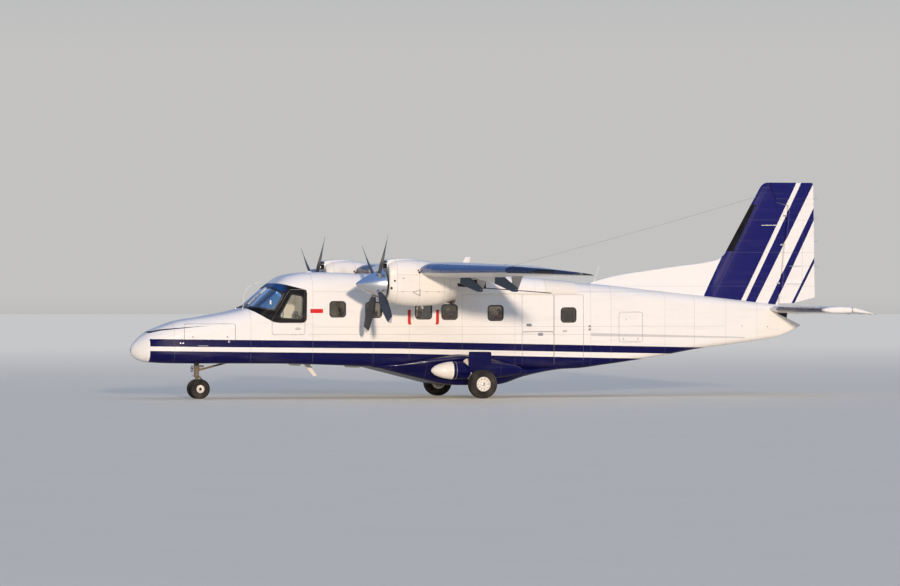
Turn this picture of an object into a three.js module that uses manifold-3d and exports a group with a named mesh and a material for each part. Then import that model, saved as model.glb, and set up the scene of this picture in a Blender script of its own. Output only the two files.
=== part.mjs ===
// Twin-engined high-wing turboprop airliner, parked on its gear. Real size, millimetres, +Z up.
// The nose points towards -X, the port side towards -Y, and the ground is Z = 0.
// Stations are counted aft from the nose tip, so x = station - HALF_LENGTH.
import * as THREE from 'three';
import { mergeVertices } from 'three/addons/utils/BufferGeometryUtils.js';
import Module from 'manifold-3d';

const wasm = await Module();
wasm.setup();
const { Manifold, CrossSection, Mesh: SolidMesh } = wasm;

// ---------------------------------------------------------------- driving dimensions
const LENGTH = 16760;            // nose tip to elevator trailing edge
const HALF_LENGTH = LENGTH / 2;
const GAP = 0.4;                 // between pieces that are fastened together
const DOOR_GAP = 7;              // around every door and movable surface
const WALL = 60;                 // whole fuselage wall, skin to lining
const FLOOR_Z = 860;             // top of the cabin floor
const WALL_TOP = 2420;           // where side walls end and the roof begins

const RADOME_END = 350;
const NOSE_END = 2600;
const COCKPIT_END = 4050;
const CABIN_END = 11250;
const REAR_END = 14200;
const TAIL_END = 16250;

const WING_LE = 5940;            // centre panel leading edge station
const WING_TE = 8100;
const WING_BREAK_Y = 3600;       // end of the constant chord
const WING_SQUARE_Y = 7450;      // start of the raked tip
const HALF_SPAN = 8485;
const WING_CUT = 7570;           // end of the fixed wing ahead of flap and aileron
const FLAP_NOSE = 7592;
const FLAP_IN_Y = 860, FLAP_OUT_Y = 4750, AIL_IN_Y = 4770, AIL_OUT_Y = 7400;
const FLAP_HINGE = [7800, 2470];     // station, z: offset hinge below the wing

const ENGINE_Y = 2430;
const PROP_Z = 2590;
const PROP_STATION = 5040;
const PROP_R = 1365;
const SPINNER_R = 330;

const TRACK_Y = 1650;
const MAIN_STATION = 7800;
const MAIN_R = 325, MAIN_W = 215;
const NOSE_STATION = 1580;
const NOSE_R = 222.5, NOSE_W = 155;
const STEER_STATION = 1535;

const FIN_TOP = 4980;
const rudderHinge = (z) => 15691 + 0.1094 * (z - 2131);   // station of the hinge line, which leans aft at its top
const NOSE_WHEEL_Y = 125;
const RUDDER_BOTTOM = 2150;
const STAB_Z = 2010;
const STAB_HALF_SPAN = 3225;
const ELEV_HINGE = 16235;
const ELEV_PIVOT = [16270, 2006];   // station, z
const ELEV_IN_Y = 392;
const ELEV_DROOP = 11;           // degrees, trailing edge down when parked

// ---------------------------------------------------------------- helpers
const rad = THREE.MathUtils.degToRad;
const X = (station) => station - HALF_LENGTH;

function solid(geometry) {
  let g = geometry.clone();
  for (const key of Object.keys(g.attributes)) if (key !== 'position') g.deleteAttribute(key);
  g = mergeVertices(g, 1e-4);
  const tri = g.index ? Uint32Array.from(g.index.array) : Uint32Array.from(g.attributes.position.array.keys());
  return new Manifold(new SolidMesh({ numProp: 3, vertProperties: Float32Array.from(g.attributes.position.array), triVerts: tri }));
}

function geometryOf(body) {
  const m = body.getMesh();
  const g = new THREE.BufferGeometry();
  g.setAttribute('position', new THREE.BufferAttribute(Float32Array.from(m.vertProperties), 3));
  g.setIndex(new THREE.BufferAttribute(Uint32Array.from(m.triVerts), 1));
  g.computeVertexNormals();
  return g;
}

// closed loft through rings of [x, y, z] with equal counts
function loft(rings) {
  const n = rings[0].length, pos = [], idx = [];
  for (const r of rings) for (const p of r) pos.push(...p);
  for (let i = 0; i + 1 < rings.length; i++) for (let j = 0; j < n; j++) {
    const a = i * n + j, b = i * n + (j + 1) % n, c = a + n, d = b + n;
    idx.push(a, b, d, a, d, c);
  }
  const cap = (ring, base, flip) => {
    const o = new THREE.Vector3(...ring[0]);
    const nrm = new THREE.Vector3();
    for (let i = 1; i + 1 < n; i++) nrm.add(new THREE.Vector3(...ring[i]).sub(o).cross(new THREE.Vector3(...ring[i + 1]).sub(o)));
    nrm.normalize();
    const u = new THREE.Vector3(...ring[1]).sub(o).normalize(), v = nrm.clone().cross(u);
    const flat = ring.map((p) => { const q = new THREE.Vector3(...p).sub(o); return new THREE.Vector2(q.dot(u), q.dot(v)); });
    for (const t of THREE.ShapeUtils.triangulateShape(flat, [])) idx.push(...(flip ? [t[0], t[2], t[1]] : t).map((k) => base + k));
  };
  cap(rings[0], 0, true);
  cap(rings[rings.length - 1], (rings.length - 1) * n, false);
  const g = new THREE.BufferGeometry();
  g.setAttribute('position', new THREE.BufferAttribute(new Float32Array(pos), 3));
  g.setIndex(idx);
  let s = solid(g);
  if (s.volume() < 0) {
    for (let i = 0; i < idx.length; i += 3) [idx[i + 1], idx[i + 2]] = [idx[i + 2], idx[i + 1]];
    g.setIndex(idx);
    s = solid(g);
  }
  return s;
}

const box = (x0, x1, y0, y1, z0, z1) => Manifold.cube([x1 - x0, y1 - y0, z1 - z0]).translate([x0, y0, z0]);
const sBox = (s0, s1, y0, y1, z0, z1) => box(X(s0), X(s1), y0, y1, z0, z1);

// side-view polygon of [station, z], extruded from y0 to y1
function sidePlate(points, y0, y1) {
  const shape = new THREE.Shape(points.map(([s, z]) => new THREE.Vector2(X(s), z)));
  const g = new THREE.ExtrudeGeometry(shape, { depth: y1 - y0, bevelEnabled: false });
  g.rotateX(Math.PI / 2).translate(0, y1, 0);
  return solid(g);
}

// round bar between two [station, y, z] points
function bar(p, q, r0, r1 = r0, segments = 12) {
  const a = new THREE.Vector3(X(p[0]), p[1], p[2]), b = new THREE.Vector3(X(q[0]), q[1], q[2]);
  const d = b.clone().sub(a);
  const g = new THREE.CylinderGeometry(r1, r0, d.length(), segments);
  g.applyQuaternion(new THREE.Quaternion().setFromUnitVectors(new THREE.Vector3(0, 1, 0), d.clone().normalize()));
  const m = a.add(b).multiplyScalar(0.5);
  return solid(g.translate(m.x, m.y, m.z));
}

// solid of revolution about an axis along Y ('y') or X ('x'); profile is [radius, along]
function turned(profile, segments, axis) {
  const g = new THREE.LatheGeometry(profile.map(([r, a]) => new THREE.Vector2(Math.max(r, 0), a)), segments);
  if (axis === 'x') g.rotateZ(-Math.PI / 2);
  let s = solid(g);
  if (s.volume() < 0) { g.index.array.reverse(); s = solid(g); }
  return s;
}

const mirror = (b) => b.mirror([0, 1, 0]);
const lerp = (a, b, t) => a + (b - a) * t;

// ---------------------------------------------------------------- fuselage sections
// station, half width, top z, bottom z, top corner radius, bottom corner radius
const FUSELAGE = [
  [0, 32, 1132, 1062, 30, 30],
  [50, 140, 1245, 965, 125, 115],
  [150, 250, 1356, 895, 215, 175],
  [350, 400, 1500, 838, 300, 230],
  [700, 525, 1645, 812, 330, 230],
  [1000, 595, 1757, 806, 345, 220],
  [1750, 690, 1915, 803, 350, 200],
  [2600, 752, 2056, 800, 345, 180],
  [2960, 762, 2340, 797, 415, 175],
  [3280, 768, 2606, 795, 440, 170],
  [3560, 770, 2772, 790, 430, 165],
  [3940, 770, 2845, 778, 400, 160],
  [4320, 770, 2862, 765, 375, 160],
  [5475, 770, 2815, 723, 350, 160],
  [9800, 762, 2646, 640, 320, 160],
  [10400, 742, 2623, 655, 315, 160],
  [11100, 705, 2583, 735, 305, 160],
  [11900, 645, 2502, 838, 290, 160],
  [12700, 572, 2421, 960, 270, 160],
  [13500, 488, 2340, 1092, 240, 155],
  [14400, 378, 2248, 1200, 200, 140],
  [15200, 275, 2160, 1300, 170, 120],
  [15700, 205, 2112, 1388, 140, 100],
  [16000, 158, 2095, 1505, 115, 95],
  [16250, 105, 2040, 1650, 80, 80],
];
const CORNER_TOP = 7, CORNER_BOTTOM = 4;

function sectionAt(station) {
  let i = 0;
  while (i < FUSELAGE.length - 2 && FUSELAGE[i + 1][0] <= station) i++;
  const [a, b] = [FUSELAGE[i], FUSELAGE[i + 1]];
  const t = (station - a[0]) / (b[0] - a[0]);
  return a.map((v, k) => lerp(v, b[k], t));
}

function fuselageRing([s, w, top, bottom, rt, rb], inset) {
  const W = w - inset, T = top - inset, B = bottom + inset;
  const rT = Math.max(Math.min(rt - inset, W * 0.98), 4), rB = Math.max(Math.min(rb - inset, W * 0.98), 4);
  const ring = [];
  const arc = (cy, cz, r, a0, a1, n) => {
    for (let i = 0; i <= n; i++) { const a = lerp(a0, a1, i / n); ring.push([X(s), cy + r * Math.cos(a), cz + r * Math.sin(a)]); }
  };
  arc(W - rT, T - rT, rT, 0, Math.PI / 2, CORNER_TOP);
  arc(-(W - rT), T - rT, rT, Math.PI / 2, Math.PI, CORNER_TOP);
  arc(-(W - rB), B + rB, rB, Math.PI, 1.5 * Math.PI, CORNER_BOTTOM);
  arc(W - rB, B + rB, rB, 1.5 * Math.PI, 2 * Math.PI, CORNER_BOTTOM);
  return ring;
}

function fuselage(inset, s0 = 0, s1 = TAIL_END) {
  const rows = [sectionAt(s0), ...FUSELAGE.filter((r) => r[0] > s0 + 1 && r[0] < s1 - 1), sectionAt(s1)];
  return loft(rows.map((r) => fuselageRing(r, inset)));
}

const outer = fuselage(0);
const outerPlus = fuselage(-GAP);
const hull = (s0, s1) => fuselage(0, s0, s1);
const BIG = 4000;

// cabin and cockpit space, above the floor
const cavity = fuselage(WALL, NOSE_END - 1, CABIN_END + 1).intersect(sBox(NOSE_END - 5, CABIN_END + 5, -BIG, BIG, FLOOR_Z, 3200));

// ---------------------------------------------------------------- wing sections
const thicknessAt = (x) => 5 * (0.2969 * Math.sqrt(x) - 0.126 * x - 0.3516 * x * x + 0.2843 * x ** 3 - 0.1036 * x ** 4);

// span position, leading edge station, leading edge z, trailing edge station, trailing edge z, thickness ratio, camber ratio
const WING = [
  [-WING_BREAK_Y, WING_LE, 2900, WING_TE, 2790, 0.155, 0.02],
  [WING_BREAK_Y, WING_LE, 2900, WING_TE, 2790, 0.155, 0.02],
  [WING_SQUARE_Y, 6350, 2880, 7950, 2775, 0.13, 0.02],
  [7950, 7010, 2852, 7972, 2772, 0.12, 0.015],
  [8300, 7560, 2818, 7990, 2770, 0.12, 0.01],
  [HALF_SPAN, 7900, 2792, 8005, 2769, 0.16, 0],
];

function wingAt(y) {
  let i = 0;
  while (i < WING.length - 2 && WING[i + 1][0] <= y) i++;
  const [a, b] = [WING[i], WING[i + 1]];
  const t = (y - a[0]) / (b[0] - a[0]);
  return a.map((v, k) => lerp(v, b[k], t));
}

// ring in the plane of one span position, between two stations of the section; grow swells it for clearance,
// and round gives the cut front a half-round nose
function foilRing([y, le, zle, te, zte, t, m], { from = le, to = te, round = false, grow = 0, n = 9, vertical = false }) {
  const c = te - le;
  const at = (f) => {
    const mid = lerp(zle, zte, f) + c * m * 4 * f * (1 - f);
    return [le + f * c, mid, c * t * thicknessAt(f) + 4 + grow];
  };
  const h0 = at(Math.max((from - le) / c, 0))[2];
  const f0 = Math.max((from + (round ? h0 : 0) - le) / c, 0), f1 = Math.min((to - le) / c, 1);
  const rows = [];
  for (let i = 0; i <= n; i++) rows.push(at(f0 === 0 ? f1 * (1 - Math.cos((i / n) * Math.PI / 2)) : lerp(f0, f1, i / n)));
  rows[n][0] += grow;
  const up = rows.map(([s, mid, h]) => [s, mid + h]).reverse(), low = rows.map(([s, mid, h]) => [s, mid - h]);
  let loop = [...up, ...low];
  if (round) {
    const [s, mid, h] = rows[0], nose = [];
    for (let i = 1; i < 6; i++) { const a = Math.PI / 2 + (Math.PI * i) / 6; nose.push([s + h * Math.cos(a), mid + h * Math.sin(a)]); }
    loop = [...up, ...nose, ...low];
  } else if (f0 === 0) loop = [...up.slice(0, -1), [le - 4 - grow, zle], ...low.slice(1)];
  return loop.map(([s, z]) => (vertical ? [X(s), z, y] : [X(s), y, z]));
}

const foilLoft = (rows, opt = {}) => loft(rows.map((r) => foilRing(r, typeof opt === 'function' ? opt(r) : opt)));
const flip = (row) => [-row[0], ...row.slice(1)];

const wingCentreFull = foilLoft([WING[0], WING[1]], {});
const wingBand = (y0, y1, opt) => foilLoft([wingAt(y0), ...WING.filter((r) => r[0] > y0 + 1 && r[0] < y1 - 1), wingAt(y1)], opt);

// the fixed wing keeps its full chord over the body, and stops ahead of the flap
const wingGrown = foilLoft([WING[0], WING[1]], { grow: GAP });
const wingCutBox = (y0, y1) => sBox(WING_CUT, 8600, y0, y1, 2300, 3300);
let wingCentre = wingCentreFull
  .subtract(wingCutBox(FLAP_IN_Y - DOOR_GAP, BIG * 2))
  .subtract(wingCutBox(-BIG * 2, -FLAP_IN_Y + DOOR_GAP));
const wingOuter = wingBand(WING_BREAK_Y + GAP, HALF_SPAN, {}).subtract(wingCutBox(WING_BREAK_Y - 50, AIL_OUT_Y + DOOR_GAP));

const flap = wingBand(FLAP_IN_Y, FLAP_OUT_Y, { from: FLAP_NOSE, round: true, n: 6 });
const aileron = wingBand(AIL_IN_Y, AIL_OUT_Y, { from: FLAP_NOSE, round: true, n: 6 });

// flap hinge arms: a plate under the flap carried by a bracket under the fixed wing
// span positions of the hinge arms
const FLAP_ARM_Y = [1500, 3950];
const arm = (y) => sidePlate([[7700, 2800], [7985, 2790], [7860, 2470], [7830, 2430], [7770, 2430], [7740, 2470]], y - 9, y + 9);
const bracket = (y) => sidePlate([[7050, 2790], [7540, 2830], [7540, 2740], [7845, 2500], [7845, 2415], [7740, 2415], [7200, 2650]], y + 20, y + 38)
  .add(sidePlate([[7050, 2790], [7540, 2830], [7540, 2740], [7845, 2500], [7845, 2415], [7740, 2415], [7200, 2650]], y - 38, y - 20))
  .add(bar([FLAP_HINGE[0], y - 38, FLAP_HINGE[1]], [FLAP_HINGE[0], y + 38, FLAP_HINGE[1]], 12));
let flapSolid = flap, wingCentreArms = wingCentre, wingOuterArms = wingOuter;
for (const y of FLAP_ARM_Y) flapSolid = flapSolid.add(arm(y));
for (const y of FLAP_ARM_Y) flapSolid = flapSolid.subtract(bar([FLAP_HINGE[0], y - 30, FLAP_HINGE[1]], [FLAP_HINGE[0], y + 30, FLAP_HINGE[1]], 13.5));
for (const side of [1, -1]) wingCentreArms = wingCentreArms.add(side > 0 ? bracket(FLAP_ARM_Y[0]) : mirror(bracket(FLAP_ARM_Y[0])));
wingOuterArms = wingOuterArms.add(bracket(FLAP_ARM_Y[1]));

// ---------------------------------------------------------------- doors and windows
// station from, station to, z from, z to, inner limit in y
const DOORS = {
  pax_lower: [9050, 9830, 716, 1500, -600],
  pax_upper: [9050, 9830, 1500, 2352, -500],
  cargo: [9830, 10560, 716, 2352, -600],
  rear: [11445, 12050, 1256, 1952, -450],
};
const doorHole = ([a, b, c, d, y]) => sBox(a, b, -BIG, y, c, d);
const doorLeaf = ([a, b, c, d, y], depth = WALL, g = DOOR_GAP) =>
  fuselage(0, a - 300, b + 300).subtract(fuselage(depth, a - 301, b + 301)).intersect(sBox(a + g, b - g, -BIG, y - g, c + g, d - g));

// crew door outline, side windows and wrap-round windscreen as side-view polygons of station, z
const CREW_DOOR = [[3090, 1446], [3090, 1790], [3215, 1990], [3450, 2380], [3530, 2470], [3868, 2470], [3868, 1446]];
const SIDE_PANE = [[3250, 1864], [3556, 2354], [3812, 2312], [3792, 1800]];
const SCREEN = [[2450, 2080], [2620, 2074], [3165, 1985], [3395, 2368], [3110, 2572], [3000, 2660], [2450, 2660]];
const shrink = (poly, d) => new CrossSection([poly], 'EvenOdd').offset(-d, 'Miter', 4).toPolygons()[0].map(([s, z]) => [s, z]);
const crewHole = sidePlate(CREW_DOOR, -BIG, -300);
const crewLeaf = fuselage(0, 2700, 4200).subtract(fuselage(WALL, 2699, 4201)).intersect(sidePlate(shrink(CREW_DOOR, DOOR_GAP), -BIG, -310));
const glassSkin = fuselage(5, 2400, COCKPIT_END).subtract(fuselage(20, 2399, COCKPIT_END + 1));

// ---------------------------------------------------------------- fuselage pieces
const above = (z) => sBox(-100, 17000, -BIG, BIG, z, 6000);
const below = (z) => sBox(-100, 17000, -BIG, BIG, -100, z);
const portSide = sBox(-100, 17000, -BIG, -0.01, -100, 6000);
const starboardSide = sBox(-100, 17000, 0.01, BIG, -100, 6000);

// nose: gear well from below, baggage bay behind a port door
// mid station, half length, z from, z to; its ends are square to a hinge line that toes in with the nose
const NOSE_DOOR = [1670, 580, 1290, 1700];
const NOSE_DOOR_TOE = 11.95;
const noseDoorBox = (g) => box(-NOSE_DOOR[1] + g, NOSE_DOOR[1] - g, -600, 330 - g, NOSE_DOOR[2] + g, NOSE_DOOR[3] - g)
  .rotate([0, 0, -NOSE_DOOR_TOE]).translate([X(NOSE_DOOR[0]), -654, 0]);
const WELL = [1350, 2520, -115, 115, 0, 1060];
let nose = hull(RADOME_END + GAP, NOSE_END - GAP)
  .subtract(sBox(...WELL))
  .subtract(fuselage(45, 1120, 2220).intersect(sBox(1130, 2210, -BIG, 120, 1180, 3000)))
  .subtract(noseDoorBox(0));
const noseDoor = fuselage(0, 900, 2500).subtract(fuselage(40, 899, 2501))
  .intersect(noseDoorBox(DOOR_GAP));

const shell = hull(NOSE_END + GAP, CABIN_END - GAP).subtract(cavity);
const floor = hull(NOSE_END + GAP, CABIN_END - GAP).intersect(below(FLOOR_Z))
  .subtract(doorHole(DOORS.pax_lower)).subtract(doorHole(DOORS.cargo));
const upperShell = shell.intersect(above(FLOOR_Z + GAP));
const cockpit = upperShell.intersect(sBox(NOSE_END, COCKPIT_END, -BIG, BIG, 0, 6000))
  .subtract(crewHole).subtract(sidePlate(SCREEN, -BIG, BIG)).subtract(sidePlate(SIDE_PANE, 250, BIG));
const cabinShell = upperShell.intersect(sBox(COCKPIT_END + GAP, CABIN_END, -BIG, BIG, 0, 6000));
const walls = cabinShell.intersect(below(WALL_TOP))
  .subtract(doorHole(DOORS.pax_lower)).subtract(doorHole(DOORS.pax_upper)).subtract(doorHole(DOORS.cargo));
const roof = cabinShell.intersect(above(WALL_TOP + GAP)).subtract(wingGrown);

const TAIL_WALL = 45;
const rear = hull(CABIN_END, REAR_END)
  .subtract(fuselage(TAIL_WALL, 12260, REAR_END + 1))
  .subtract(fuselage(WALL, 11320, 12190).intersect(sBox(11320, 12190, -BIG, BIG, 1130, 3000)))
  .subtract(doorHole(DOORS.rear));

// integral steps on the inner face of the lower cabin door
// z of the step's back edge when the door is shut
const STEP_Z = [960, 1160, 1360];
let lowerDoor = doorLeaf(DOORS.pax_lower);
for (const z of STEP_Z) lowerDoor = lowerDoor.add(sBox(9150, 9730, -720, -560, z, z + 28));

// ---------------------------------------------------------------- belly fairing with main gear pods
// station, bottom z, half width of the flat bottom, crease z, crease half width, top z
const BELLY = [
  [5350, 755, 450, 800, 560, 850],
  [5620, 692, 560, 752, 680, 810],
  [5850, 635, 620, 760, 775, 840],
  [6300, 525, 680, 808, 880, 880],
  [6700, 427, 740, 862, 975, 930],
  [7212, 313, 820, 925, 1080, 980],
  [7500, 287, 850, 950, 1130, 1010],
  [7900, 287, 860, 900, 1150, 990],
  [8450, 298, 820, 795, 1100, 920],
  [9150, 430, 660, 600, 840, 690],
  [9700, 540, 580, 640, 740, 680],
  [10300, 610, 520, 650, 690, 690],
];
const POD_Y = 1165, POD_Z = 632, POD_R = 205;
const bellyCore = loft(BELLY.map(([s, zb, b, zc, wc, zt]) => [
  [X(s), b, zb], [X(s), wc, zc - 60], [X(s), wc, zc], [X(s), 640, zt], [X(s), -640, zt], [X(s), -wc, zc], [X(s), -wc, zc - 60], [X(s), -b, zb],
]));
// radius, distance aft of the pod's front face
const pod = turned([[0, 0], [POD_R, 0], [POD_R, 500], [190, 900], [140, 1300], [60, 1600], [0, 1650]], 18, 'x').translate([X(7282), -POD_Y, POD_Z]);
const cone = (grow) => turned([[0, -602 - grow], [40 + grow, -590 - grow], [110 + grow, -510 - grow], [160 + grow, -380], [190 + grow, -220], [POD_R + grow, -40], [POD_R + grow, -GAP + grow], [0, -GAP + grow]], 18, 'x')
  .translate([X(7282), -POD_Y, POD_Z]);
const podCone = cone(0);
const LEG = (t) => [7520 + 192 * t, -1238 - 124 * t, 870 - 285 * t];   // along the oleo, 0 at its top
const socket = bar(LEG(-0.002), LEG(1.4), 66);
let belly = bellyCore.subtract(cone(2)).subtract(mirror(cone(2))).add(pod).add(mirror(pod)).subtract(outerPlus);
belly = belly.subtract(socket).subtract(mirror(socket));

// ---------------------------------------------------------------- main gear
const mainLeg = bar(LEG(0), LEG(1), 62, 58)
  .add(bar([7712, -1362, 585], [7775, -1445, 380], 44))
  .add(bar([7775, -1440, 400], [MAIN_STATION, -1455, MAIN_R], 50))
  .add(bar([MAIN_STATION, -1400, MAIN_R], [MAIN_STATION, -1722, MAIN_R], 34))
  .add(bar([MAIN_STATION, -1440, MAIN_R], [MAIN_STATION, -1512, MAIN_R], 115, 115, 24))
  .add(bar([7640, -1380, 600], [7545, -1420, 455], 16))
  .add(bar([7545, -1420, 455], [7770, -1440, 360], 16))
  .add(sBox(7600, 8040, -1420, -1395, 640, 665)).add(sBox(7640, 7700, -1420, -1340, 630, 675));
const strutDoor = sidePlate([[7548, 1050], [8086, 1045], [8086, 640], [8000, 560], [7640, 560], [7548, 640]], -1434, -1420.4);

// radius, offset across the wheel
const MAIN_TYRE = [[166, -80], [200, -98], [262, -107], [305, -92], [MAIN_R, -55], [MAIN_R, 55], [305, 92], [262, 107], [200, 98], [166, 80]];
const MAIN_RIM = [[35.5, -60], [80, -60], [120, -84], [165, -84], [165, 84], [150, 84], [135, 40], [90, 30], [70, 62], [35.5, 62]];
const NOSE_TYRE = [[92, -55], [120, -70], [165, -77], [205, -66], [NOSE_R, -40], [NOSE_R, 40], [205, 66], [165, 77], [120, 70], [92, 55]];
const NOSE_RIM = [[0, -45], [50, -45], [60, -58], [91, -58], [91, 58], [78, 58], [70, 26], [48, 22], [40, 48], [0, 48]];
const closed = (p) => [...p, p[0]];
const wheel = (profile, segments) => turned(closed(profile), segments, 'y');

// ---------------------------------------------------------------- nose gear
const noseLeg = bar([STEER_STATION, 0, 560], [STEER_STATION, 0, 1059.5], 55, 60)
  .add(bar([STEER_STATION + 20, 0, 640], [2380, 0, 850], 24))
  .add(bar([2380, -90, 850], [2380, 90, 850], 30))
  .add(sBox(2350, 2410, -20, 20, 850, 1059.5))
  .subtract(bar([STEER_STATION, 0, 500], [STEER_STATION, 0, 700], 39, 39, 20));
const noseFork = bar([STEER_STATION, 0, 520], [STEER_STATION, 0, 690], 37.5, 37.5, 20)
  .add(bar([STEER_STATION, 0, 495], [STEER_STATION, 0, 555], 62, 62, 20))
  .add(bar([STEER_STATION, 0, 520], [1574, 0, 262], 40, 35))
  .add(bar([NOSE_STATION, -40, NOSE_R], [NOSE_STATION, 40, NOSE_R], 48, 48, 20))
  .subtract(bar([NOSE_STATION, -60, NOSE_R], [NOSE_STATION, 60, NOSE_R], 20.5, 20.5, 20));
// twin nose wheels on one live axle
const noseHub = (sign) => (sign > 0 ? wheel(NOSE_RIM, 24) : wheel(NOSE_RIM, 24).mirror([0, 1, 0])).translate([0, sign * NOSE_WHEEL_Y, 0]);
const noseRims = noseHub(-1).add(noseHub(1)).add(bar([HALF_LENGTH, -100, 0], [HALF_LENGTH, 100, 0], 19, 19, 20));

// ---------------------------------------------------------------- engine nacelles
// station, half width, top z, bottom z, top radius, bottom radius
const NACELLE = [
  [5245, 320, 3070, 2235, 240, 300],
  [5420, 355, 3128, 2160, 260, 320],
  [5700, 372, 3145, 2112, 270, 330],
  [5950, 375, 3130, 2098, 280, 330],
  [6300, 372, 3085, 2115, 290, 320],
  [6600, 350, 2985, 2165, 290, 300],
  [6845, 300, 2860, 2240, 250, 250],
];
function nacelleRing([s, w, top, bottom, rt, rb], inset) {
  const W = w - inset, T = top - inset, B = bottom + inset, rT = rt - inset, rB = Math.min(rb - inset, W - 2), ring = [];
  const arc = (cy, cz, r, a0) => { for (let i = 0; i <= 4; i++) { const a = a0 + (Math.PI / 2) * (i / 4); ring.push([X(s), cy + r * Math.cos(a), cz + r * Math.sin(a)]); } };
  arc(W - rT, T - rT, rT, 0);
  arc(-(W - rT), T - rT, rT, Math.PI / 2);
  arc(-(W - rB), B + rB, rB, Math.PI);
  arc(W - rB, B + rB, rB, 1.5 * Math.PI);
  return ring;
}
const nacelleRow = (station) => {
  let i = 0;
  while (i < NACELLE.length - 2 && NACELLE[i + 1][0] <= station) i++;
  const t = (station - NACELLE[i][0]) / (NACELLE[i + 1][0] - NACELLE[i][0]);
  return NACELLE[i].map((v, k) => lerp(v, NACELLE[i + 1][k], t));
};
const nacelleOuter = loft(NACELLE.map((r) => nacelleRing(r, 0)));
const nacelleInner = (inset) => loft([nacelleRow(5280), ...NACELLE.slice(1, -1), nacelleRow(6815)].map((r) => nacelleRing(r, inset)))
  .intersect(sBox(5200, 6900, -BIG, BIG, 2000, 3180));
const bearing = bar([5200, 0, PROP_Z], [5400, 0, PROP_Z], 270, 270, 20);
const intake = sBox(5200, 5420, -200, 200, 2945, 3020);
const exhaustHole = bar([6640, 0, 2290], [6900, 0, 2245], 118, 118, 16);
const nacelleWall = 14;
const nacelle = nacelleOuter.subtract(nacelleInner(nacelleWall))
  .subtract(wingGrown).subtract(bearing).subtract(intake).subtract(exhaustHole);
const engine = box(X(5330), X(6420), -245, 245, 2310, 2830)
  .add(box(X(5450), X(5520), -400, 400, 2480, 2560)).add(box(X(6250), X(6320), -400, 400, 2480, 2560))
  .intersect(nacelleInner(nacelleWall + GAP))
  .subtract(foilLoft([WING[0], WING[1]], { grow: 6 }))
  .add(bar([5095, 0, PROP_Z], [5335, 0, PROP_Z], 60, 60, 20));
const exhaust = turned([[96, 0], [108, 0], [108, 210], [96, 210], [96, 0]], 16, 'x')
  .rotate([0, 9.8, 0]).translate([X(6660), 0, 2286]);

// ---------------------------------------------------------------- propellers
// radius, distance aft of the spinner tip
const SPINNER_OUT = [[0, 0], [32, 22], [80, 88], [142, 190], [210, 320], [270, 460], [SPINNER_R, 640]];
const SPINNER_IN = [[SPINNER_R - 10, 640], [259, 462], [198, 324], [130, 198], [68, 98], [0, 34]];
const HUB_R = 175;
// radius, chord, thickness, blade angle in degrees
const BLADE = [
  [150, 92, 92, 60],
  [330, 96, 84, 56],
  [480, 165, 40, 47],
  [760, 225, 24, 36],
  [1080, 215, 16, 27],
  [1290, 170, 11, 23],
  [PROP_R, 96, 8, 21],
];
function bladeRing([r, chord, thick, angle]) {
  const ring = [];
  for (let i = 0; i < 10; i++) {
    const a = (Math.PI * 2 * i) / 10;
    const u = (Math.cos(a) * chord) / 2, v = (Math.sin(a) * thick) / 2;
    const t = rad(angle);
    ring.push([u * Math.sin(t) + v * Math.cos(t), u * Math.cos(t) - v * Math.sin(t), r]);
  }
  return ring;
}
const blade = loft(BLADE.map(bladeRing));
const BLADE_ANGLES = [38, 128, 218, 308];
let blades = bar([PROP_STATION - 80 + HALF_LENGTH - PROP_STATION, 0, 0], [PROP_STATION + 45 + HALF_LENGTH - PROP_STATION, 0, 0], HUB_R, HUB_R, 20);
let holes = null;
for (const a of BLADE_ANGLES) {
  blades = blades.add(blade.rotate([a, 0, 0]));
  const cut = Manifold.cylinder(400, 58, 58, 12).translate([0, 0, 170]).rotate([a, 0, 0]);
  holes = holes ? holes.add(cut) : cut;
}
const TIP_TO_PLANE = 490;
const spinner = turned([...SPINNER_OUT, ...SPINNER_IN], 20, 'x').translate([-TIP_TO_PLANE, 0, 0]).subtract(holes)
  .add(turned([[HUB_R + 0.5, 80], [HUB_R + 0.5, 92], [SPINNER_R - 9, 92], [SPINNER_R - 9, 80], [HUB_R + 0.5, 80]], 20, 'x').translate([50, 0, 0]));
const bladesFinal = blades.subtract(bar([HALF_LENGTH + 20, 0, 0], [HALF_LENGTH + 100, 0, 0], 61.5, 61.5, 20));

// ---------------------------------------------------------------- wing root fairing
// station, half width, top z, corner radius
const ROOT = [
  [5560, 786, 2832, 330],
  [6300, 815, 2860, 250],
  [7200, 825, 2860, 220],
  [8200, 822, 2818, 220],
  [9300, 800, 2740, 260],
  [10380, 758, 2652, 250],
];
const ROOT_Z = 2362;
const rootRing = ([s, w, top, r]) => {
  const ring = [];
  const arc = (cy, cz, a0) => { for (let i = 0; i <= 5; i++) { const a = a0 + (Math.PI / 2) * (i / 5); ring.push([X(s), cy + r * Math.cos(a), cz + r * Math.sin(a)]); } };
  arc(w - r, top - r, 0);
  arc(-(w - r), top - r, Math.PI / 2);
  ring.push([X(s), -w, ROOT_Z], [X(s), w, ROOT_Z]);
  return ring;
};
const rootFairing = loft(ROOT.map(rootRing)).subtract(outerPlus).subtract(wingGrown);

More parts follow.
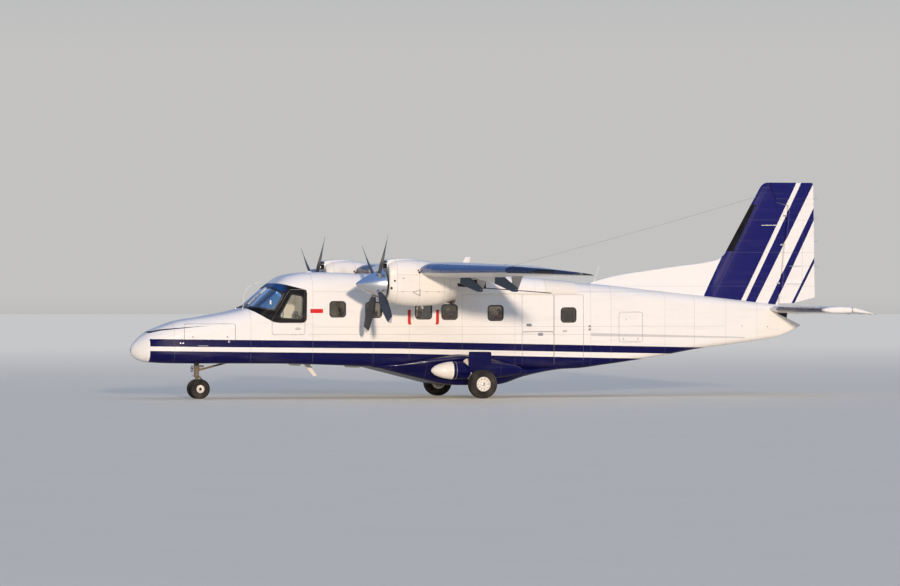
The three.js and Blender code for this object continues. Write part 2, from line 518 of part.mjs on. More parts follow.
// ---------------------------------------------------------------- tail
// z, leading edge station, trailing edge station, thickness ratio
const finRow = (z, le, te, t) => [z, le, 0, te, 0, t, 0];
const finLoft = (rows, opt) => loft(rows.map((r) => foilRing(r, { ...(typeof opt === 'function' ? opt(r) : opt), vertical: true })));
const dorsal = loft([
  [10980, 2560, 2632, 70], [11710, 2480, 2812, 55], [13190, 2330, 3022, 50], [13800, 2270, 3098, 52], [14120, 2230, 3168, 55], [14250, 2220, 3232, 55], [14350, 2210, 3330, 55],
  [14500, 2200, 3560, 55], [15300, 2120, 3560, 60],
].map(([s, zb, zt, h]) => [[X(s), -h * 1.6, zb], [X(s), -h * 0.55, zt - 30], [X(s), -6, zt], [X(s), 6, zt], [X(s), h * 0.55, zt - 30], [X(s), h * 1.6, zb]]));
// side outline aft of a line that runs a given distance ahead of the hinge, from z0 up
const aftOfHinge = (ahead) => sidePlate([[rudderHinge(1000) - ahead, 1000], [17500, 1000], [17500, 6000], [rudderHinge(6000) - ahead, 6000]], -400, 400);
const finFull = finLoft([finRow(2050, 13650, 16600, 0.075), finRow(3340, 14345, 16580, 0.085), finRow(4860, 15215, 16560, 0.09), finRow(FIN_TOP, 15400, 16520, 0.07)], { n: 10 });
const hornBox = sidePlate([[15360, 5100], [15600, 4512], [15930, 4420], [17500, 4420], [17500, 5100]], -400, 400);
let fin = finFull.subtract(aftOfHinge(60)).subtract(hornBox)
  .add(dorsal).subtract(outerPlus);
const rudderMain = finLoft([finRow(RUDDER_BOTTOM, 13704, 16610, 0.075), finRow(3340, 14345, 16580, 0.085), finRow(4860, 15215, 16560, 0.09), finRow(FIN_TOP, 15400, 16520, 0.07)], (r) => ({ n: 8, from: rudderHinge(r[0]) - 42, round: true }));
const hornPart = finFull.intersect(sidePlate([[15380, 5100], [15614, 4526], [15930, 4438], [16250, 4438], [16250, 5100]], -400, 400));
const rudder = rudderMain.add(hornPart).subtract(sidePlate([[15980, 1900], [17000, 1900], [17000, 2380], [16020, 2151], [15980, 2149]], -400, 400));

// span position, leading edge station, leading edge z, trailing edge station, trailing edge z, thickness, camber
const STAB = [
  [-STAB_HALF_SPAN, 15500, STAB_Z - 8, 16768, STAB_Z - 8, 0.11, 0],
  [-120, 15350, STAB_Z, 16768, STAB_Z, 0.12, 0],
];
const stabFull = foilLoft(STAB, { n: 9 });
const stab = stabFull.intersect(sBox(15000, ELEV_HINGE - 45, -BIG, BIG, 0, 6000)).subtract(outerPlus);
const elevator = foilLoft([[-STAB_HALF_SPAN, ...STAB[0].slice(1)], lerpRow(STAB, (STAB_HALF_SPAN - ELEV_IN_Y) / (STAB_HALF_SPAN - 120), -ELEV_IN_Y)], { n: 7, from: ELEV_HINGE - 30, round: true });
function lerpRow(rows, t, y) { const r = rows[0].map((v, k) => lerp(v, rows[1][k], t)); r[0] = y; return r; }
const elevatorDrooped = elevator.translate([-X(ELEV_PIVOT[0]), 0, -ELEV_PIVOT[1]]).rotate([0, ELEV_DROOP, 0]).translate([X(ELEV_PIVOT[0]), 0, ELEV_PIVOT[1]]);

// ---------------------------------------------------------------- cockpit fittings seen through the glass
const seat = (y) => sBox(3560, 3980, y - 210, y + 210, 1150, 1250).add(sBox(3900, 3990, y - 210, y + 210, 1200, 1980));
const seats = sBox(3480, 4000, -500, 500, FLOOR_Z + GAP, 890).add(sBox(3700, 3860, -330, -270, 880, 1160)).add(sBox(3700, 3860, 270, 330, 880, 1160))
  .add(seat(-300)).add(seat(300));
const panel = sidePlate([[2660, 1960], [2960, 1985], [3060, 1900], [3040, 1500], [2980, 1500], [2980, 1560], [2660, 1560]], -600, 600)
  .intersect(fuselage(WALL + GAP, NOSE_END + 2, COCKPIT_END));

// ---------------------------------------------------------------- materials
// name, colour, roughness, metalness
const FINISH = Object.fromEntries([
  ['white', 0xe9e6e0, 0.32, 0.0],
  ['blue', 0x1b2a63, 0.34, 0.0],
  ['boot', 0x23262c, 0.4, 0.0],
  ['polished', 0xb9bcc0, 0.18, 0.95],
  ['blade', 0x2b2d31, 0.45, 0.3],
  ['steel', 0x8b8f94, 0.4, 0.8],
  ['exhaust', 0x5b4b40, 0.55, 0.8],
  ['tyre', 0x1d1c1b, 0.9, 0.0],
  ['rim', 0xdcd8cf, 0.45, 0.1],
  ['glass', 0x1c232b, 0.08, 0.0],
  ['trim', 0x4a4c50, 0.7, 0.0],
].map(([name, color, roughness, metalness]) => [name, { color, roughness, metalness }]));

const group = new THREE.Group();
function piece(name, body, finish, at) {
  const mesh = new THREE.Mesh(geometryOf(body), new THREE.MeshStandardMaterial(FINISH[finish]));
  mesh.name = name;
  if (at) mesh.position.set(...at);
  group.add(mesh);
}

// ---------------------------------------------------------------- assembly
piece('radome', hull(0, RADOME_END), 'white');
piece('nose_section', nose, 'white');
piece('nose_baggage_door', noseDoor, 'white');
piece('cabin_floor', floor, 'blue');
piece('cockpit_section', cockpit, 'white');
piece('cabin_left_wall', walls.intersect(portSide), 'white');
piece('cabin_right_wall', walls.intersect(starboardSide), 'white');
piece('cabin_roof', roof, 'white');
piece('rear_fuselage', rear, 'white');
// The sides of the tail cone are cut away on a slant below the elevators. A cap stays above the tailplane, and a narrow
// spine in the middle carries it.
const tailNotch = sidePlate([[15400, 2030], [15500, 1955], [15620, 1885], [16190, 1641], [16400, 1551], [16400, 2300], [16120, 2300], [16120, 2030]], -400, 400);
const tailSpine = sidePlate([[15300, 1600], [15900, 1600], [16120, 1700], [16120, 2036], [15300, 2036]], -52, 52);
const tailSolid = sidePlate([[15360, 2010], [15500, 1905], [15620, 1835], [16190, 1591], [16400, 1501], [16400, 2300], [15360, 2300]], -400, 400);
const tailCavity = fuselage(TAIL_WALL, REAR_END - 1, 15950).subtract(tailSolid);
piece('tail_cone', hull(REAR_END + GAP, TAIL_END).subtract(tailCavity).subtract(tailNotch.subtract(tailSpine)), 'white');
piece('windscreen', glassSkin.intersect(sidePlate(shrink(SCREEN, 2), -BIG, BIG)), 'glass');
piece('copilot_window', glassSkin.intersect(sidePlate(shrink(SIDE_PANE, 2), 250, BIG)), 'glass');
piece('crew_door', crewLeaf.subtract(sidePlate(SIDE_PANE, -BIG, 0)), 'white');
piece('crew_door_window', glassSkin.intersect(sidePlate(shrink(SIDE_PANE, 2), -BIG, -250)), 'glass');
piece('passenger_door_lower', lowerDoor, 'white');
piece('passenger_door_upper', doorLeaf(DOORS.pax_upper), 'white');
piece('cargo_door', doorLeaf(DOORS.cargo), 'white');
piece('rear_baggage_door', doorLeaf(DOORS.rear), 'white');
piece('cockpit_seats', seats, 'trim');
piece('instrument_panel', panel, 'trim');
piece('belly_fairing', belly, 'blue');
piece('wing_root_fairing', rootFairing, 'white');
piece('wing_centre', wingCentreArms, 'white');
piece('fin', fin, 'blue');
piece('rudder', rudder, 'blue');
piece('nose_leg', noseLeg, 'steel');
piece('nose_fork', noseFork, 'steel');
piece('nose_rims', noseRims, 'rim', [X(NOSE_STATION), 0, NOSE_R]);

// side name, sign of y
for (const [side, sign] of [['left', -1], ['right', 1]]) {
  const port = (b) => (sign < 0 ? b : mirror(b));        // solids drawn on the port side
  const starboard = (b) => (sign > 0 ? b : mirror(b));   // solids drawn on the starboard side
  const engineSide = (b) => b.translate([0, sign * ENGINE_Y, 0]);
  piece(`wing_outer_${side}`, starboard(wingOuterArms), 'white');
  piece(`flap_${side}`, starboard(flapSolid), 'white');
  piece(`aileron_${side}`, starboard(aileron), 'white');
  piece(`nacelle_${side}`, engineSide(nacelle), 'white');
  piece(`engine_${side}`, engineSide(engine), 'steel');
  piece(`exhaust_${side}`, engineSide(exhaust), 'exhaust');
  piece(`propeller_${side}`, bladesFinal, 'blade', [X(PROP_STATION), sign * ENGINE_Y, PROP_Z]);
  piece(`spinner_${side}`, spinner, 'polished', [X(PROP_STATION), sign * ENGINE_Y, PROP_Z]);
  piece(`tailplane_${side}`, port(stab), 'white');
  piece(`elevator_${side}`, port(elevatorDrooped), 'white');
  piece(`pod_nose_${side}`, port(podCone), 'white');
  piece(`main_leg_${side}`, port(mainLeg), 'rim');
  piece(`gear_door_${side}`, port(strutDoor), 'blue');
  piece(`main_rim_${side}`, port(wheel(MAIN_RIM, 26).mirror([0, 1, 0])), 'rim', [X(MAIN_STATION), sign * TRACK_Y, MAIN_R]);
  piece(`main_tyre_${side}`, wheel(MAIN_TYRE, 26), 'tyre', [X(MAIN_STATION), sign * TRACK_Y, MAIN_R]);
  piece(`nose_tyre_${side}`, wheel(NOSE_TYRE, 24), 'tyre', [X(NOSE_STATION), sign * NOSE_WHEEL_Y, NOSE_R]);
}

export default group;
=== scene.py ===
import math
import random

import bmesh
import bpy
import numpy as np
from mathutils import Matrix, Vector


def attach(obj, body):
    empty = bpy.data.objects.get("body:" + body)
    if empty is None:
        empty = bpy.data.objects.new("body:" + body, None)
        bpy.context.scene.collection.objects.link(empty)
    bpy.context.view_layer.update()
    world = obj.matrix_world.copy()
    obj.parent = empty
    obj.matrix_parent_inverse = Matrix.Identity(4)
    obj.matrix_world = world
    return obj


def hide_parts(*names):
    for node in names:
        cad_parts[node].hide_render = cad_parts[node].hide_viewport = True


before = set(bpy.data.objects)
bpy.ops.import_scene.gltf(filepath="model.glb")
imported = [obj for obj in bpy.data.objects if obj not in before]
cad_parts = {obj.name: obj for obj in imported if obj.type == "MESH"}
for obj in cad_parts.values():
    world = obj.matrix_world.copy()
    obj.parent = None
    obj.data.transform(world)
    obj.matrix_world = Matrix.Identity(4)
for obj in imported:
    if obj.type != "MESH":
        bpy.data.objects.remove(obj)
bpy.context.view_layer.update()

scene = bpy.context.scene
HALF = 8.38
R = math.radians
random.seed(7)


def X(s):
    return s - HALF


# ------------------------------------------------------------------ camera, light, floor
cam = bpy.data.cameras.new("camera")
cam.sensor_width = 36.0
cam.lens = 201.68
cam.clip_start, cam.clip_end = 1.0, 2000.0
camera = bpy.data.objects.new("camera", cam)
camera.location = (-36.98, -110.0, 2.43)
camera.rotation_euler = (R(89.98), 0.0, R(-18.2))
scene.collection.objects.link(camera)
scene.camera = camera

scene.view_settings.view_transform = "Standard"
scene.view_settings.look = "None"


def lamp(name, kind, energy, color, direction=None, **kw):
    d = bpy.data.lights.new(name, kind)
    d.energy, d.color = energy, color
    for k, v in kw.items():
        setattr(d, k, v)
    o = bpy.data.objects.new(name, d)
    if direction is not None:
        o.rotation_mode = "QUATERNION"
        o.rotation_quaternion = Vector(direction).to_track_quat("-Z", "Y")
    scene.collection.objects.link(o)
    return o


lamp("key", "SUN", 2.86, (1.0, 0.825, 0.665), (0.165, 0.95, -0.128), angle=R(2.5))
lamp("fill", "SUN", 0.34, (0.80, 0.89, 1.0), (-0.30, 0.45, -0.85), angle=R(60))

for i_, (s_, z_, p_) in enumerate([(3.55, 2.42, 6.0), (6.30, 2.30, 14.0), (9.40, 2.28, 12.0)]):
    o_ = lamp(f"cabin_{i_}", "POINT", p_, (1.0, 0.93, 0.82), shadow_soft_size=0.12)
    o_.location = (X(s_), 0.0, z_)

HORIZON = (1.225, 1.215, 1.195)
world = bpy.data.worlds.new("studio")
scene.world = world
world.use_nodes = True
wn = world.node_tree
wn.nodes.clear()
w_tc = wn.nodes.new("ShaderNodeTexCoord")
w_sep = wn.nodes.new("ShaderNodeSeparateXYZ")
w_ramp = wn.nodes.new("ShaderNodeValToRGB")
w_bg = wn.nodes.new("ShaderNodeBackground")
w_out = wn.nodes.new("ShaderNodeOutputWorld")
w_map = wn.nodes.new("ShaderNodeMapRange")
w_map.inputs["From Min"].default_value = -0.4
w_map.inputs["From Max"].default_value = 1.0
wn.links.new(w_tc.outputs["Generated"], w_sep.inputs[0])
wn.links.new(w_sep.outputs["Z"], w_map.inputs["Value"])
wn.links.new(w_map.outputs[0], w_ramp.inputs[0])
els = w_ramp.color_ramp.elements
els[0].position, els[0].color = 0.0, (0.30, 0.27, 0.24, 1)
els[1].position, els[1].color = 1.0, (0.34, 0.58, 1.14, 1)
for p, c in [(0.26, (0.30, 0.27, 0.24)), (0.284, HORIZON), (0.32, HORIZON), (0.40, (0.50, 0.66, 1.0)), (0.62, (0.36, 0.62, 1.22))]:
    e = els.new(p)
    e.color = (*c, 1)
w_bg.inputs["Strength"].default_value = 0.445
wn.links.new(w_ramp.outputs[0], w_bg.inputs["Color"])
wn.links.new(w_bg.outputs[0], w_out.inputs["Surface"])


# ------------------------------------------------------------------ node helpers
class E:
    """A float in a node tree, with arithmetic."""

    def __init__(self, nt, sock):
        self.nt, self.s = nt, sock

    def op(self, kind, *args, clamp=False):
        n = self.nt.nodes.new("ShaderNodeMath")
        n.operation = kind
        n.use_clamp = clamp
        for i, a in enumerate([self, *args]):
            if isinstance(a, E):
                self.nt.links.new(a.s, n.inputs[i])
            else:
                n.inputs[i].default_value = float(a)
        return E(self.nt, n.outputs[0])

    def __add__(self, o): return self.op("ADD", o)
    def __sub__(self, o): return self.op("SUBTRACT", o)
    def __mul__(self, o): return self.op("MULTIPLY", o)
    def __truediv__(self, o): return self.op("DIVIDE", o)
    def __neg__(self): return self.op("MULTIPLY", -1.0)
    def rsub(self, c): return self.op("MULTIPLY_ADD", -1.0, c)
    def lt(self, o): return self.op("LESS_THAN", o)
    def gt(self, o): return self.op("GREATER_THAN", o)
    def max(self, o): return self.op("MAXIMUM", o)
    def min(self, o): return self.op("MINIMUM", o)
    def abs(self): return self.op("ABSOLUTE")
    def inv(self): return self.rsub(1.0)
    def clamp(self): return self.op("ADD", 0.0, clamp=True)
    def smooth(self, a, b):
        n = self.nt.nodes.new("ShaderNodeMapRange")
        n.interpolation_type = "SMOOTHSTEP"
        n.inputs["From Min"].default_value, n.inputs["From Max"].default_value = a, b
        self.nt.links.new(self.s, n.inputs["Value"])
        return E(self.nt, n.outputs[0])

    def within(self, a, b):
        return self.gt(a) * self.lt(b)


def new_mat(name):
    m = bpy.data.materials.new(name)
    m.use_nodes = True
    nt = m.node_tree
    return m, nt, nt.nodes["Principled BSDF"]


def coords(nt):
    tc = nt.nodes.new("ShaderNodeTexCoord")
    sep = nt.nodes.new("ShaderNodeSeparateXYZ")
    nt.links.new(tc.outputs["Object"], sep.inputs[0])
    return E(nt, sep.outputs[0]), E(nt, sep.outputs[1]), E(nt, sep.outputs[2]), tc.outputs["Object"]


def scaled(nt, vec, s):
    n = nt.nodes.new("ShaderNodeVectorMath")
    n.operation = "MULTIPLY"
    nt.links.new(vec, n.inputs[0])
    n.inputs[1].default_value = s
    return n.outputs[0]


def noise(nt, vec, scale, detail=3.0, rough=0.55, stretch=None):
    if stretch:
        vec = scaled(nt, vec, stretch)
    n = nt.nodes.new("ShaderNodeTexNoise")
    n.inputs["Scale"].default_value = scale
    n.inputs["Detail"].default_value = detail
    n.inputs["Roughness"].default_value = rough
    nt.links.new(vec, n.inputs["Vector"])
    return E(nt, n.outputs[0])


def mixc(nt, fac, a, b):
    n = nt.nodes.new("ShaderNodeMix")
    n.data_type = "RGBA"
    for sock, v in ((n.inputs["Factor"], fac), (n.inputs[6], a), (n.inputs[7], b)):
        if isinstance(v, E):
            nt.links.new(v.s, sock)
        elif isinstance(v, (int, float)):
            sock.default_value = v
        elif isinstance(v, tuple):
            sock.default_value = (*v[:3], 1.0)
        else:
            nt.links.new(v, sock)
    return n.outputs[2]


def bump(nt, height, strength, distance, under=None):
    n = nt.nodes.new("ShaderNodeBump")
    n.inputs["Strength"].default_value = strength
    n.inputs["Distance"].default_value = distance
    nt.links.new(height.s, n.inputs["Height"])
    if under is not None:
        nt.links.new(under, n.inputs["Normal"])
    return n.outputs[0]


def piecewise(x, pts):
    """Straight pieces through (x, value) points; the end pieces run on."""
    (x0, v0) = pts[0]
    slopes = [(b[1] - a[1]) / (b[0] - a[0]) for a, b in zip(pts, pts[1:])]
    out = (x - x0) * slopes[0] + v0
    for (xi, _), k0, k1 in zip(pts[1:], slopes, slopes[1:]):
        out = out + (x - xi).max(0.0) * (k1 - k0)
    return out


def inside_convex(u, v, pts, grow=0.0):
    """1 inside a convex polygon of (u, v) points given anticlockwise."""
    out = None
    n = len(pts)
    for i in range(n):
        (a, b), (c, d) = pts[i], pts[(i + 1) % n]
        L = math.hypot(c - a, d - b)
        nx, ny = (d - b) / L, -(c - a) / L
        dist = u * nx + v * ny - (a * nx + b * ny)
        out = dist if out is None else out.max(dist)
    return out.lt(grow), out


def lines_at(coord, positions, half):
    out = None
    for p in positions:
        d = (coord - p).abs()
        out = d if out is None else out.min(d)
    return out.lt(half), out


def link_set(nt, sock, v):
    if isinstance(v, E):
        nt.links.new(v.s, sock)
    elif isinstance(v, (int, float)):
        sock.default_value = v
    elif isinstance(v, tuple):
        sock.default_value = (*v[:3], 1.0)
    else:
        nt.links.new(v, sock)


WHITE = (0.80, 0.775, 0.73)
BLUE = (0.0030, 0.0028, 0.0560)
BLACK = (0.0045, 0.0045, 0.006)


def paint(name, layers=None, lines=None, rivets=None, base=WHITE, dirt=0.0, soot=None, coat=0.16, rough=0.34):
    """Aircraft enamel. layers gives (mask, colour) pairs, lines the joints between skin panels, rivets a dot mask."""
    m, nt, p = new_mat(name)
    x, y, z, vec = coords(nt)
    col = mixc(nt, noise(nt, vec, 0.9, 4), tuple(c * 0.955 for c in base), tuple(min(c * 1.03, 1) for c in base))
    if layers:
        for mask, c in layers(nt, x, y, z, vec):
            col = mixc(nt, mask, col, c)
    streak = noise(nt, vec, 2.2, 4, 0.6, (0.35, 1.0, 3.0))
    fine = noise(nt, vec, 55.0, 2, 0.5)
    grime = (streak - 0.52).max(0.0) * 1.5
    if dirt:
        col = mixc(nt, (grime * dirt).clamp(), col, (0.20, 0.175, 0.15))
    if soot:
        col = mixc(nt, soot(nt, x, y, z, vec), col, (0.035, 0.03, 0.027))
    height = None
    if lines:
        mask, dist = lines(nt, x, y, z)
        col = mixc(nt, mask * 0.42, col, (0.16, 0.15, 0.15))
        height = dist.smooth(0.0, 0.0035)
    if rivets:
        dots = rivets(nt, x, y, z)
        col = mixc(nt, dots * 0.13, col, (0.25, 0.24, 0.23))
        h2 = dots * 0.35
        height = height + h2 if height else h2
    link_set(nt, p.inputs["Base Color"], col)
    p.inputs["Coat Weight"].default_value = coat
    p.inputs["Coat Roughness"].default_value = 0.07
    p.inputs["Specular IOR Level"].default_value = 0.08
    link_set(nt, p.inputs["Roughness"], (fine * 0.10 + (streak * 0.10 + (rough - 0.10))).clamp())
    nrm = bump(nt, noise(nt, vec, 7.0, 2, 0.5), 0.055, 0.02)
    if height:
        nrm = bump(nt, height, 0.35, 0.002, nrm)
    nt.links.new(nrm, p.inputs["Normal"])
    return m


def metal(name, base, rough, metallic=1.0, grain=(1, 1, 1), scale=30.0, stain=None, stain_amount=0.0, bumpy=0.05, coat=0.0):
    m, nt, p = new_mat(name)
    x, y, z, vec = coords(nt)
    g = noise(nt, vec, scale, 4, 0.6, grain)
    big = noise(nt, vec, 4.0, 4, 0.6)
    col = mixc(nt, g, tuple(c * 0.82 for c in base), tuple(min(c * 1.12, 1) for c in base))
    if stain:
        col = mixc(nt, ((big - 0.45).max(0.0) * 5.0 * stain_amount).clamp(), col, stain)
    link_set(nt, p.inputs["Base Color"], col)
    p.inputs["Metallic"].default_value = metallic
    link_set(nt, p.inputs["Roughness"], (g * 0.22 + (rough - 0.08) + big * 0.06).clamp())
    p.inputs["Coat Weight"].default_value = coat
    nt.links.new(bump(nt, g, bumpy, 0.002), p.inputs["Normal"])
    return m


def rubber(name, base, rough=0.55, dust=(0.20, 0.17, 0.14), dust_amount=0.25, scale=60.0, spec=0.4):
    m, nt, p = new_mat(name)
    x, y, z, vec = coords(nt)
    g = noise(nt, vec, scale, 3, 0.6)
    big = noise(nt, vec, 3.0, 5, 0.62)
    col = mixc(nt, g, tuple(c * 0.8 for c in base), tuple(c * 1.25 for c in base))
    col = mixc(nt, ((big - 0.40).max(0.0) * 4.0 * dust_amount).clamp(), col, dust)
    link_set(nt, p.inputs["Base Color"], col)
    p.inputs["Specular IOR Level"].default_value = spec
    link_set(nt, p.inputs["Roughness"], (g * 0.12 + big * 0.12 + (rough - 0.10)).clamp())
    nt.links.new(bump(nt, g, 0.25, 0.001), p.inputs["Normal"])
    return m


def glass(name, tint, reflect=1.0, haze=0.0):
    """A clear pane: what is behind shows through, and the surface mirrors more at a shallow angle."""
    m, nt, p = new_mat(name)
    nt.nodes.remove(p)
    out = nt.nodes["Material Output"]
    x, y, z, vec = coords(nt)
    smear = noise(nt, vec, 6.0, 4, 0.6, (1, 1, 0.5))
    tr = nt.nodes.new("ShaderNodeBsdfTransparent")
    link_set(nt, tr.inputs["Color"], mixc(nt, smear, tuple(c * 0.93 for c in tint), tint))
    gl = nt.nodes.new("ShaderNodeBsdfGlossy")
    gl.inputs["Color"].default_value = (0.95, 0.97, 1.0, 1)
    link_set(nt, gl.inputs["Roughness"], (smear * 0.03 + 0.01 + haze))
    fr = nt.nodes.new("ShaderNodeFresnel")
    fr.inputs["IOR"].default_value = 1.5
    mx = nt.nodes.new("ShaderNodeMixShader")
    fac = (E(nt, fr.outputs[0]) * (1.3 * reflect) + smear * 0.02).clamp()
    nt.links.new(fac.s, mx.inputs[0])
    nt.links.new(tr.outputs[0], mx.inputs[1])
    nt.links.new(gl.outputs[0], mx.inputs[2])
    nt.links.new(mx.outputs[0], out.inputs["Surface"])
    return m


# ------------------------------------------------------------------ geometry helpers
DUMMY = [bpy.data.materials.new(f"part_{i}") for i in range(4)]   # outer skin, inner skin, cut edge, extra


def mesh_of(verts, faces, index=0):
    """index is one material index, or one for each face."""
    me = bpy.data.meshes.new("m")
    me.from_pydata([tuple(map(float, v)) for v in verts], [], faces)
    for d in DUMMY:
        me.materials.append(d)
    me.polygons.foreach_set("material_index", np.full(len(faces), index, np.int32) if np.isscalar(index) else np.asarray(index, np.int32))
    me.update()
    return me


def volume(me):
    bm = bmesh.new()
    bm.from_mesh(me)
    v = bm.calc_volume(signed=True)
    bm.free()
    return v


def outward(me):
    if volume(me) < 0:
        me.flip_normals()
    return me


def loft(rings, index=0, cap=2, closed=True):
    """Closed solid through rings of equal counts, shape (rings, points, 3)."""
    P = np.asarray(rings, float)
    k, n = P.shape[:2]
    i, j = np.meshgrid(np.arange(k - 1), np.arange(n), indexing="ij")
    a = i * n + j
    b = i * n + (j + 1) % n
    quads = np.stack([a, b, b + n, a + n], -1).reshape(-1, 4).tolist()
    faces = quads + [list(range(n))[::-1], [(k - 1) * n + t for t in range(n)]]
    me = mesh_of(P.reshape(-1, 3), faces, [index] * len(quads) + [cap, cap])
    return outward(me)


def boxm(x0, x1, y0, y1, z0, z1, index=2):
    v = [(x, y, z) for x in (x0, x1) for y in (y0, y1) for z in (z0, z1)]
    f = [(0, 1, 3, 2), (4, 6, 7, 5), (0, 4, 5, 1), (2, 3, 7, 6), (0, 2, 6, 4), (1, 5, 7, 3)]
    return outward(mesh_of(v, f, index))


def sbox(s0, s1, *r, index=2):
    return boxm(X(s0), X(s1), *r, index=index)


def prism(poly, y0, y1, index=2):
    """Side-view polygon of (station, z) between two values of y."""
    n = len(poly)
    v = [(X(s), y0, z) for s, z in poly] + [(X(s), y1, z) for s, z in poly]
    f = [[i, (i + 1) % n, n + (i + 1) % n, n + i] for i in range(n)] + [list(range(n))[::-1], [n + i for i in range(n)]]
    return outward(mesh_of(v, f, index))


def prism_z(poly, z0, z1, index=2):
    """Plan-view polygon of (x, y) between two heights."""
    n = len(poly)
    v = [(a, b, z0) for a, b in poly] + [(a, b, z1) for a, b in poly]
    f = [[i, (i + 1) % n, n + (i + 1) % n, n + i] for i in range(n)] + [list(range(n))[::-1], [n + i for i in range(n)]]
    return outward(mesh_of(v, f, index))


def rounded(poly, r, n=6):
    """Polygon with every corner rounded; r may be one radius for each corner."""
    m = len(poly)
    out = []
    for i in range(m):
        p0, p1, p2 = (np.array(poly[(i + k) % m], float) for k in (-1, 0, 1))
        ri = r[i] if isinstance(r, (list, tuple)) else r
        a, b = p0 - p1, p2 - p1
        la, lb = np.linalg.norm(a), np.linalg.norm(b)
        a, b = a / la, b / lb
        half = math.acos(max(-1, min(1, float(np.dot(a, b))))) / 2
        t = min(ri / max(math.tan(half), 1e-6), la * 0.49, lb * 0.49)
        q0, q2 = p1 + a * t, p1 + b * t
        if t < 1e-6:
            out += [tuple(p1)] * 1
            continue
        rr = t * math.tan(half)
        c = p1 + (a + b) / np.linalg.norm(a + b) * (rr / math.sin(half))
        a0 = math.atan2(*(q0 - c)[::-1])
        a2 = math.atan2(*(q2 - c)[::-1])
        d = (a2 - a0 + math.pi) % (2 * math.pi) - math.pi
        out += [tuple(c + rr * np.array([math.cos(a0 + d * k / n), math.sin(a0 + d * k / n)])) for k in range(n + 1)]
    return out


def rrect(u0, u1, v0, v1, r, n=8):
    return rounded([(u0, v0), (u1, v0), (u1, v1), (u0, v1)], r, n)


def inset(poly, d):
    """Polygon moved inwards by d."""
    P = np.array(poly, float)
    m = len(P)
    area = 0.5 * sum(P[i][0] * P[(i + 1) % m][1] - P[(i + 1) % m][0] * P[i][1] for i in range(m))
    s = 1 if area > 0 else -1
    out = []
    for i in range(m):
        a, b, c = P[i - 1], P[i], P[(i + 1) % m]
        n1 = np.array([-(b - a)[1], (b - a)[0]]) * s
        n2 = np.array([-(c - b)[1], (c - b)[0]]) * s
        n1, n2 = n1 / np.linalg.norm(n1), n2 / np.linalg.norm(n2)
        k = (n1 + n2) / max(1e-6, 1 + float(np.dot(n1, n2)))
        out.append(tuple(b + k * d))
    return out


def frame_axes(a, b):
    d = (Vector(b) - Vector(a)).normalized()
    u = d.orthogonal().normalized()
    return d, u, d.cross(u)


def bar(p, q, r0, r1=None, n=24, index=0, chamfer=0.0):
    """Round bar between two (station, y, z) points, with a small bevel at each end."""
    r1 = r0 if r1 is None else r1
    a, b = Vector((X(p[0]), p[1], p[2])), Vector((X(q[0]), q[1], q[2]))
    return rod(a, b, r0, r1, n, index, chamfer)


def rod(a, b, r0, r1=None, n=24, index=0, chamfer=0.0):
    r1 = r0 if r1 is None else r1
    a, b = Vector(a), Vector(b)
    d, u, v = frame_axes(a, b)
    L = (b - a).length
    c = chamfer or min(0.12 * min(r0, r1), 0.004, L * 0.2)
    rows = [(0.0, r0 - c), (c, r0), (L - c, r1), (L, r1 - c)]
    rings = [[a + d * t + (u * math.cos(2 * math.pi * k / n) + v * math.sin(2 * math.pi * k / n)) * r for k in range(n)] for t, r in rows]
    return loft([[tuple(p) for p in ring] for ring in rings], index=index, cap=index)


def lathe(profile, axis="y", n=64, at=(0, 0, 0), index=0):
    """Solid of revolution. profile is a closed list of (radius, along), or one from axis to axis."""
    prof = [tuple(p) for p in profile]
    on_axis = prof[0][0] < 1e-9 and prof[-1][0] < 1e-9
    verts, faces, ids = [], [], []
    rows = []
    for r, t in prof:
        if r < 1e-9:
            rows.append([len(verts)])
            verts.append((r, t, 0.0))
        else:
            rows.append(list(range(len(verts), len(verts) + n)))
            for k in range(n):
                ang = 2 * math.pi * k / n
                verts.append((r * math.cos(ang), t, r * math.sin(ang)))
    pairs = list(zip(rows, rows[1:])) if on_axis else list(zip(rows, rows[1:] + rows[:1]))
    for A, B in pairs:
        for k in range(n):
            k2 = (k + 1) % n
            if len(A) == 1 and len(B) == 1:
                continue
            if len(A) == 1:
                faces.append((A[0], B[k2], B[k]))
            elif len(B) == 1:
                faces.append((A[k], A[k2], B[0]))
            else:
                faces.append((A[k], A[k2], B[k2], B[k]))
    if axis == "x":
        verts = [(t, r, w) for r, t, w in verts]
    elif axis == "z":
        verts = [(r, w, t) for r, t, w in verts]
    verts = [(a + at[0], b + at[1], c + at[2]) for a, b, c in verts]
    return outward(mesh_of(verts, faces, index))


def tube(points, r, n=10, index=0, smooth=True, caps=True):
    """Round tube along points (metres)."""
    P = [Vector(p) for p in points]
    if smooth and len(P) > 2:
        Q = []
        for i in range(len(P) - 1):
            p0, p1, p2, p3 = P[max(i - 1, 0)], P[i], P[i + 1], P[min(i + 2, len(P) - 1)]
            for t in (0, 0.2, 0.4, 0.6, 0.8):
                Q.append(0.5 * ((2 * p1) + (p2 - p0) * t + (2 * p0 - 5 * p1 + 4 * p2 - p3) * t * t + (3 * p1 - p0 - 3 * p2 + p3) * t ** 3))
        Q.append(P[-1])
        P = Q
    rr = r if isinstance(r, (list, tuple)) else None
    d = (P[1] - P[0]).normalized()
    u = d.orthogonal().normalized()
    rings = []
    for i, p in enumerate(P):
        t = (P[min(i + 1, len(P) - 1)] - P[max(i - 1, 0)]).normalized()
        u = (u - t * u.dot(t)).normalized()
        w = t.cross(u)
        ri = r if rr is None else rr[0] + (rr[1] - rr[0]) * i / (len(P) - 1)
        rings.append([tuple(p + (u * math.cos(2 * math.pi * k / n) + w * math.sin(2 * math.pi * k / n)) * ri) for k in range(n)])
    return loft(rings, index=index, cap=index)


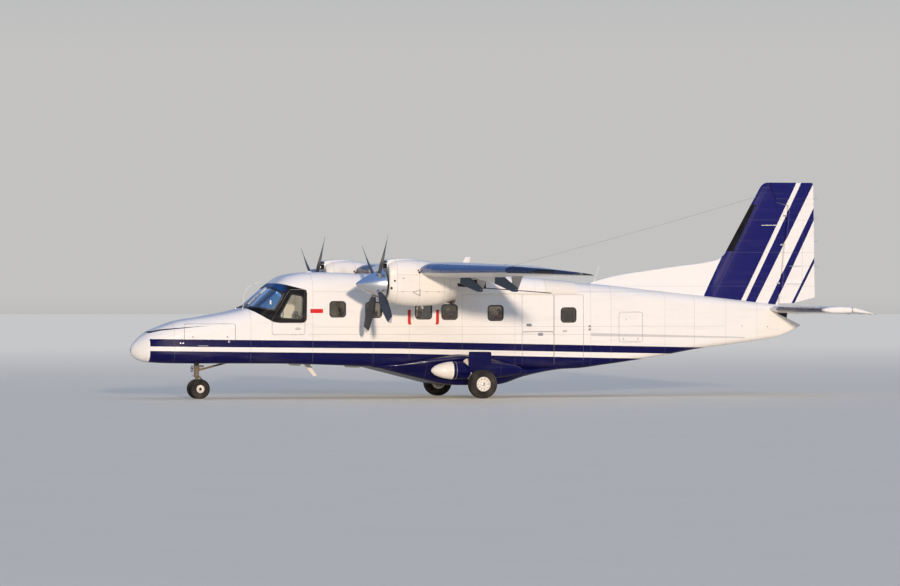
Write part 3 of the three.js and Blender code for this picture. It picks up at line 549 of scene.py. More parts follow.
def join(*meshes):
    """Several meshes as one, without any boolean."""
    bm = bmesh.new()
    for me in meshes:
        bm.from_mesh(me)
    out = bpy.data.meshes.new("m")
    for d in DUMMY:
        out.materials.append(d)
    bm.to_mesh(out)
    bm.free()
    return out


def mirror_y(me):
    out = me.copy()
    co = np.empty(len(out.vertices) * 3)
    out.vertices.foreach_get("co", co)
    co = co.reshape(-1, 3)
    co[:, 1] *= -1
    out.vertices.foreach_set("co", co.ravel())
    out.flip_normals()
    out.update()
    return out


def moved(me, dx=0.0, dy=0.0, dz=0.0, copy=True):
    out = me.copy() if copy else me
    out.transform(Matrix.Translation((dx, dy, dz)))
    return out


def turned(me, matrix):
    out = me.copy()
    out.transform(matrix)
    return out


def cut(base, *others, op="DIFFERENCE"):
    """Boolean of solids, with Blender's own modifier."""
    a = bpy.data.objects.new("a", base)
    scene.collection.objects.link(a)
    temp = []
    for o in others:
        b = bpy.data.objects.new("b", o)
        scene.collection.objects.link(b)
        temp.append(b)
        mod = a.modifiers.new("b", "BOOLEAN")
        mod.operation, mod.solver, mod.object = op, "MANIFOLD", b
    dg = bpy.context.evaluated_depsgraph_get()
    dg.update()
    out = bpy.data.meshes.new_from_object(a.evaluated_get(dg))
    for b in [a, *temp]:
        bpy.data.objects.remove(b)
    return out


def both(base, *others):
    return cut(base, *others, op="INTERSECT")


def add(base, *others):
    return cut(base, *others, op="UNION")


MADE = {}


def piece(name, me, mats, body, replaces=(), angle=32, normals=None, smooth=True):
    """One shown piece. mats are for outer skin, inner skin, cut edge and extra."""
    mats = list(mats) if isinstance(mats, (list, tuple)) else [mats]
    while len(mats) < 4:
        mats.append(mats[-1] if len(mats) < 2 else mats[1] if len(mats) == 2 else mats[2])
    used = np.empty(len(me.polygons), np.int32)
    me.polygons.foreach_get("material_index", used)
    keep = sorted(set(used.tolist()))
    me.materials.clear()
    for k in keep:
        me.materials.append(mats[k])
    lookup = {k: i for i, k in enumerate(keep)}
    me.polygons.foreach_set("material_index", np.array([lookup[k] for k in used.tolist()], np.int32))
    if smooth:
        me.shade_smooth()
        me.set_sharp_from_angle(angle=R(angle))
    if normals is not None:
        normals(me, used == 0)
    me.name = name
    ob = bpy.data.objects.new(name, me)
    scene.collection.objects.link(ob)
    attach(ob, body)
    if replaces:
        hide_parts(*([replaces] if isinstance(replaces, str) else replaces))
    MADE[name] = ob
    return ob


def pchip(xs, ys, x):
    xs, ys, x = np.asarray(xs, float), np.asarray(ys, float), np.asarray(x, float)
    h, d = np.diff(xs), np.diff(ys) / np.diff(xs)
    m = np.zeros_like(xs)
    for i in range(1, len(xs) - 1):
        if d[i - 1] * d[i] > 0:
            w1, w2 = 2 * h[i] + h[i - 1], h[i] + 2 * h[i - 1]
            m[i] = (w1 + w2) / (w1 / d[i - 1] + w2 / d[i])
    m[0], m[-1] = d[0], d[-1]
    i = np.clip(np.searchsorted(xs, x, side="right") - 1, 0, len(xs) - 2)
    t = (x - xs[i]) / h[i]
    return (ys[i] * (1 + 2 * t) * (1 - t) ** 2 + m[i] * h[i] * t * (1 - t) ** 2
            + ys[i + 1] * t * t * (3 - 2 * t) + m[i + 1] * h[i] * t * t * (t - 1))


# ------------------------------------------------------------------ fuselage sections, as in the CAD, in millimetres
FUSELAGE = np.array([
    [0, 32, 1132, 1062, 30, 30], [50, 140, 1245, 965, 125, 115], [150, 250, 1356, 895, 215, 175], [350, 400, 1500, 838, 300, 230],
    [700, 525, 1645, 812, 330, 230], [1000, 595, 1747, 806, 345, 220], [1750, 690, 1870, 803, 350, 200], [2600, 752, 2056, 800, 345, 180],
    [2960, 762, 2340, 797, 415, 175], [3280, 768, 2606, 795, 440, 170], [3560, 770, 2772, 790, 430, 165], [3940, 770, 2845, 778, 400, 160],
    [4320, 770, 2862, 765, 375, 160], [5475, 770, 2815, 723, 350, 160], [9800, 762, 2646, 640, 320, 160], [10400, 742, 2623, 655, 315, 160],
    [11100, 705, 2583, 735, 305, 160], [11900, 645, 2502, 838, 290, 160], [12700, 572, 2421, 960, 270, 160], [13500, 488, 2340, 1092, 240, 155],
    [14400, 378, 2248, 1200, 200, 140], [15200, 275, 2160, 1300, 170, 120], [15700, 205, 2112, 1388, 140, 100], [16000, 158, 2095, 1505, 115, 95],
    [16250, 105, 2040, 1650, 80, 80]], float) / 1000
BLUNT = 0.70


def warp(s):
    s = np.maximum(np.asarray(s, float), 0.0)
    return np.where(s < BLUNT, 2 * np.sqrt(s * BLUNT), s + BLUNT)


def unwarp(t):
    return np.where(t < 2 * BLUNT, (t / 2) ** 2 / BLUNT, t - BLUNT)


def section(s):
    """half width, top z, bottom z, top radius, bottom radius at stations."""
    return [pchip(warp(FUSELAGE[:, 0]), FUSELAGE[:, k], warp(s)) for k in range(1, 6)]


def fus_field(P):
    s = P[:, 0] + HALF
    w, zt, zb, rt, rb = section(np.clip(s, 0.0, 16.25))
    zc, h = (zt + zb) / 2, (zt - zb) / 2
    r = np.where(P[:, 2] > zc, rt, rb)
    qy, qz = np.abs(P[:, 1]) - (w - r), np.abs(P[:, 2] - zc) - (h - r)
    return np.hypot(np.maximum(qy, 0), np.maximum(qz, 0)) + np.minimum(np.maximum(qy, qz), 0) - r


def fus_gradient(P):
    g = np.zeros_like(P)
    for k, e in ((0, 0.004), (1, 0.0008), (2, 0.0008)):
        d = np.zeros(3)
        d[k] = e
        g[:, k] = (fus_field(P + d) - fus_field(P - d)) / (2 * e)
    n = np.linalg.norm(g, axis=1, keepdims=True)
    return g / np.maximum(n, 1e-9)


def fus_normals(me, skin):
    """Sets the outer skin's normals from the exact sections, so that cut openings leave no marks in the reflections."""
    nl = len(me.loops)
    n = np.empty(nl * 3, np.float32)
    me.corner_normals.foreach_get("vector", n)
    n = n.reshape(-1, 3)
    vi = np.empty(nl, np.int32)
    me.loops.foreach_get("vertex_index", vi)
    co = np.empty(len(me.vertices) * 3)
    me.vertices.foreach_get("co", co)
    co = co.reshape(-1, 3)
    tot = np.empty(len(me.polygons), np.int32)
    me.polygons.foreach_get("loop_total", tot)
    on = np.repeat(skin, tot)
    P = co[vi[on]]
    off = np.abs(fus_field(P)) < 0.004
    g = fus_gradient(P)
    keep = n[on]
    g[~off] = keep[~off]
    dots = (g * keep).sum(1)
    g[dots < 0.5] = keep[dots < 0.5]
    n[on] = g
    me.normals_split_custom_set(n.tolist())


NT, NS, NB, NFT, NFB = 18, 10, 9, 5, 4   # segments of top corner, side, bottom corner, half top, half bottom


def fus_rings(stations, t=0.0):
    """Rings of the skin moved inwards by t."""
    S = np.asarray(stations, float)
    w, zt, zb, rt, rb = section(S)
    w, zt, zb = w - t, zt - t, zb + t
    rt = np.maximum(np.minimum(rt - t, w * 0.98), 0.004)
    rb = np.maximum(np.minimum(rb - t, w * 0.98), 0.004)
    half = []
    for k in range(NFT):
        half.append(((w - rt) * (k / NFT), zt))
    for k in range(NT + 1):
        a = math.pi / 2 * (1 - k / NT)
        half.append((w - rt + rt * math.cos(a), zt - rt + rt * math.sin(a)))
    for k in range(1, NS):
        f = k / NS
        half.append((w, (zt - rt) * (1 - f) + (zb + rb) * f))
    for k in range(NB + 1):
        a = -math.pi / 2 * (k / NB)
        half.append((w - rb + rb * math.cos(a), zb + rb + rb * math.sin(a)))
    for k in range(1, NFB + 1):
        half.append(((w - rb) * (1 - k / NFB), zb))
    pts = half + [(-a, b) for a, b in half[-2:0:-1]]
    out = np.empty((len(S), len(pts), 3))
    for j, (a, b) in enumerate(pts):
        out[:, j, 0], out[:, j, 1], out[:, j, 2] = S - HALF, a, b
    return out


def stations(s0, s1, fine=0.05):
    t0, t1 = float(warp(s0)), float(warp(s1))
    grid = [0.0]
    while grid[-1] < 17.1:
        s = float(unwarp(np.array(grid[-1])))
        step = 0.035 if s < 0.7 else 0.045 if s < 2.3 else 0.030 if s < 4.4 else 0.12 if s < 9.6 else 0.07
        grid.append(grid[-1] + step)
    inner = [t for t in grid if t0 + 0.006 < t < t1 - 0.006]
    return unwarp(np.array([t0, *inner, t1]))


def fus(s0, s1, t=0.0, index=0):
    return loft(fus_rings(stations(s0, s1), t), index=index)


def shell(s0, s1, t, open_ends=0.02, t_outer=0.0):
    """Skin of thickness t, open at both ends."""
    outer = fus(s0, s1, t_outer, 0)
    a, b = s0 - open_ends, s1 + open_ends
    ring = fus_rings(stations(max(a, 0.02), min(b, 16.24)), t)
    ring[0, :, 0] = X(a)
    ring[-1, :, 0] = X(b)
    return cut(outer, loft(ring, index=1))




# ------------------------------------------------------------------ finishes
def stripe_edges(x):
    top = piecewise(x, [(X(0.255), 1.359), (X(6.123), 1.287), (X(10.468), 1.193), (X(13.87), 1.118)])
    mid = piecewise(x, [(X(0.255), 1.192), (X(6.123), 1.126), (X(10.468), 1.032), (X(13.87), 0.960)])
    low = piecewise(x, [(X(0.255), 1.091), (X(6.123), 1.015), (X(10.468), 0.908), (X(13.87), 0.834)])
    return top, mid, low


SURROUND = [(X(2.520), 2.066), (X(2.97), 1.815), (X(3.13), 1.735), (X(3.27), 1.715), (X(3.80), 1.715), (X(3.872), 1.735), (X(3.908), 1.80),
            (X(3.914), 2.385), (X(3.898), 2.45), (X(3.85), 2.495), (X(3.523), 2.562), (X(3.20), 2.642), (X(2.98), 2.70), (X(2.50), 2.73)]


def body_layers(nt, x, y, z, vec):
    top, mid, low = stripe_edges(x)
    aft = x.gt(X(0.352))
    upper = (z - top).lt(0.0) * (z - mid).gt(0.0)
    lower = (z - low).lt(0.0)
    blue_var = noise(nt, vec, 1.7, 3)
    out = [((upper.max(lower) * aft), mixc(nt, blue_var, tuple(c * 0.86 for c in BLUE), tuple(c * 1.12 for c in BLUE)))]
    black, _ = inside_convex(x, z, SURROUND)
    out.append((black * x.gt(X(2.40)), BLACK))
    # painted reflection: towards the front and top the black surround turns deep blue, standing in for sky mirrored in
    # the gloss
    out.append((black * (x - X(3.30)).smooth(0.22, 0.0) * z.smooth(2.36, 2.50), (0.010, 0.050, 0.170)))
    # grey cheat line along the side; behind the doors it is drawn wider and darker as painted shade along a crease
    line_z = piecewise(x, [(X(3.9), 1.455), (X(10.7), 1.435), (X(14.6), 1.352)])
    halfw = piecewise(x, [(X(10.7), 0.036), (X(14.6), 0.014)])
    d = (z - line_z).abs()
    out.append(((d - halfw).lt(0.0) * x.within(X(10.75), X(14.7)) * 0.50, (0.30, 0.30, 0.32)))
    out.append((d.lt(0.011) * x.within(X(3.95), X(10.75)) * 0.30, (0.38, 0.37, 0.37)))
    # plain patch behind the cockpit and exit marks round one window, port side
    port = y.lt(0.0)
    out.append((x.within(X(3.992), X(4.292)) * z.within(1.936, 2.030) * port, (0.62, 0.022, 0.018)))
    side = y.abs().gt(0.6)
    curl = ((z - 1.878).abs() - 0.13).max(0.0)
    curl = curl * curl * 3.2
    left = (x - curl - X(6.338)).abs().lt(0.036)
    right = (x + curl - X(7.014)).abs().lt(0.036)
    out.append((left.max(right) * z.within(1.672, 2.010) * side, (0.55, 0.025, 0.018)))
    # painted shade: a dark line that tapers along the crease at the top edge of the nose
    crease = piecewise(x, [(X(0.302), 1.488), (X(0.592), 1.559), (X(0.964), 1.596), (X(1.36), 1.632), (X(1.64), 1.650)])
    width = piecewise(x, [(X(0.30), 0.019), (X(0.80), 0.013), (X(1.30), 0.006), (X(1.66), 0.001)])
    out.append((((z - crease).abs() - width).lt(0.0) * x.within(X(0.285), X(1.66)), (0.05, 0.05, 0.06)))
    return out


BODY_SEAMS = [X(s) for s in (0.875, 2.60, 4.05, 5.48, 6.338, 7.608, 8.88, 10.74, 11.25, 12.62, 13.38, 14.20, 15.02)]


def body_lines(nt, x, y, z):
    _, d = lines_at(x, BODY_SEAMS, 0.003)
    side = y.abs()
    _, e = lines_at(z, [2.42, 1.62], 0.003)
    e = e + x.lt(X(4.05)) + x.gt(X(14.2))
    d = d.min(e)
    return d.lt(0.0036), d


def dots(u, v, pu, pv, r):
    a = u.op("PINGPONG", pu / 2)
    b = v.op("PINGPONG", pv / 2)
    return ((a * a + b * b) - r * r).lt(0.0)


def body_rivets(nt, x, y, z):
    return dots(x, z, 0.42, 0.030, 0.0034).max(dots(x, z, 0.030, 0.26, 0.0034))


def belly_soot(nt, x, y, z, vec):
    n = noise(nt, vec, 3.0, 4, 0.6, (0.25, 1, 1))
    return ((n - 0.50).max(0.0) * 2.0 * z.smooth(1.1, 0.5)).clamp() * 0.35


PAINT_BODY = paint("enamel_body", body_layers, body_lines, body_rivets, dirt=0.30, soot=belly_soot)


def fin_layers(nt, x, y, z, vec):
    b = [((X(13.825), 2.331), (X(14.336), 3.320)), ((X(16.187), 5.021), (X(14.737), 2.213)), ((X(16.311), 5.021), (X(14.863), 2.213)),
         ((X(16.554), 4.863), (X(15.114), 2.190)), ((X(16.567), 4.306), (X(15.437), 2.178)), ((X(16.567), 4.002), (X(15.636), 2.166)),
         ((X(16.593), 3.165), (X(16.035), 2.154)), ((X(16.600), 3.047), (X(16.111), 2.154))]
    total = None
    for i, ((x1, z1), (x2, z2)) in enumerate(b):
        k = (x2 - x1) / (z2 - z1)
        t = (x - z * k - (x1 - 0.045 - z1 * k)).gt(0.0)
        total = t if total is None else (total + t if i % 2 == 0 else total - t)
    fade = noise(nt, vec, 1.2, 3)
    return [(total, mixc(nt, fade, (0.0070, 0.0075, 0.090), (0.0110, 0.0115, 0.125)))]


def fin_lines(nt, x, y, z):
    _, d = lines_at(z, [2.55, 3.34, 4.10, 4.86], 0.003)
    _, e = lines_at(x - z * 0.53, [X(14.336) - 3.32 * 0.53 + k for k in (0.22, 0.95)], 0.003)
    d = d.min(e)
    return d.lt(0.003), d


PAINT_FIN = paint("enamel_fin", fin_layers, fin_lines, lambda nt, x, y, z: dots(x, z, 0.033, 0.19, 0.0034), dirt=0.15, rough=0.36)

WING_X = [X(s) for s in (6.42, 7.05, 7.50)]
WING_Y = [0.86, 1.5, 2.0, 2.86, 3.6, 4.2, 4.76, 5.4, 6.05, 6.7, 7.45]


def wing_lines(nt, x, y, z):
    _, d = lines_at(y.abs(), WING_Y, 0.003)
    _, e = lines_at(x, WING_X, 0.003)
    d = d.min(e)
    return d.lt(0.003), d


def wing_layers(nt, x, y, z, vec):
    walk = y.abs().within(0.90, 1.34) * x.within(X(6.5), X(7.48)) * z.gt(2.86)
    grain = noise(nt, vec, 300.0, 2)
    # painted shade: the bracket fairings under the wing are coloured dark slate-blue
    bracket_shade = ((y.abs() - 1.5).abs().lt(0.065)).max((y.abs() - 3.95).abs().lt(0.065)) * z.lt(2.742) * x.gt(X(7.30))
    # the last layer paints the outermost wing tip dark, as painted shade on its raked edge
    return [(walk, mixc(nt, grain, (0.04, 0.04, 0.042), (0.10, 0.10, 0.105))), (bracket_shade, (0.09, 0.12, 0.16)),
            (y.abs().gt(8.41), (0.030, 0.032, 0.040))]


def exhaust_soot(nt, x, y, z, vec):
    n = noise(nt, vec, 2.4, 4, 0.6, (0.3, 1.2, 1.5))
    lane = (((y.abs() - 2.43).abs()) * -3.4 + 1.0).clamp() * z.lt(2.86) * x.smooth(X(6.5), X(7.3))
    return (lane * (n + 0.25) * 0.75).clamp()


PAINT_WING = paint("enamel_wing", wing_layers, wing_lines, lambda nt, x, y, z: dots(x, y, 0.21, 0.032, 0.0034), dirt=0.22, soot=exhaust_soot)
PAINT_PLAIN = paint("enamel_plain", None, None, lambda nt, x, y, z: dots(x, y, 0.16, 0.030, 0.0032), dirt=0.18)
PAINT_INSIDE = paint("primer_inside", base=(0.58, 0.60, 0.55), dirt=0.3, coat=0.0, rough=0.55)
EDGE = paint("enamel_edge", base=(0.52, 0.50, 0.47), dirt=0.3, coat=0.1, rough=0.5)


def nacelle_lines(nt, x, y, z):
    _, d = lines_at(x, [X(s) for s in (5.42, 5.93, 6.52, 6.66)], 0.003)
    _, e = lines_at(z, [2.42, 2.795], 0.003)
    e = e + x.gt(X(6.52)) + x.lt(X(5.42))
    d = d.min(e)
    return d.lt(0.0042), d


def nacelle_soot(nt, x, y, z, vec):
    n = noise(nt, vec, 5.0, 4, 0.6, (0.5, 1, 1))
    near = (x.smooth(X(6.35), X(6.83)) * z.smooth(2.62, 2.28))
    return (near * (n + 0.15)).clamp() * 0.75


PAINT_NACELLE = paint("enamel_nacelle", None, nacelle_lines, lambda nt, x, y, z: dots(x, z, 0.28, 0.028, 0.0032), base=(0.80, 0.765, 0.70), dirt=0.34, soot=nacelle_soot)


def belly_layers(nt, x, y, z, vec):
    n = noise(nt, vec, 1.7, 3)
    return [(1.0, mixc(nt, n, tuple(c * 0.80 for c in BLUE), tuple(c * 1.10 for c in BLUE)))]


def belly_lines(nt, x, y, z):
    _, d = lines_at(x, [X(s) for s in (5.9, 6.7, 7.28, 8.35, 9.1, 9.9)], 0.003)
    _, e = lines_at(y.abs(), [0.42], 0.003)
    d = d.min(e)
    return d.lt(0.003), d


PAINT_BLUE = paint("enamel_blue", belly_layers, belly_lines, lambda nt, x, y, z: dots(x, y, 0.20, 0.030, 0.0034), dirt=0.20, soot=belly_soot)
PAINT_BLUE_PLAIN = paint("enamel_blue_plain", belly_layers, None, None, dirt=0.25)

# the de-icing boots are black rubber tinted blue as painted reflection of the sky; the inner ones get the stronger blue
BOOT = rubber("deice_boot", (0.007, 0.017, 0.060), 0.24, (0.045, 0.05, 0.06), 0.08, 26.0, 0.65)
BOOT_FIN = rubber("fin_boot_rubber", (0.006, 0.006, 0.008), 0.75, (0.05, 0.045, 0.04), 0.15, 60.0, 0.10)
BOOT_INNER_SKY_BLUE = rubber("deice_boot_inner_sky_blue", (0.026, 0.085, 0.245), 0.27, (0.08, 0.11, 0.16), 0.06, 26.0, 0.7)
SEAL = rubber("black_seal", (0.012, 0.012, 0.013), 0.42, (0.09, 0.085, 0.08), 0.15)
TYRE = rubber("tyre_rubber", (0.014, 0.0135, 0.013), 0.80, (0.11, 0.092, 0.074), 0.42, 90.0, 0.25)
POLISHED = metal("polished_aluminium", (0.80, 0.81, 0.83), 0.16, 1.0, (1, 6, 6), 22.0, (0.32, 0.31, 0.30), 0.15, 0.03)
LEADING = metal("bare_leading_edge", (0.66, 0.67, 0.69), 0.30, 1.0, (1, 5, 1), 26.0, (0.35, 0.34, 0.33), 0.2)
STEEL = metal("satin_steel", (0.46, 0.47, 0.49), 0.36, 1.0, (1, 1, 6), 40.0, (0.16, 0.13, 0.10), 0.4)
CHROME = metal("chromed_slider", (0.78, 0.79, 0.81), 0.08, 1.0, (1, 1, 1), 60.0, None, 0.0, 0.01)
BURNT = metal("burnt_steel", (0.30, 0.23, 0.18), 0.48, 1.0, (1, 3, 3), 18.0, (0.03, 0.025, 0.022), 0.9, 0.12)
BLADE = metal("blade_composite", (0.045, 0.047, 0.052), 0.42, 0.15, (1, 1, 3), 55.0, (0.11, 0.11, 0.11), 0.25, 0.08, 0.25)
BLADE_BACK = metal("blade_boot", (0.018, 0.018, 0.020), 0.50, 0.0, (1, 1, 3), 70.0, (0.06, 0.06, 0.06), 0.4, 0.1)
BLADE_TIP = metal("blade_tip", (0.78, 0.76, 0.70), 0.45, 0.0, (1, 1, 3), 50.0, (0.3, 0.28, 0.25), 0.3, 0.05, 0.2)
WHEEL = paint("wheel_enamel", base=(0.80, 0.765, 0.70), dirt=1.1, coat=0.25, rough=0.42)
LEG_PAINT = paint("leg_enamel", base=(0.62, 0.565, 0.485), dirt=1.5, coat=0.15, rough=0.48)
DARK = metal("dark_interior", (0.018, 0.018, 0.020), 0.65, 0.0, (1, 1, 1), 30.0, (0.05, 0.045, 0.04), 0.3)
# painted reflection: the windscreen's see-through tint is a strong blue, standing in for the sky it mirrors
GLASS_FRONT = glass("windscreen_glass", (0.42, 0.62, 0.86), 3.5)
GLASS_SIDE = glass("side_glass", (0.96, 0.97, 0.96), 0.8)
GLASS_CABIN = glass("cabin_acrylic", (0.60, 0.59, 0.58), 0.9, 0.01)
LENS_CLEAR = glass("clear_lens", (0.9, 0.92, 0.93), 1.3)
LENS_RED = glass("red_lens", (0.75, 0.05, 0.04), 1.2)
LENS_DARK = glass("smoked_lens", (0.10, 0.11, 0.13), 1.2)
WELL_SHADE_GREY = rubber("shadow_gap", (0.16, 0.15, 0.145), 0.6, (0.2, 0.18, 0.15), 0.2, 60.0)
NOSE_LEG_PAINT = paint("nose_leg_enamel", base=(0.185, 0.150, 0.105), dirt=1.2, coat=0.12, rough=0.5)


def plastic(name, base, rough=0.5, scale=140.0, var=0.12, bumpy=0.25):
    m, nt, p = new_mat(name)
    x, y, z, vec = coords(nt)
    g = noise(nt, vec, scale, 2, 0.5)
    big = noise(nt, vec, 2.5, 4, 0.6)
    col = mixc(nt, g * 0.5 + big * 0.5, tuple(c * (1 - var) for c in base), tuple(min(c * (1 + var), 1) for c in base))
    link_set(nt, p.inputs["Base Color"], col)
    link_set(nt, p.inputs["Roughness"], (g * 0.15 + big * 0.1 + (rough - 0.1)).clamp())
    nt.links.new(bump(nt, g, bumpy, 0.001), p.inputs["Normal"])
    return m


LINING = plastic("cabin_lining", (0.70, 0.66, 0.58), 0.55)
CARPET = plastic("carpet", (0.085, 0.09, 0.11), 0.95, 420.0, 0.45, 0.7)
PANEL_GREY = plastic("instrument_grey", (0.05, 0.052, 0.058), 0.6, 160.0)
DIAL = plastic("dial_face", (0.008, 0.008, 0.009), 0.2, 50.0)
BEZEL = plastic("bezel", (0.12, 0.12, 0.125), 0.45, 100.0)
LABEL_WHITE = plastic("white_plastic", (0.78, 0.76, 0.72), 0.4, 80.0)


def leather(name, base):
    m, nt, p = new_mat(name)
    x, y, z, vec = coords(nt)
    v = nt.nodes.new("ShaderNodeTexVoronoi")
    v.feature = "DISTANCE_TO_EDGE"
    v.inputs["Scale"].default_value = 130.0
    nt.links.new(vec, v.inputs["Vector"])
    cells = E(nt, v.outputs["Distance"]).smooth(0.0, 0.12)
    big = noise(nt, vec, 5.0, 4, 0.6)
    col = mixc(nt, big, tuple(c * 0.78 for c in base), tuple(min(c * 1.18, 1) for c in base))
    col = mixc(nt, cells.inv() * 0.4, col, tuple(c * 0.45 for c in base))
    link_set(nt, p.inputs["Base Color"], col)
    link_set(nt, p.inputs["Roughness"], (big * 0.2 + 0.38).clamp())
    nt.links.new(bump(nt, cells, 0.4, 0.0012), p.inputs["Normal"])
    return m


SEAT_TAN = leather("headrest_cover", (0.62, 0.54, 0.43))
SEAT_RED = leather("seat_cloth_red", (0.40, 0.085, 0.040))
SEAT_GREY = leather("seat_leather_grey", (0.16, 0.16, 0.17))


# ------------------------------------------------------------------ floor
fm, fnt, fp = new_mat("studio_floor")
fx, fy, fz, fvec = coords(fnt)
fn = noise(fnt, fvec, 0.5, 4)
far = (fx * fx + fy * fy).op("SQRT")
floor_col = mixc(fnt, fn, (0.66, 0.58, 0.475), (0.70, 0.62, 0.51))
fade = far.smooth(60.0, 260.0).max(fy.smooth(4.0, 110.0))
link_set(fnt, fp.inputs["Base Color"], mixc(fnt, fade, floor_col, (0.0, 0.0, 0.0)))
fp.inputs["Roughness"].default_value = 0.7
fp.inputs["Specular IOR Level"].default_value = 0.15
link_set(fnt, fp.inputs["Emission Color"], mixc(fnt, fade, (0.150, 0.130, 0.092), tuple(c * 0.445 for c in HORIZON)))
fp.inputs["Emission Strength"].default_value = 1.0
fbm = bmesh.new()
bmesh.ops.create_circle(fbm, cap_ends=True, radius=420.0, segments=96)
fme = bpy.data.meshes.new("floor")
fbm.to_mesh(fme)
fbm.free()
fme.materials.append(fm)
floor_ob = bpy.data.objects.new("floor", fme)
floor_ob.location = (0, 0, -0.0005)
scene.collection.objects.link(floor_ob)


# ------------------------------------------------------------------ fuselage
WALL = 0.060
GAP = 0.0006
BIG = 4.0
DOOR_GAP = 0.007
DOORS = {   # station from, to, z from, to, inner limit in y
    "pax_lower": (9.050, 9.830, 0.716, 1.500, -0.600),
    "pax_upper": (9.050, 9.830, 1.500, 2.352, -0.500),
    "cargo": (9.830, 10.560, 0.716, 2.352, -0.600),
    "rear": (11.445, 12.050, 1.256, 1.952, -0.450),
}
CREW_DOOR = [(3.090, 1.446), (3.868, 1.446), (3.868, 2.470), (3.530, 2.470), (3.450, 2.380), (3.215, 1.990), (3.090, 1.790)]
SIDE_PANE = rounded([(3.255, 1.835), (3.792, 1.800), (3.812, 2.312), (3.556, 2.354)], [0.05, 0.06, 0.07, 0.05])
SCREEN = [(2.450, 2.080), (2.620, 2.074), (3.165, 1.985), (3.395, 2.368), (3.110, 2.572), (3.000, 2.660), (2.450, 2.660)]
FLOOR_Z = 0.860
WALL_TOP = 2.420

# station from, to, z from, to of the cabin windows, frame included
WINDOWS = [(4.439, 4.835, 1.833, 2.209), (5.290, 5.692, 1.822, 2.190), (6.475, 6.885, 1.785, 2.158), (7.104, 7.502, 1.774, 2.135), (8.217, 8.606, 1.749, 2.115)]
STARBOARD_MORE = [(9.10, 9.50, 1.722, 2.088), (9.992, 10.385, 1.706, 2.061)]
CARGO_WINDOW = (9.992, 10.385, 1.706, 2.061)
RIM = 0.022


def window_prism(w, grow, y0, y1, index=2):
    a, b, c, d = w
    return prism(rrect(a - grow, b + grow, c - grow, d + grow, 0.088 + grow, 8), y0, y1, index)


def window_set(ws, y0, y1, body, names, door=None):
    """Openings' cutter; frames and panes follow in window_parts."""
    return join(*[window_prism(w, -RIM, y0, y1) for w in ws])


def window_parts(side, ws, body, tag):
    """Rubber frames and panes of the windows in ws on one side (sign of y)."""
    y0, y1 = (-0.95, -0.50) if side < 0 else (0.50, 0.95)
    a, b = min(w[0] for w in ws) - 0.2, max(w[1] for w in ws) + 0.2
    frame_skin = shell(a, b, 0.016, t_outer=-0.0025)
    outer = join(*[window_prism(w, 0.0, y0, y1) for w in ws])
    inner = join(*[window_prism(w, -RIM, y0 * 1.02 if side < 0 else y0 * 0.98, y1 * 0.98 if side < 0 else y1 * 1.02) for w in ws])
    inner = join(*[window_prism(w, -RIM, y0 - 0.05, y1 + 0.05) for w in ws])
    frames = cut(both(frame_skin, outer), inner)
    piece(f"window_frames_{tag}", frames, [SEAL, SEAL, SEAL], body)
    pane_skin = shell(a, b, 0.019, t_outer=0.011)
    panes = both(pane_skin, join(*[window_prism(w, -RIM + 0.002, y0, y1) for w in ws]))
    piece(f"window_panes_{tag}", panes, GLASS_CABIN, body)
    # lining ring on the inner side
    lining_skin = shell(a, b, 0.068, t_outer=0.058)
    ring = cut(both(lining_skin, join(*[window_prism(w, 0.012, y0, y1) for w in ws])), join(*[window_prism(w, -RIM - 0.012, y0 - 0.05, y1 + 0.05) for w in ws]))
    piece(f"window_reveals_{tag}", ring, LINING, body)


def door_hole(key):
    a, b, c, d, y = DOORS[key]
    return prism(rrect(a, b, c, d, 0.045 if key != "rear" else 0.06, 6), -BIG, y)


def door_leaf(key, depth=WALL, g=DOOR_GAP, corner=None):
    a, b, c, d, y = DOORS[key]
    r = corner or (0.038 if key != "rear" else 0.053)
    return both(shell(a - 0.3, b + 0.3, depth), prism(rrect(a + g, b - g, c + g, d - g, r, 6), -BIG, y - g))


# radome and nose
piece("radome_skin", fus(0.0, 0.350), [paint("enamel_radome", base=(0.79, 0.76, 0.71), dirt=0.35), EDGE, EDGE], "airframe", "radome", normals=fus_normals)

NOSE_DOOR = (1.670, 0.580, 1.290, 1.700)
TOE = 11.95


def nose_door_box(g):
    poly = rrect(-NOSE_DOOR[1] + g, NOSE_DOOR[1] - g, NOSE_DOOR[2] + g, NOSE_DOOR[3] - g, 0.045 - g * 0.5, 6)
    n = len(poly)
    y0, y1 = -0.6, 0.33 - g
    v = [(a, y0, z) for a, z in poly] + [(a, y1, z) for a, z in poly]
    f = [[i, (i + 1) % n, n + (i + 1) % n, n + i] for i in range(n)] + [list(range(n))[::-1], [n + i for i in range(n)]]
    me = outward(mesh_of(v, f, 2))
    return turned(me, Matrix.Translation((X(NOSE_DOOR[0]), -0.654, 0)) @ Matrix.Rotation(R(-TOE), 4, "Z"))


nose_bay = both(fus(1.12, 2.22, 0.045, 1), sbox(1.130, 2.210, -BIG, 0.120, 1.180, 3.0, index=1))
well = sbox(1.350, 2.520, -0.115, 0.115, 0.0, 1.060, index=1)
nose = cut(fus(0.3506, 2.5994), well, nose_bay, nose_door_box(0))
piece("nose_skin", nose, [PAINT_BODY, PAINT_INSIDE, EDGE], "airframe", "nose_section", normals=fus_normals)
nose_leaf = both(shell(0.9, 2.5, 0.040), nose_door_box(DOOR_GAP))
piece("nose_door_skin", nose_leaf, [PAINT_BODY, PAINT_INSIDE, EDGE], "nose_baggage_door", "nose_baggage_door", normals=fus_normals)

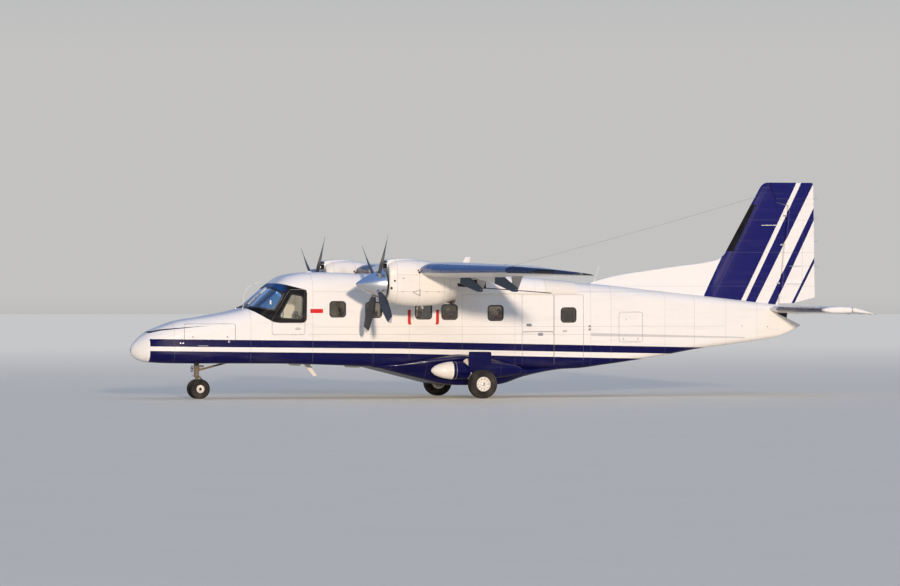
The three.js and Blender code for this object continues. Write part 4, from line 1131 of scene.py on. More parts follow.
# cabin and cockpit shell in pieces
cavity_front = both(fus(2.599, 11.251, WALL, 1), sbox(2.595, 11.255, -BIG, BIG, FLOOR_Z, 3.2, index=1))
cavity = cavity_front
side_port = sbox(-0.1, 17.0, -BIG, -0.0001, -0.1, 6.0)
side_star = sbox(-0.1, 17.0, 0.0001, BIG, -0.1, 6.0)
low_ring = cut(fus(2.6006, 11.2494), cavity)
floor_part = both(low_ring.copy(), sbox(-0.1, 17.0, -BIG, BIG, -0.1, FLOOR_Z))
floor_part = cut(floor_part, door_hole("pax_lower"), door_hole("cargo"))
piece("fuselage_sole", floor_part, [PAINT_BODY, LINING, CARPET], "airframe", "cabin_floor", normals=fus_normals)
upper = both(low_ring, sbox(-0.1, 17.0, -BIG, BIG, FLOOR_Z + GAP, 6.0))
crew_poly = rounded(CREW_DOOR, [0.05, 0.05, 0.04, 0.03, 0.05, 0.2, 0.06])
cockpit = both(upper.copy(), sbox(2.6, 4.050, -BIG, BIG, 0, 6))
cockpit = cut(cockpit, prism(crew_poly, -BIG, -0.3), prism(SCREEN, -BIG, BIG), prism(SIDE_PANE, 0.25, BIG))
piece("cockpit_skin", cockpit, [PAINT_BODY, LINING, EDGE], "airframe", "cockpit_section", normals=fus_normals)

FOIL_N = 40
WING_ROWS = np.array([
    [-3.600, 5.940, 2.900, 8.100, 2.790, 0.155, 0.020], [3.600, 5.940, 2.900, 8.100, 2.790, 0.155, 0.020],
    [7.450, 6.350, 2.880, 7.950, 2.775, 0.130, 0.020], [7.950, 7.010, 2.852, 7.972, 2.772, 0.120, 0.015],
    [8.300, 7.560, 2.818, 7.990, 2.770, 0.120, 0.010], [8.4850, 7.900, 2.792, 8.005, 2.769, 0.160, 0.0]])


def wing_at(y):
    i = 0
    while i < len(WING_ROWS) - 2 and WING_ROWS[i + 1][0] <= y:
        i += 1
    a, b = WING_ROWS[i], WING_ROWS[i + 1]
    return a + (b - a) * ((y - a[0]) / (b[0] - a[0]))


def half_thick(f):
    return 5 * (0.2969 * math.sqrt(max(f, 0)) - 0.126 * f - 0.3516 * f * f + 0.2843 * f ** 3 - 0.1036 * f ** 4)


def foil_ring(row, s_from=None, s_to=None, nose=False, grow=0.0, n=FOIL_N, vertical=False, f_up=None, f_low=None):
    """Ring of one span position between two stations of the section. grow swells it; nose gives the cut front a half-round."""
    y, le, zle, te, zte, t, m = row
    c = te - le

    def at(f):
        mid = zle + (zte - zle) * f + c * m * 4 * f * (1 - f)
        return le + f * c, mid, c * t * half_thick(f) + 0.004 * min(1.0, math.sqrt(max(f, 0) * 8)) + grow

    f0 = 0.0 if s_from is None else max((s_from - le) / c, 0)
    if nose:
        h0 = at(f0)[2]
        f0 = (s_from + h0 - le) / c
    f1 = 1.0 if s_to is None else min((s_to - le) / c, 1)
    up, low = [], []
    for i in range(n + 1):
        f = f1 * (1 - math.cos((i / n) * math.pi / 2)) if f0 == 0 else f0 + (f1 - f0) * i / n
        if f0 == 0:
            f = f1 * (1 - math.cos((i / n) * math.pi / 2)) ** 1.25
        s, mid, h = at(f)
        up.append((s, mid + h))
        low.append((s, mid - h))
    if nose:
        s, mid, h = at(f0)
        arc = [(s + h * math.cos(a), mid + h * math.sin(a)) for a in [math.pi / 2 + math.pi * k / 14 for k in range(1, 14)]]
        loop = up[::-1] + arc + low
    elif f0 == 0:
        loop = up[:0:-1] + [(le - grow, zle)] + low[1:]
    else:
        loop = up[::-1] + low
    if vertical:
        return [(X(s), z, y) for s, z in loop]
    return [(X(s), y, z) for s, z in loop]


def foil_loft(rows, index=0, **kw):
    return loft([foil_ring(r, **kw) for r in rows], index=index, cap=index)


def wing_band(y0, y1, step=0.4, **kw):
    ys = [y0]
    marks = sorted({float(r[0]) for r in WING_ROWS} | {7.7, 8.13, 8.4})
    n = max(2, int(math.ceil((y1 - y0) / step)))
    ys = sorted({round(y0 + (y1 - y0) * k / n, 4) for k in range(n + 1)} | {m for m in marks if y0 + 0.02 < m < y1 - 0.02})
    return foil_loft([wing_at(y) for y in ys], **kw)


wing_grown = foil_loft([WING_ROWS[0], WING_ROWS[1]], grow=0.0015)
cabin = both(upper, sbox(4.0506, 11.25, -BIG, BIG, 0, 6))
walls = both(cabin.copy(), sbox(-0.1, 17, -BIG, BIG, -0.1, WALL_TOP))
walls = cut(walls, door_hole("pax_lower"), door_hole("pax_upper"), door_hole("cargo"))
wall_l = cut(both(walls.copy(), side_port), window_set(WINDOWS, -0.95, -0.5, None, None))
wall_r = cut(both(walls, side_star), window_set(WINDOWS + STARBOARD_MORE, 0.5, 0.95, None, None))
piece("cabin_wall_left", wall_l, [PAINT_BODY, LINING, EDGE], "airframe", "cabin_left_wall", normals=fus_normals)
piece("cabin_wall_right", wall_r, [PAINT_BODY, LINING, EDGE], "airframe", "cabin_right_wall", normals=fus_normals)
roof = cut(both(cabin, sbox(-0.1, 17, -BIG, BIG, WALL_TOP + GAP, 6)), wing_grown)
piece("cabin_roof_skin", roof, [PAINT_BODY, LINING, LINING], "airframe", "cabin_roof", normals=fus_normals)
window_parts(-1, WINDOWS, "airframe", "left")
window_parts(1, WINDOWS + STARBOARD_MORE, "airframe", "right")

rear = cut(fus(11.250, 14.200), fus(12.26, 14.201, 0.045, 1))
bay = both(fus(11.32, 12.19, WALL, 1), sbox(11.320, 12.190, -BIG, BIG, 1.130, 3.0, index=1))
rear = cut(rear, bay, door_hole("rear"))
piece("rear_skin", rear, [PAINT_BODY, LINING, EDGE], "airframe", "rear_fuselage", normals=fus_normals)
tail_notch = prism([(15.400, 2.030), (15.500, 1.955), (15.620, 1.885), (16.190, 1.641), (16.400, 1.551), (16.400, 2.300), (16.120, 2.300), (16.120, 2.030)], -0.4, 0.4)
# the spine's faces take the dark finish as painted shade under the tailplane
tail_spine = prism([(15.300, 1.600), (15.800, 1.600), (15.860, 1.750), (15.900, 2.036), (15.300, 2.036)], -0.050, 0.050, 3)
tail_solid = prism([(15.360, 2.010), (15.500, 1.905), (15.620, 1.835), (16.190, 1.591), (16.400, 1.501), (16.400, 2.300), (15.360, 2.300)], -0.4, 0.4)
tail_skin = cut(fus(14.2006, 16.25), cut(fus(14.199, 15.95, 0.045, 1), tail_solid))
piece("tail_cone_skin", cut(tail_skin, cut(tail_notch, tail_spine)), [PAINT_BODY, PAINT_INSIDE, EDGE, DARK], "airframe", "tail_cone", normals=fus_normals)

# doors
crew_leaf = cut(both(shell(2.7, 4.2, WALL), prism(rounded(inset(CREW_DOOR, DOOR_GAP), [0.045, 0.045, 0.035, 0.03, 0.05, 0.2, 0.055]), -BIG, -0.310)), prism(SIDE_PANE, -BIG, 0))
piece("crew_door_skin", crew_leaf, [PAINT_BODY, LINING, EDGE], "crew_door", "crew_door", normals=fus_normals)
leaf = door_leaf("pax_lower")
steps = [prism(rounded([(9.150, z), (9.730, z), (9.730, z + 0.028), (9.150, z + 0.028)], 0.008, 3), -0.722, -0.560, 3) for z in (0.960, 1.160, 1.360)]
for st in steps:
    leaf = add(leaf, st)
STEP_RUBBER = rubber("step_tread", (0.05, 0.05, 0.052), 0.75, (0.18, 0.16, 0.14), 0.3, 200.0)
piece("lower_door_skin", leaf, [PAINT_BODY, LINING, EDGE, STEP_RUBBER], "passenger_door_lower", "passenger_door_lower", normals=fus_normals)
piece("upper_door_skin", door_leaf("pax_upper"), [PAINT_BODY, LINING, EDGE], "passenger_door_upper", "passenger_door_upper", normals=fus_normals)
cargo = cut(door_leaf("cargo"), window_prism(CARGO_WINDOW, -RIM, -0.95, -0.5))
piece("cargo_door_skin", cargo, [PAINT_BODY, LINING, EDGE], "cargo_door", "cargo_door", normals=fus_normals)
window_parts(-1, [CARGO_WINDOW], "cargo_door", "cargo")
piece("rear_door_skin", door_leaf("rear"), [PAINT_BODY, LINING, EDGE], "rear_baggage_door", "rear_baggage_door", normals=fus_normals)

# windscreen: two panes in a black frame with a centre post, and the side panes
PANE = [(2.400, 2.108), (2.630, 2.100), (3.148, 2.024), (3.345, 2.362), (3.090, 2.535), (2.975, 2.632), (2.400, 2.632)]
PANE_R = [0.0, 0.05, 0.05, 0.06, 0.08, 0.08, 0.0]
pane_poly = rounded(PANE, PANE_R, 6)
frame_skin = shell(2.40, 4.05, 0.030, t_outer=-0.003)
screen_frame = both(frame_skin, prism(inset(SCREEN, 0.0015), -BIG, BIG))
post = sbox(2.3, 3.3, -0.028, 0.028, 1.9, 2.8)
port_cut = cut(prism(pane_poly, -BIG, -0.0275), sbox(2.3, 3.3, -0.0275, 0.0275, 1.9, 2.8))
star_cut = prism(pane_poly, 0.0275, BIG)
screen_frame = cut(screen_frame, port_cut.copy(), star_cut.copy())
piece("windscreen_frame", screen_frame, [SEAL, SEAL, SEAL], "airframe")
cap_rings = shell(2.74, 3.16, 0.004, t_outer=-0.0045)
cap_plan = prism_z([(X(2.74), -0.035), (X(3.16), -0.105), (X(3.16), 0.105), (X(2.74), 0.035)], 1.9, 2.9)
piece("windscreen_centre_strip", both(cap_rings, cap_plan), [PAINT_PLAIN, PAINT_PLAIN, PAINT_PLAIN], "airframe", normals=fus_normals)
pane_skin = shell(2.40, 4.05, 0.016, t_outer=0.006)
panes = both(pane_skin, join(prism(inset(pane_poly, 0.001), -BIG, -0.0285), prism(inset(pane_poly, 0.001), 0.0285, BIG)))
piece("windscreen_panes", panes, GLASS_FRONT, "airframe", "windscreen")


def side_window(y0, y1, body, name, node):
    sk = shell(2.40, 4.05, 0.016, t_outer=0.006)
    me = both(sk, prism(inset(SIDE_PANE, 0.001), y0, y1))
    piece(name, me, GLASS_SIDE, body, node)
    sk = shell(2.40, 4.05, 0.020, t_outer=-0.003)
    me = cut(both(sk, prism(inset(SIDE_PANE, -0.022), y0, y1)), prism(inset(SIDE_PANE, 0.004), y0 - 0.1, y1 + 0.1))
    piece(name + "_frame", me, [SEAL, SEAL, SEAL], body)


side_window(-0.95, -0.25, "crew_door", "crew_door_pane", "crew_door_window")
side_window(0.25, 0.95, "airframe", "starboard_pane", "copilot_window")


# ------------------------------------------------------------------ wing
WING_CUT, FLAP_NOSE = 7.570, 7.592
FLAP_IN, FLAP_OUT, AIL_IN, AIL_OUT = 0.860, 4.750, 4.770, 7.400
FLAP_PIN = (7.800, 2.470)
ARM_Y = [1.500, 3.950]


def cut_box(y0, y1):
    return sbox(WING_CUT, 8.6, y0, y1, 2.3, 3.3)


def bracket(y):
    out = [rounded([(7.05, 2.790), (7.20, 2.650), (7.74, 2.415), (7.845, 2.415), (7.845, 2.500), (7.54, 2.740), (7.54, 2.830)], [0.0, 0.10, 0.05, 0.02, 0.02, 0.05, 0.0], 5)]
    parts = [prism(out[0], y + 0.020, y + 0.038, 0), prism(out[0], y - 0.038, y - 0.020, 0), bar((FLAP_PIN[0], y - 0.046, FLAP_PIN[1]), (FLAP_PIN[0], y + 0.046, FLAP_PIN[1]), 0.012, index=3)]
    # boat-shaped fairing round the bracket's root
    rings = []
    for k, (s, hw, zb) in enumerate([(6.86, 0.004, 2.735), (6.95, 0.026, 2.690), (7.10, 0.042, 2.655), (7.30, 0.050, 2.615), (7.46, 0.050, 2.600), (7.55, 0.046, 2.610)]):
        top = 2.76
        ring = []
        for j in range(17):
            a = math.pi * j / 16
            ring.append((X(s), y + hw * math.cos(a), zb + (0.035 + hw * 0.4) * (1 - math.sin(a))))
        ring += [(X(s), y - hw, top), (X(s), y + hw, top)]
        rings.append(ring)
    parts.append(loft(rings, index=0, cap=0))
    return parts


wing_mid = wing_band(-3.600, 3.600, 0.6)
wing_mid = cut(wing_mid, cut_box(FLAP_IN - DOOR_GAP, BIG * 2), cut_box(-BIG * 2, -FLAP_IN + DOOR_GAP))
b1 = [m for m in bracket(ARM_Y[0])]
wing_mid = join(wing_mid, *b1, *[mirror_y(m) for m in b1])
piece("wing_centre_skin", wing_mid, [PAINT_WING, PAINT_WING, EDGE, STEEL], "airframe", "wing_centre", angle=38)


def leading_boot(rows, f_top, f_low, grow, name, body, mat, vertical=False, sgn=1, slotname="trim"):
    """A thin rubber sheet wrapped round the leading edge, between two chord fractions."""
    rings = []
    for row, ft, fl in zip(rows, f_top, f_low):
        y, le, zle, te, zte, t, m = row
        c = te - le
        pts = []
        for k in range(13):
            f = ft * (1 - k / 12) ** 2
            pts.append((f, 1))
        for k in range(1, 9):
            f = fl * (k / 8) ** 2
            pts.append((f, -1))

        def at(f, sg, g):
            mid = zle + (zte - zle) * f + c * m * 4 * f * (1 - f)
            h = c * t * half_thick(f) + 0.004 * min(1.0, math.sqrt(max(f, 0) * 8))
            if f < 1e-9:
                return (le - g, zle)
            return (le + f * c - g * (1 - min(1.0, f / 0.03)) * 0.7, mid + sg * (h + g))
        n = len(pts)
        outer = [at(f, sg, grow * (1.0 if 0 < i < n - 1 else 0.15)) for i, (f, sg) in enumerate(pts)]
        inner = [at(f, sg, -0.003) for f, sg in pts][::-1]
        loop = outer + inner
        rings.append([(X(s), z, y) if vertical else (X(s), y * sgn, z) for s, z in loop])
    me = loft(rings, index=0, cap=0)
    return me


for tag, sg in (("left", -1), ("right", 1)):
    def side(me, s=sg):
        return me if s > 0 else mirror_y(me)

    outer_wing = wing_band(3.6004, 8.485, 0.35)
    outer_wing = cut(outer_wing, cut_box(3.55, AIL_OUT + DOOR_GAP))
    outer_wing = join(outer_wing, *bracket(ARM_Y[1]))
    piece(f"wing_outer_skin_{tag}", side(outer_wing), [PAINT_WING, PAINT_WING, EDGE, STEEL], "airframe", f"wing_outer_{tag}", angle=38)

    # flap and its arms
    flap = wing_band(FLAP_IN, FLAP_OUT, 0.5, s_from=FLAP_NOSE, nose=True, n=14)
    parts = [flap]
    for y in ARM_Y:
        arm_poly = rounded([(7.70, 2.800), (7.740, 2.470), (7.770, 2.430), (7.830, 2.430), (7.860, 2.470), (7.985, 2.790)], [0.0, 0.02, 0.02, 0.02, 0.02, 0.0], 4)
        arm = cut(prism(arm_poly, y - 0.009, y + 0.009, 2), bar((FLAP_PIN[0], y - 0.05, FLAP_PIN[1]), (FLAP_PIN[0], y + 0.05, FLAP_PIN[1]), 0.0135, index=2))
        parts.append(arm)
    piece(f"flap_skin_{tag}", side(join(*parts)), [PAINT_WING, PAINT_WING, EDGE], f"flap_{tag}", f"flap_{tag}", angle=38)

    # aileron and static wicks
    ail = wing_band(AIL_IN, AIL_OUT, 0.5, s_from=FLAP_NOSE, nose=True, n=14)
    piece(f"aileron_skin_{tag}", side(ail), [PAINT_WING, PAINT_WING, EDGE], f"aileron_{tag}", f"aileron_{tag}", angle=38)
    wicks = []
    for y in (5.9, 6.4, 6.9, 7.3):
        row = wing_at(y)
        wicks.append(tube([(X(row[3] - 0.012), y, row[4]), (X(row[3] + 0.07), y + 0.01, row[4] - 0.004), (X(row[3] + 0.15), y + 0.015, row[4] - 0.012)], [0.0035, 0.0015], 8))
    for y in (7.72, 7.95, 8.2):
        row = wing_at(y)
        wicks.append(tube([(X(row[3] - 0.012), y, row[4]), (X(row[3] + 0.13), y + 0.03, row[4] - 0.008)], [0.0035, 0.0015], 8))
    piece(f"static_wicks_wing_{tag}", side(join(*wicks[:4])), DARK, f"aileron_{tag}")
    piece(f"static_wicks_tip_{tag}", side(join(*wicks[4:])), DARK, "airframe")

    # de-icing boots: outboard of the nacelle, and the stub between nacelle and root
    ys = [2.83, 3.25, 3.5995]
    rows = [wing_at(y) for y in ys]
    boot_a = leading_boot(rows, [0.085] * 3, [0.020] * 3, 0.0022, "", "", None)
    ys = [3.6010, 4.2, 4.9, 5.6, 6.3, 6.9, 7.445]
    rows = [wing_at(y) for y in ys]
    boot_b = leading_boot(rows, [0.088] * 7, [0.024] * 7, 0.0022, "", "", None)
    ys = [7.452, 7.60, 7.80, 7.95, 8.12, 8.30, 8.42]
    rows = [wing_at(y) for y in ys]
    boot_c = leading_boot(rows, [0.11, 0.13, 0.16, 0.20, 0.28, 0.40, 0.55], [0.05, 0.06, 0.08, 0.10, 0.14, 0.20, 0.30], 0.0022, "", "", None)
    ys = [1.05, 1.5, 2.03]
    rows = [wing_at(y) for y in ys]
    boot_d = leading_boot(rows, [0.085] * 3, [0.020] * 3, 0.0022, "", "", None)
    piece(f"wing_boots_inner_{tag}", side(join(boot_a, boot_b)), BOOT_INNER_SKY_BLUE, "airframe", angle=50)
    piece(f"wing_boots_outer_{tag}", side(join(boot_c, boot_d)), BOOT, "airframe", angle=50)

    # cover of the tip lamp, and tank caps
    tip = wing_at(7.93)
    cover = []
    for k, (y, s, hw) in enumerate([(7.80, 6.830, 0.004), (7.84, 6.845, 0.030), (7.92, 6.955, 0.045), (8.02, 7.105, 0.045), (8.10, 7.235, 0.030), (8.14, 7.300, 0.004)]):
        cover.append([(X(s + 0.02) - hw * 1.3 * math.sin(math.pi * j / 12), y, 2.858 + hw * math.cos(math.pi * j / 12)) for j in range(13)] + [(X(s + 0.13), y, 2.858 - hw * 0.5), (X(s + 0.13), y, 2.858 + hw * 0.5)])
    piece(f"tip_lamp_{tag}", side(loft(cover, index=0, cap=0)), LENS_DARK, "airframe", angle=60)
    caps = []
    for (s, y) in ((6.95, 4.05), (6.95, 5.75), (6.9, 2.05)):
        row = wing_at(y)
        f = (s - row[1]) / (row[3] - row[1])
        z = row[2] + (row[4] - row[2]) * f + (row[3] - row[1]) * (row[6] * 4 * f * (1 - f) + row[5] * half_thick(f)) + 0.004
        caps.append(lathe([(0, -0.01), (0.058, -0.01), (0.058, 0.0035), (0.050, 0.005), (0.020, 0.005), (0.017, 0.009), (0, 0.009)], "z", 48, (X(s), y, z), 0))
        caps.append(boxm(X(s) - 0.040, X(s) + 0.040, y - 0.006, y + 0.006, z + 0.004, z + 0.014, 3))
    piece(f"tank_caps_{tag}", side(join(*caps)), [STEEL, STEEL, STEEL, POLISHED], "airframe")


# wing root fairing over the body
ROOT = np.array([[5.560, 0.786, 2.832, 0.330], [6.300, 0.815, 2.860, 0.250], [7.200, 0.825, 2.860, 0.220], [8.200, 0.822, 2.818, 0.220], [9.300, 0.800, 2.740, 0.260], [10.380, 0.758, 2.652, 0.250]])
ROOT_Z = 2.362


def root_ring(s, grow=0.0):
    w, top, r = [float(pchip(ROOT[:, 0], ROOT[:, k], s)) for k in (1, 2, 3)]
    w, top = w + grow, top + grow
    half = [((w - r) * k / 5, top) for k in range(5)]
    half += [(w - r + r * math.sin(math.pi / 2 * k / 14), top - r + r * math.cos(math.pi / 2 * k / 14)) for k in range(15)]
    zb = ROOT_Z
    half += [(w, top - r + (zb + 0.03 - top + r) * k / 6) for k in range(1, 7)]
    half += [(w - 0.012, zb + 0.006), (w - 0.030, zb)]
    half += [((w - 0.03) * (1 - k / 4), zb) for k in range(1, 5)]
    pts = half + [(-a, b) for a, b in half[-2:0:-1]]
    return [(X(s), a, b) for a, b in pts]


root_s = sorted({5.56 + (10.38 - 5.56) * k / 48 for k in range(49)})
root = cut(loft([root_ring(s) for s in root_s], index=0, cap=0), fus(5.3, 10.7, -0.0006), wing_grown.copy())


def root_lines(nt, x, y, z):
    _, d = lines_at(x, [X(s) for s in (5.95, 8.235, 8.60, 9.36, 9.62)], 0.003)
    return d.lt(0.003), d


def root_layers(nt, x, y, z, vec):
    # painted shade: a black patch ahead of the flap under the wing, where the wing's shadow falls, and a dark line
    # along the fairing's lower gap, partly its dark seal and partly painted shadow
    low_edge = piecewise(x, [(X(7.30), 2.585), (X(8.235), 2.475)])
    wing_shadow_patch = (z - low_edge).gt(0.0) * z.lt(2.69) * x.within(X(7.42), X(8.16)) * y.abs().gt(0.6)
    gap_shadow_z = piecewise(x, [(X(7.39), 2.556), (X(9.74), 2.344 + 0.045)])
    strip = ((z - gap_shadow_z).abs() - 0.010).lt(0.0) * x.within(X(7.40), X(9.76)) * y.abs().gt(0.6)
    warm = x.within(X(9.60), X(10.4)) * 1.0
    return [(warm * 0.6, (0.74, 0.69, 0.60)), (wing_shadow_patch.max(strip), (0.016, 0.016, 0.018))]


PAINT_ROOT = paint("enamel_root", root_layers, root_lines, lambda nt, x, y, z: dots(x, z, 0.18, 0.030, 0.0032), dirt=0.2)
piece("root_fairing_skin", root, [PAINT_ROOT, PAINT_ROOT, EDGE], "airframe", "wing_root_fairing", angle=40)


# ------------------------------------------------------------------ nacelles, exhausts, propellers
ENGINE_Y, PROP_Z, PROP_S = 2.430, 2.590, 5.040
NAC = np.array([
    [5245, 320, 3070, 2235, 240, 300], [5420, 355, 3128, 2160, 260, 320], [5700, 372, 3145, 2112, 270, 330], [5950, 375, 3130, 2098, 280, 330],
    [6300, 372, 3085, 2115, 290, 320], [6600, 350, 2985, 2165, 290, 300], [6845, 300, 2860, 2240, 250, 250]], float) / 1000


def nac_ring(s, t=0.0, n=14):
    w, top, bot, rt, rb = [float(pchip(NAC[:, 0], NAC[:, k], s)) for k in range(1, 6)]
    w, top, bot, rt, rb = w - t, top - t, bot + t, max(rt - t, 0.01), max(rb - t, 0.01)
    rb = min(rb, w - 0.002)
    rt = min(rt, w - 0.002)
    half = [((w - rt) * k / 4, top) for k in range(4)]
    half += [(w - rt + rt * math.sin(math.pi / 2 * k / n), top - rt + rt * math.cos(math.pi / 2 * k / n)) for k in range(n + 1)]
    half += [(w, (top - rt) * (1 - k / 5) + (bot + rb) * k / 5) for k in range(1, 5)]
    half += [(w - rb + rb * math.cos(math.pi / 2 * k / n), bot + rb - rb * math.sin(math.pi / 2 * k / n)) for k in range(n + 1)]
    half += [((w - rb) * (1 - k / 4), bot) for k in range(1, 5)]
    return half + [(-a, b) for a, b in half[-2:0:-1]]


def nac_loft(s0, s1, t, index=0, lip=0.0):
    S = [s0 + (s1 - s0) * k / 44 for k in range(45)]
    rings = [[(X(s), a, b) for a, b in nac_ring(s, t)] for s in S]
    if lip:
        lead = [[(X(s0 + dx), p, q) for p, q in nac_ring(s0 + dx, t + dt)] for dx, dt in [(lip * (1 - math.sin(math.pi / 2 * (1 - k / 7))), lip * (1 - math.cos(math.pi / 2 * (1 - k / 7)))) for k in range(8)]]
        body = [r for r, s in zip(rings, S) if s > s0 + lip + 0.01]
        rings = lead + body
    return loft(rings, index=index, cap=2)


BLADE_ANGLES = [38, 128, 218, 308]
SPIN_OUT = [(0.0, 0.0), (0.032, 0.022), (0.080, 0.088), (0.142, 0.190), (0.210, 0.320), (0.270, 0.460), (0.330, 0.640)]


def spinner_profile():
    """Smooth nose from tip to base, as (radius, distance aft of the tip)."""
    d = [p[1] for p in SPIN_OUT]
    r = [p[0] for p in SPIN_OUT]
    w = [math.sqrt(v) for v in d]
    out = []
    for k in range(41):
        q = w[-1] * k / 40
        out.append((float(pchip(w, r, q)), q * q))
    out[0] = (0.0, 0.0)
    return out


BLADE_RECORD = np.array([[150, 92, 92, 60], [330, 96, 84, 56], [480, 165, 40, 47], [760, 225, 24, 36], [1080, 215, 16, 27], [1290, 170, 11, 23], [1365, 96, 8, 21]], float)


def cad_like_blade():
    rows = BLADE_RECORD / np.array([1000, 1000, 1000, 1])
    rs = [0.150 + (1.365 - 0.150) * (k / 70) for k in range(71)]
    rings = []
    for r in rs:
        chord, thick, ang = [float(pchip(rows[:, 0], rows[:, k], r)) for k in (1, 2, 3)]
        if r > 1.30:
            q = (r - 1.30) / 0.065
            chord *= math.sqrt(max(1 - 0.55 * q * q, 0.05))
        blend = min(1.0, max(0.0, (r - 0.30) / 0.18))
        ring = []
        n = 44
        t = R(ang)
        for i in range(n):
            a = 2 * math.pi * i / n
            cu, su = math.cos(a), math.sin(a)
            f = (1 - cu) / 2
            foil = math.copysign(1.0, su) * half_thick(f) * 2 * (1 if abs(su) > 1e-9 else 0)
            v = (foil * blend + su * (1 - blend)) * thick / 2 + blend * 0.10 * thick * 4 * f * (1 - f)
            u = cu * chord / 2
            ring.append((u * math.sin(t) + v * math.cos(t), u * math.cos(t) - v * math.sin(t), r))
        rings.append(ring)
    return loft(rings, index=0, cap=0)


def blade_strip(r0, r1, u0, u1, grow, index=0):
    """A sheet over one blade between radii, from u0 to u1 of the half chord (1 is the leading edge), both faces."""
    rows = BLADE_RECORD / np.array([1000, 1000, 1000, 1])
    rings = []
    for k in range(25):
        r = r0 + (r1 - r0) * k / 24
        chord, thick, ang = [float(pchip(rows[:, 0], rows[:, j], r)) for j in (1, 2, 3)]
        if r > 1.30:
            q = (r - 1.30) / 0.065
            chord *= math.sqrt(max(1 - 0.55 * q * q, 0.05))
        blend = min(1.0, max(0.0, (r - 0.30) / 0.18))
        t = R(ang)
        ring = []
        a0 = math.acos(max(-1, min(1, u0)))
        for g in (grow, -0.0005):
            angs = [-a0 + 2 * a0 * i / 16 for i in range(17)] if g > 0 else [a0 - 2 * a0 * i / 16 for i in range(17)]
            for a in angs:
                cu, su = math.cos(a), math.sin(a)
                f = (1 - cu) / 2
                foil = math.copysign(1.0, su) * half_thick(f) * 2 * (1 if abs(su) > 1e-9 else 0)
                v = (foil * blend + su * (1 - blend)) * thick / 2 + blend * 0.10 * thick * 4 * f * (1 - f)
                u = cu * chord / 2
                v += g * su
                u += g * cu
                ring.append((u * math.sin(t) + v * math.cos(t), u * math.cos(t) - v * math.sin(t), r))
        rings.append(ring)
    return loft(rings, index=index, cap=index)


def turned_x(me, deg):
    return turned(me, Matrix.Rotation(R(deg), 4, "X"))


spin_out = spinner_profile()
spin_in = [(max(r - 0.008, 0.0), d + 0.012) for r, d in spin_out[::-2] if r - 0.008 > 0 and d + 0.012 < 0.640]
spin_base = lathe(spin_out + [(0.322, 0.640)] + [(r, d) for r, d in spin_in] + [(0.0, 0.013)], "x", 96)
holes = []
for a in BLADE_ANGLES:
    h = rod((0, 0, 0.17), (0, 0, 0.57), 0.058, n=40, index=2, chamfer=0.0001)
    holes.append(turned_x(h, a))
spinner_mesh = moved(spin_base, dx=-0.490)
spinner_mesh = cut(spinner_mesh, *holes)
# base flange and the plate behind the blades
spinner_mesh = join(spinner_mesh, lathe([(0.176, 0.130), (0.176, 0.142), (0.3215, 0.142), (0.3215, 0.130)], "x", 96, index=1),
                    lathe([(0.3300, 0.1420), (0.3325, 0.1430), (0.3325, 0.1560), (0.3240, 0.1575), (0.3240, 0.1420)], "x", 96, index=1))


hub = lathe([(0.0, -0.085), (0.11, -0.085), (0.150, -0.060), (0.172, -0.020), (0.175, 0.015), (0.165, 0.044), (0.0, 0.044)], "x", 64, index=0)
blade_parts, boots_parts, tip_parts, cuff_parts = [], [], [], []
one = cad_like_blade()
for a in BLADE_ANGLES:
    blade_parts.append(turned_x(one, a))
    boots_parts.append(turned_x(blade_strip(0.375, 0.80, 0.62, 1, 0.0012, 0), a))
    tip_parts.append(turned_x(blade_strip(1.275, 1.362, -0.9999, 1, 0.0006, 0), a))
    cuff_parts.append(turned_x(lathe([(0.046, 0.0), (0.056, 0.004), (0.056, 0.05), (0.050, 0.058), (0.046, 0.058)], "z", 40, (0, 0, 0.275), 0), a))

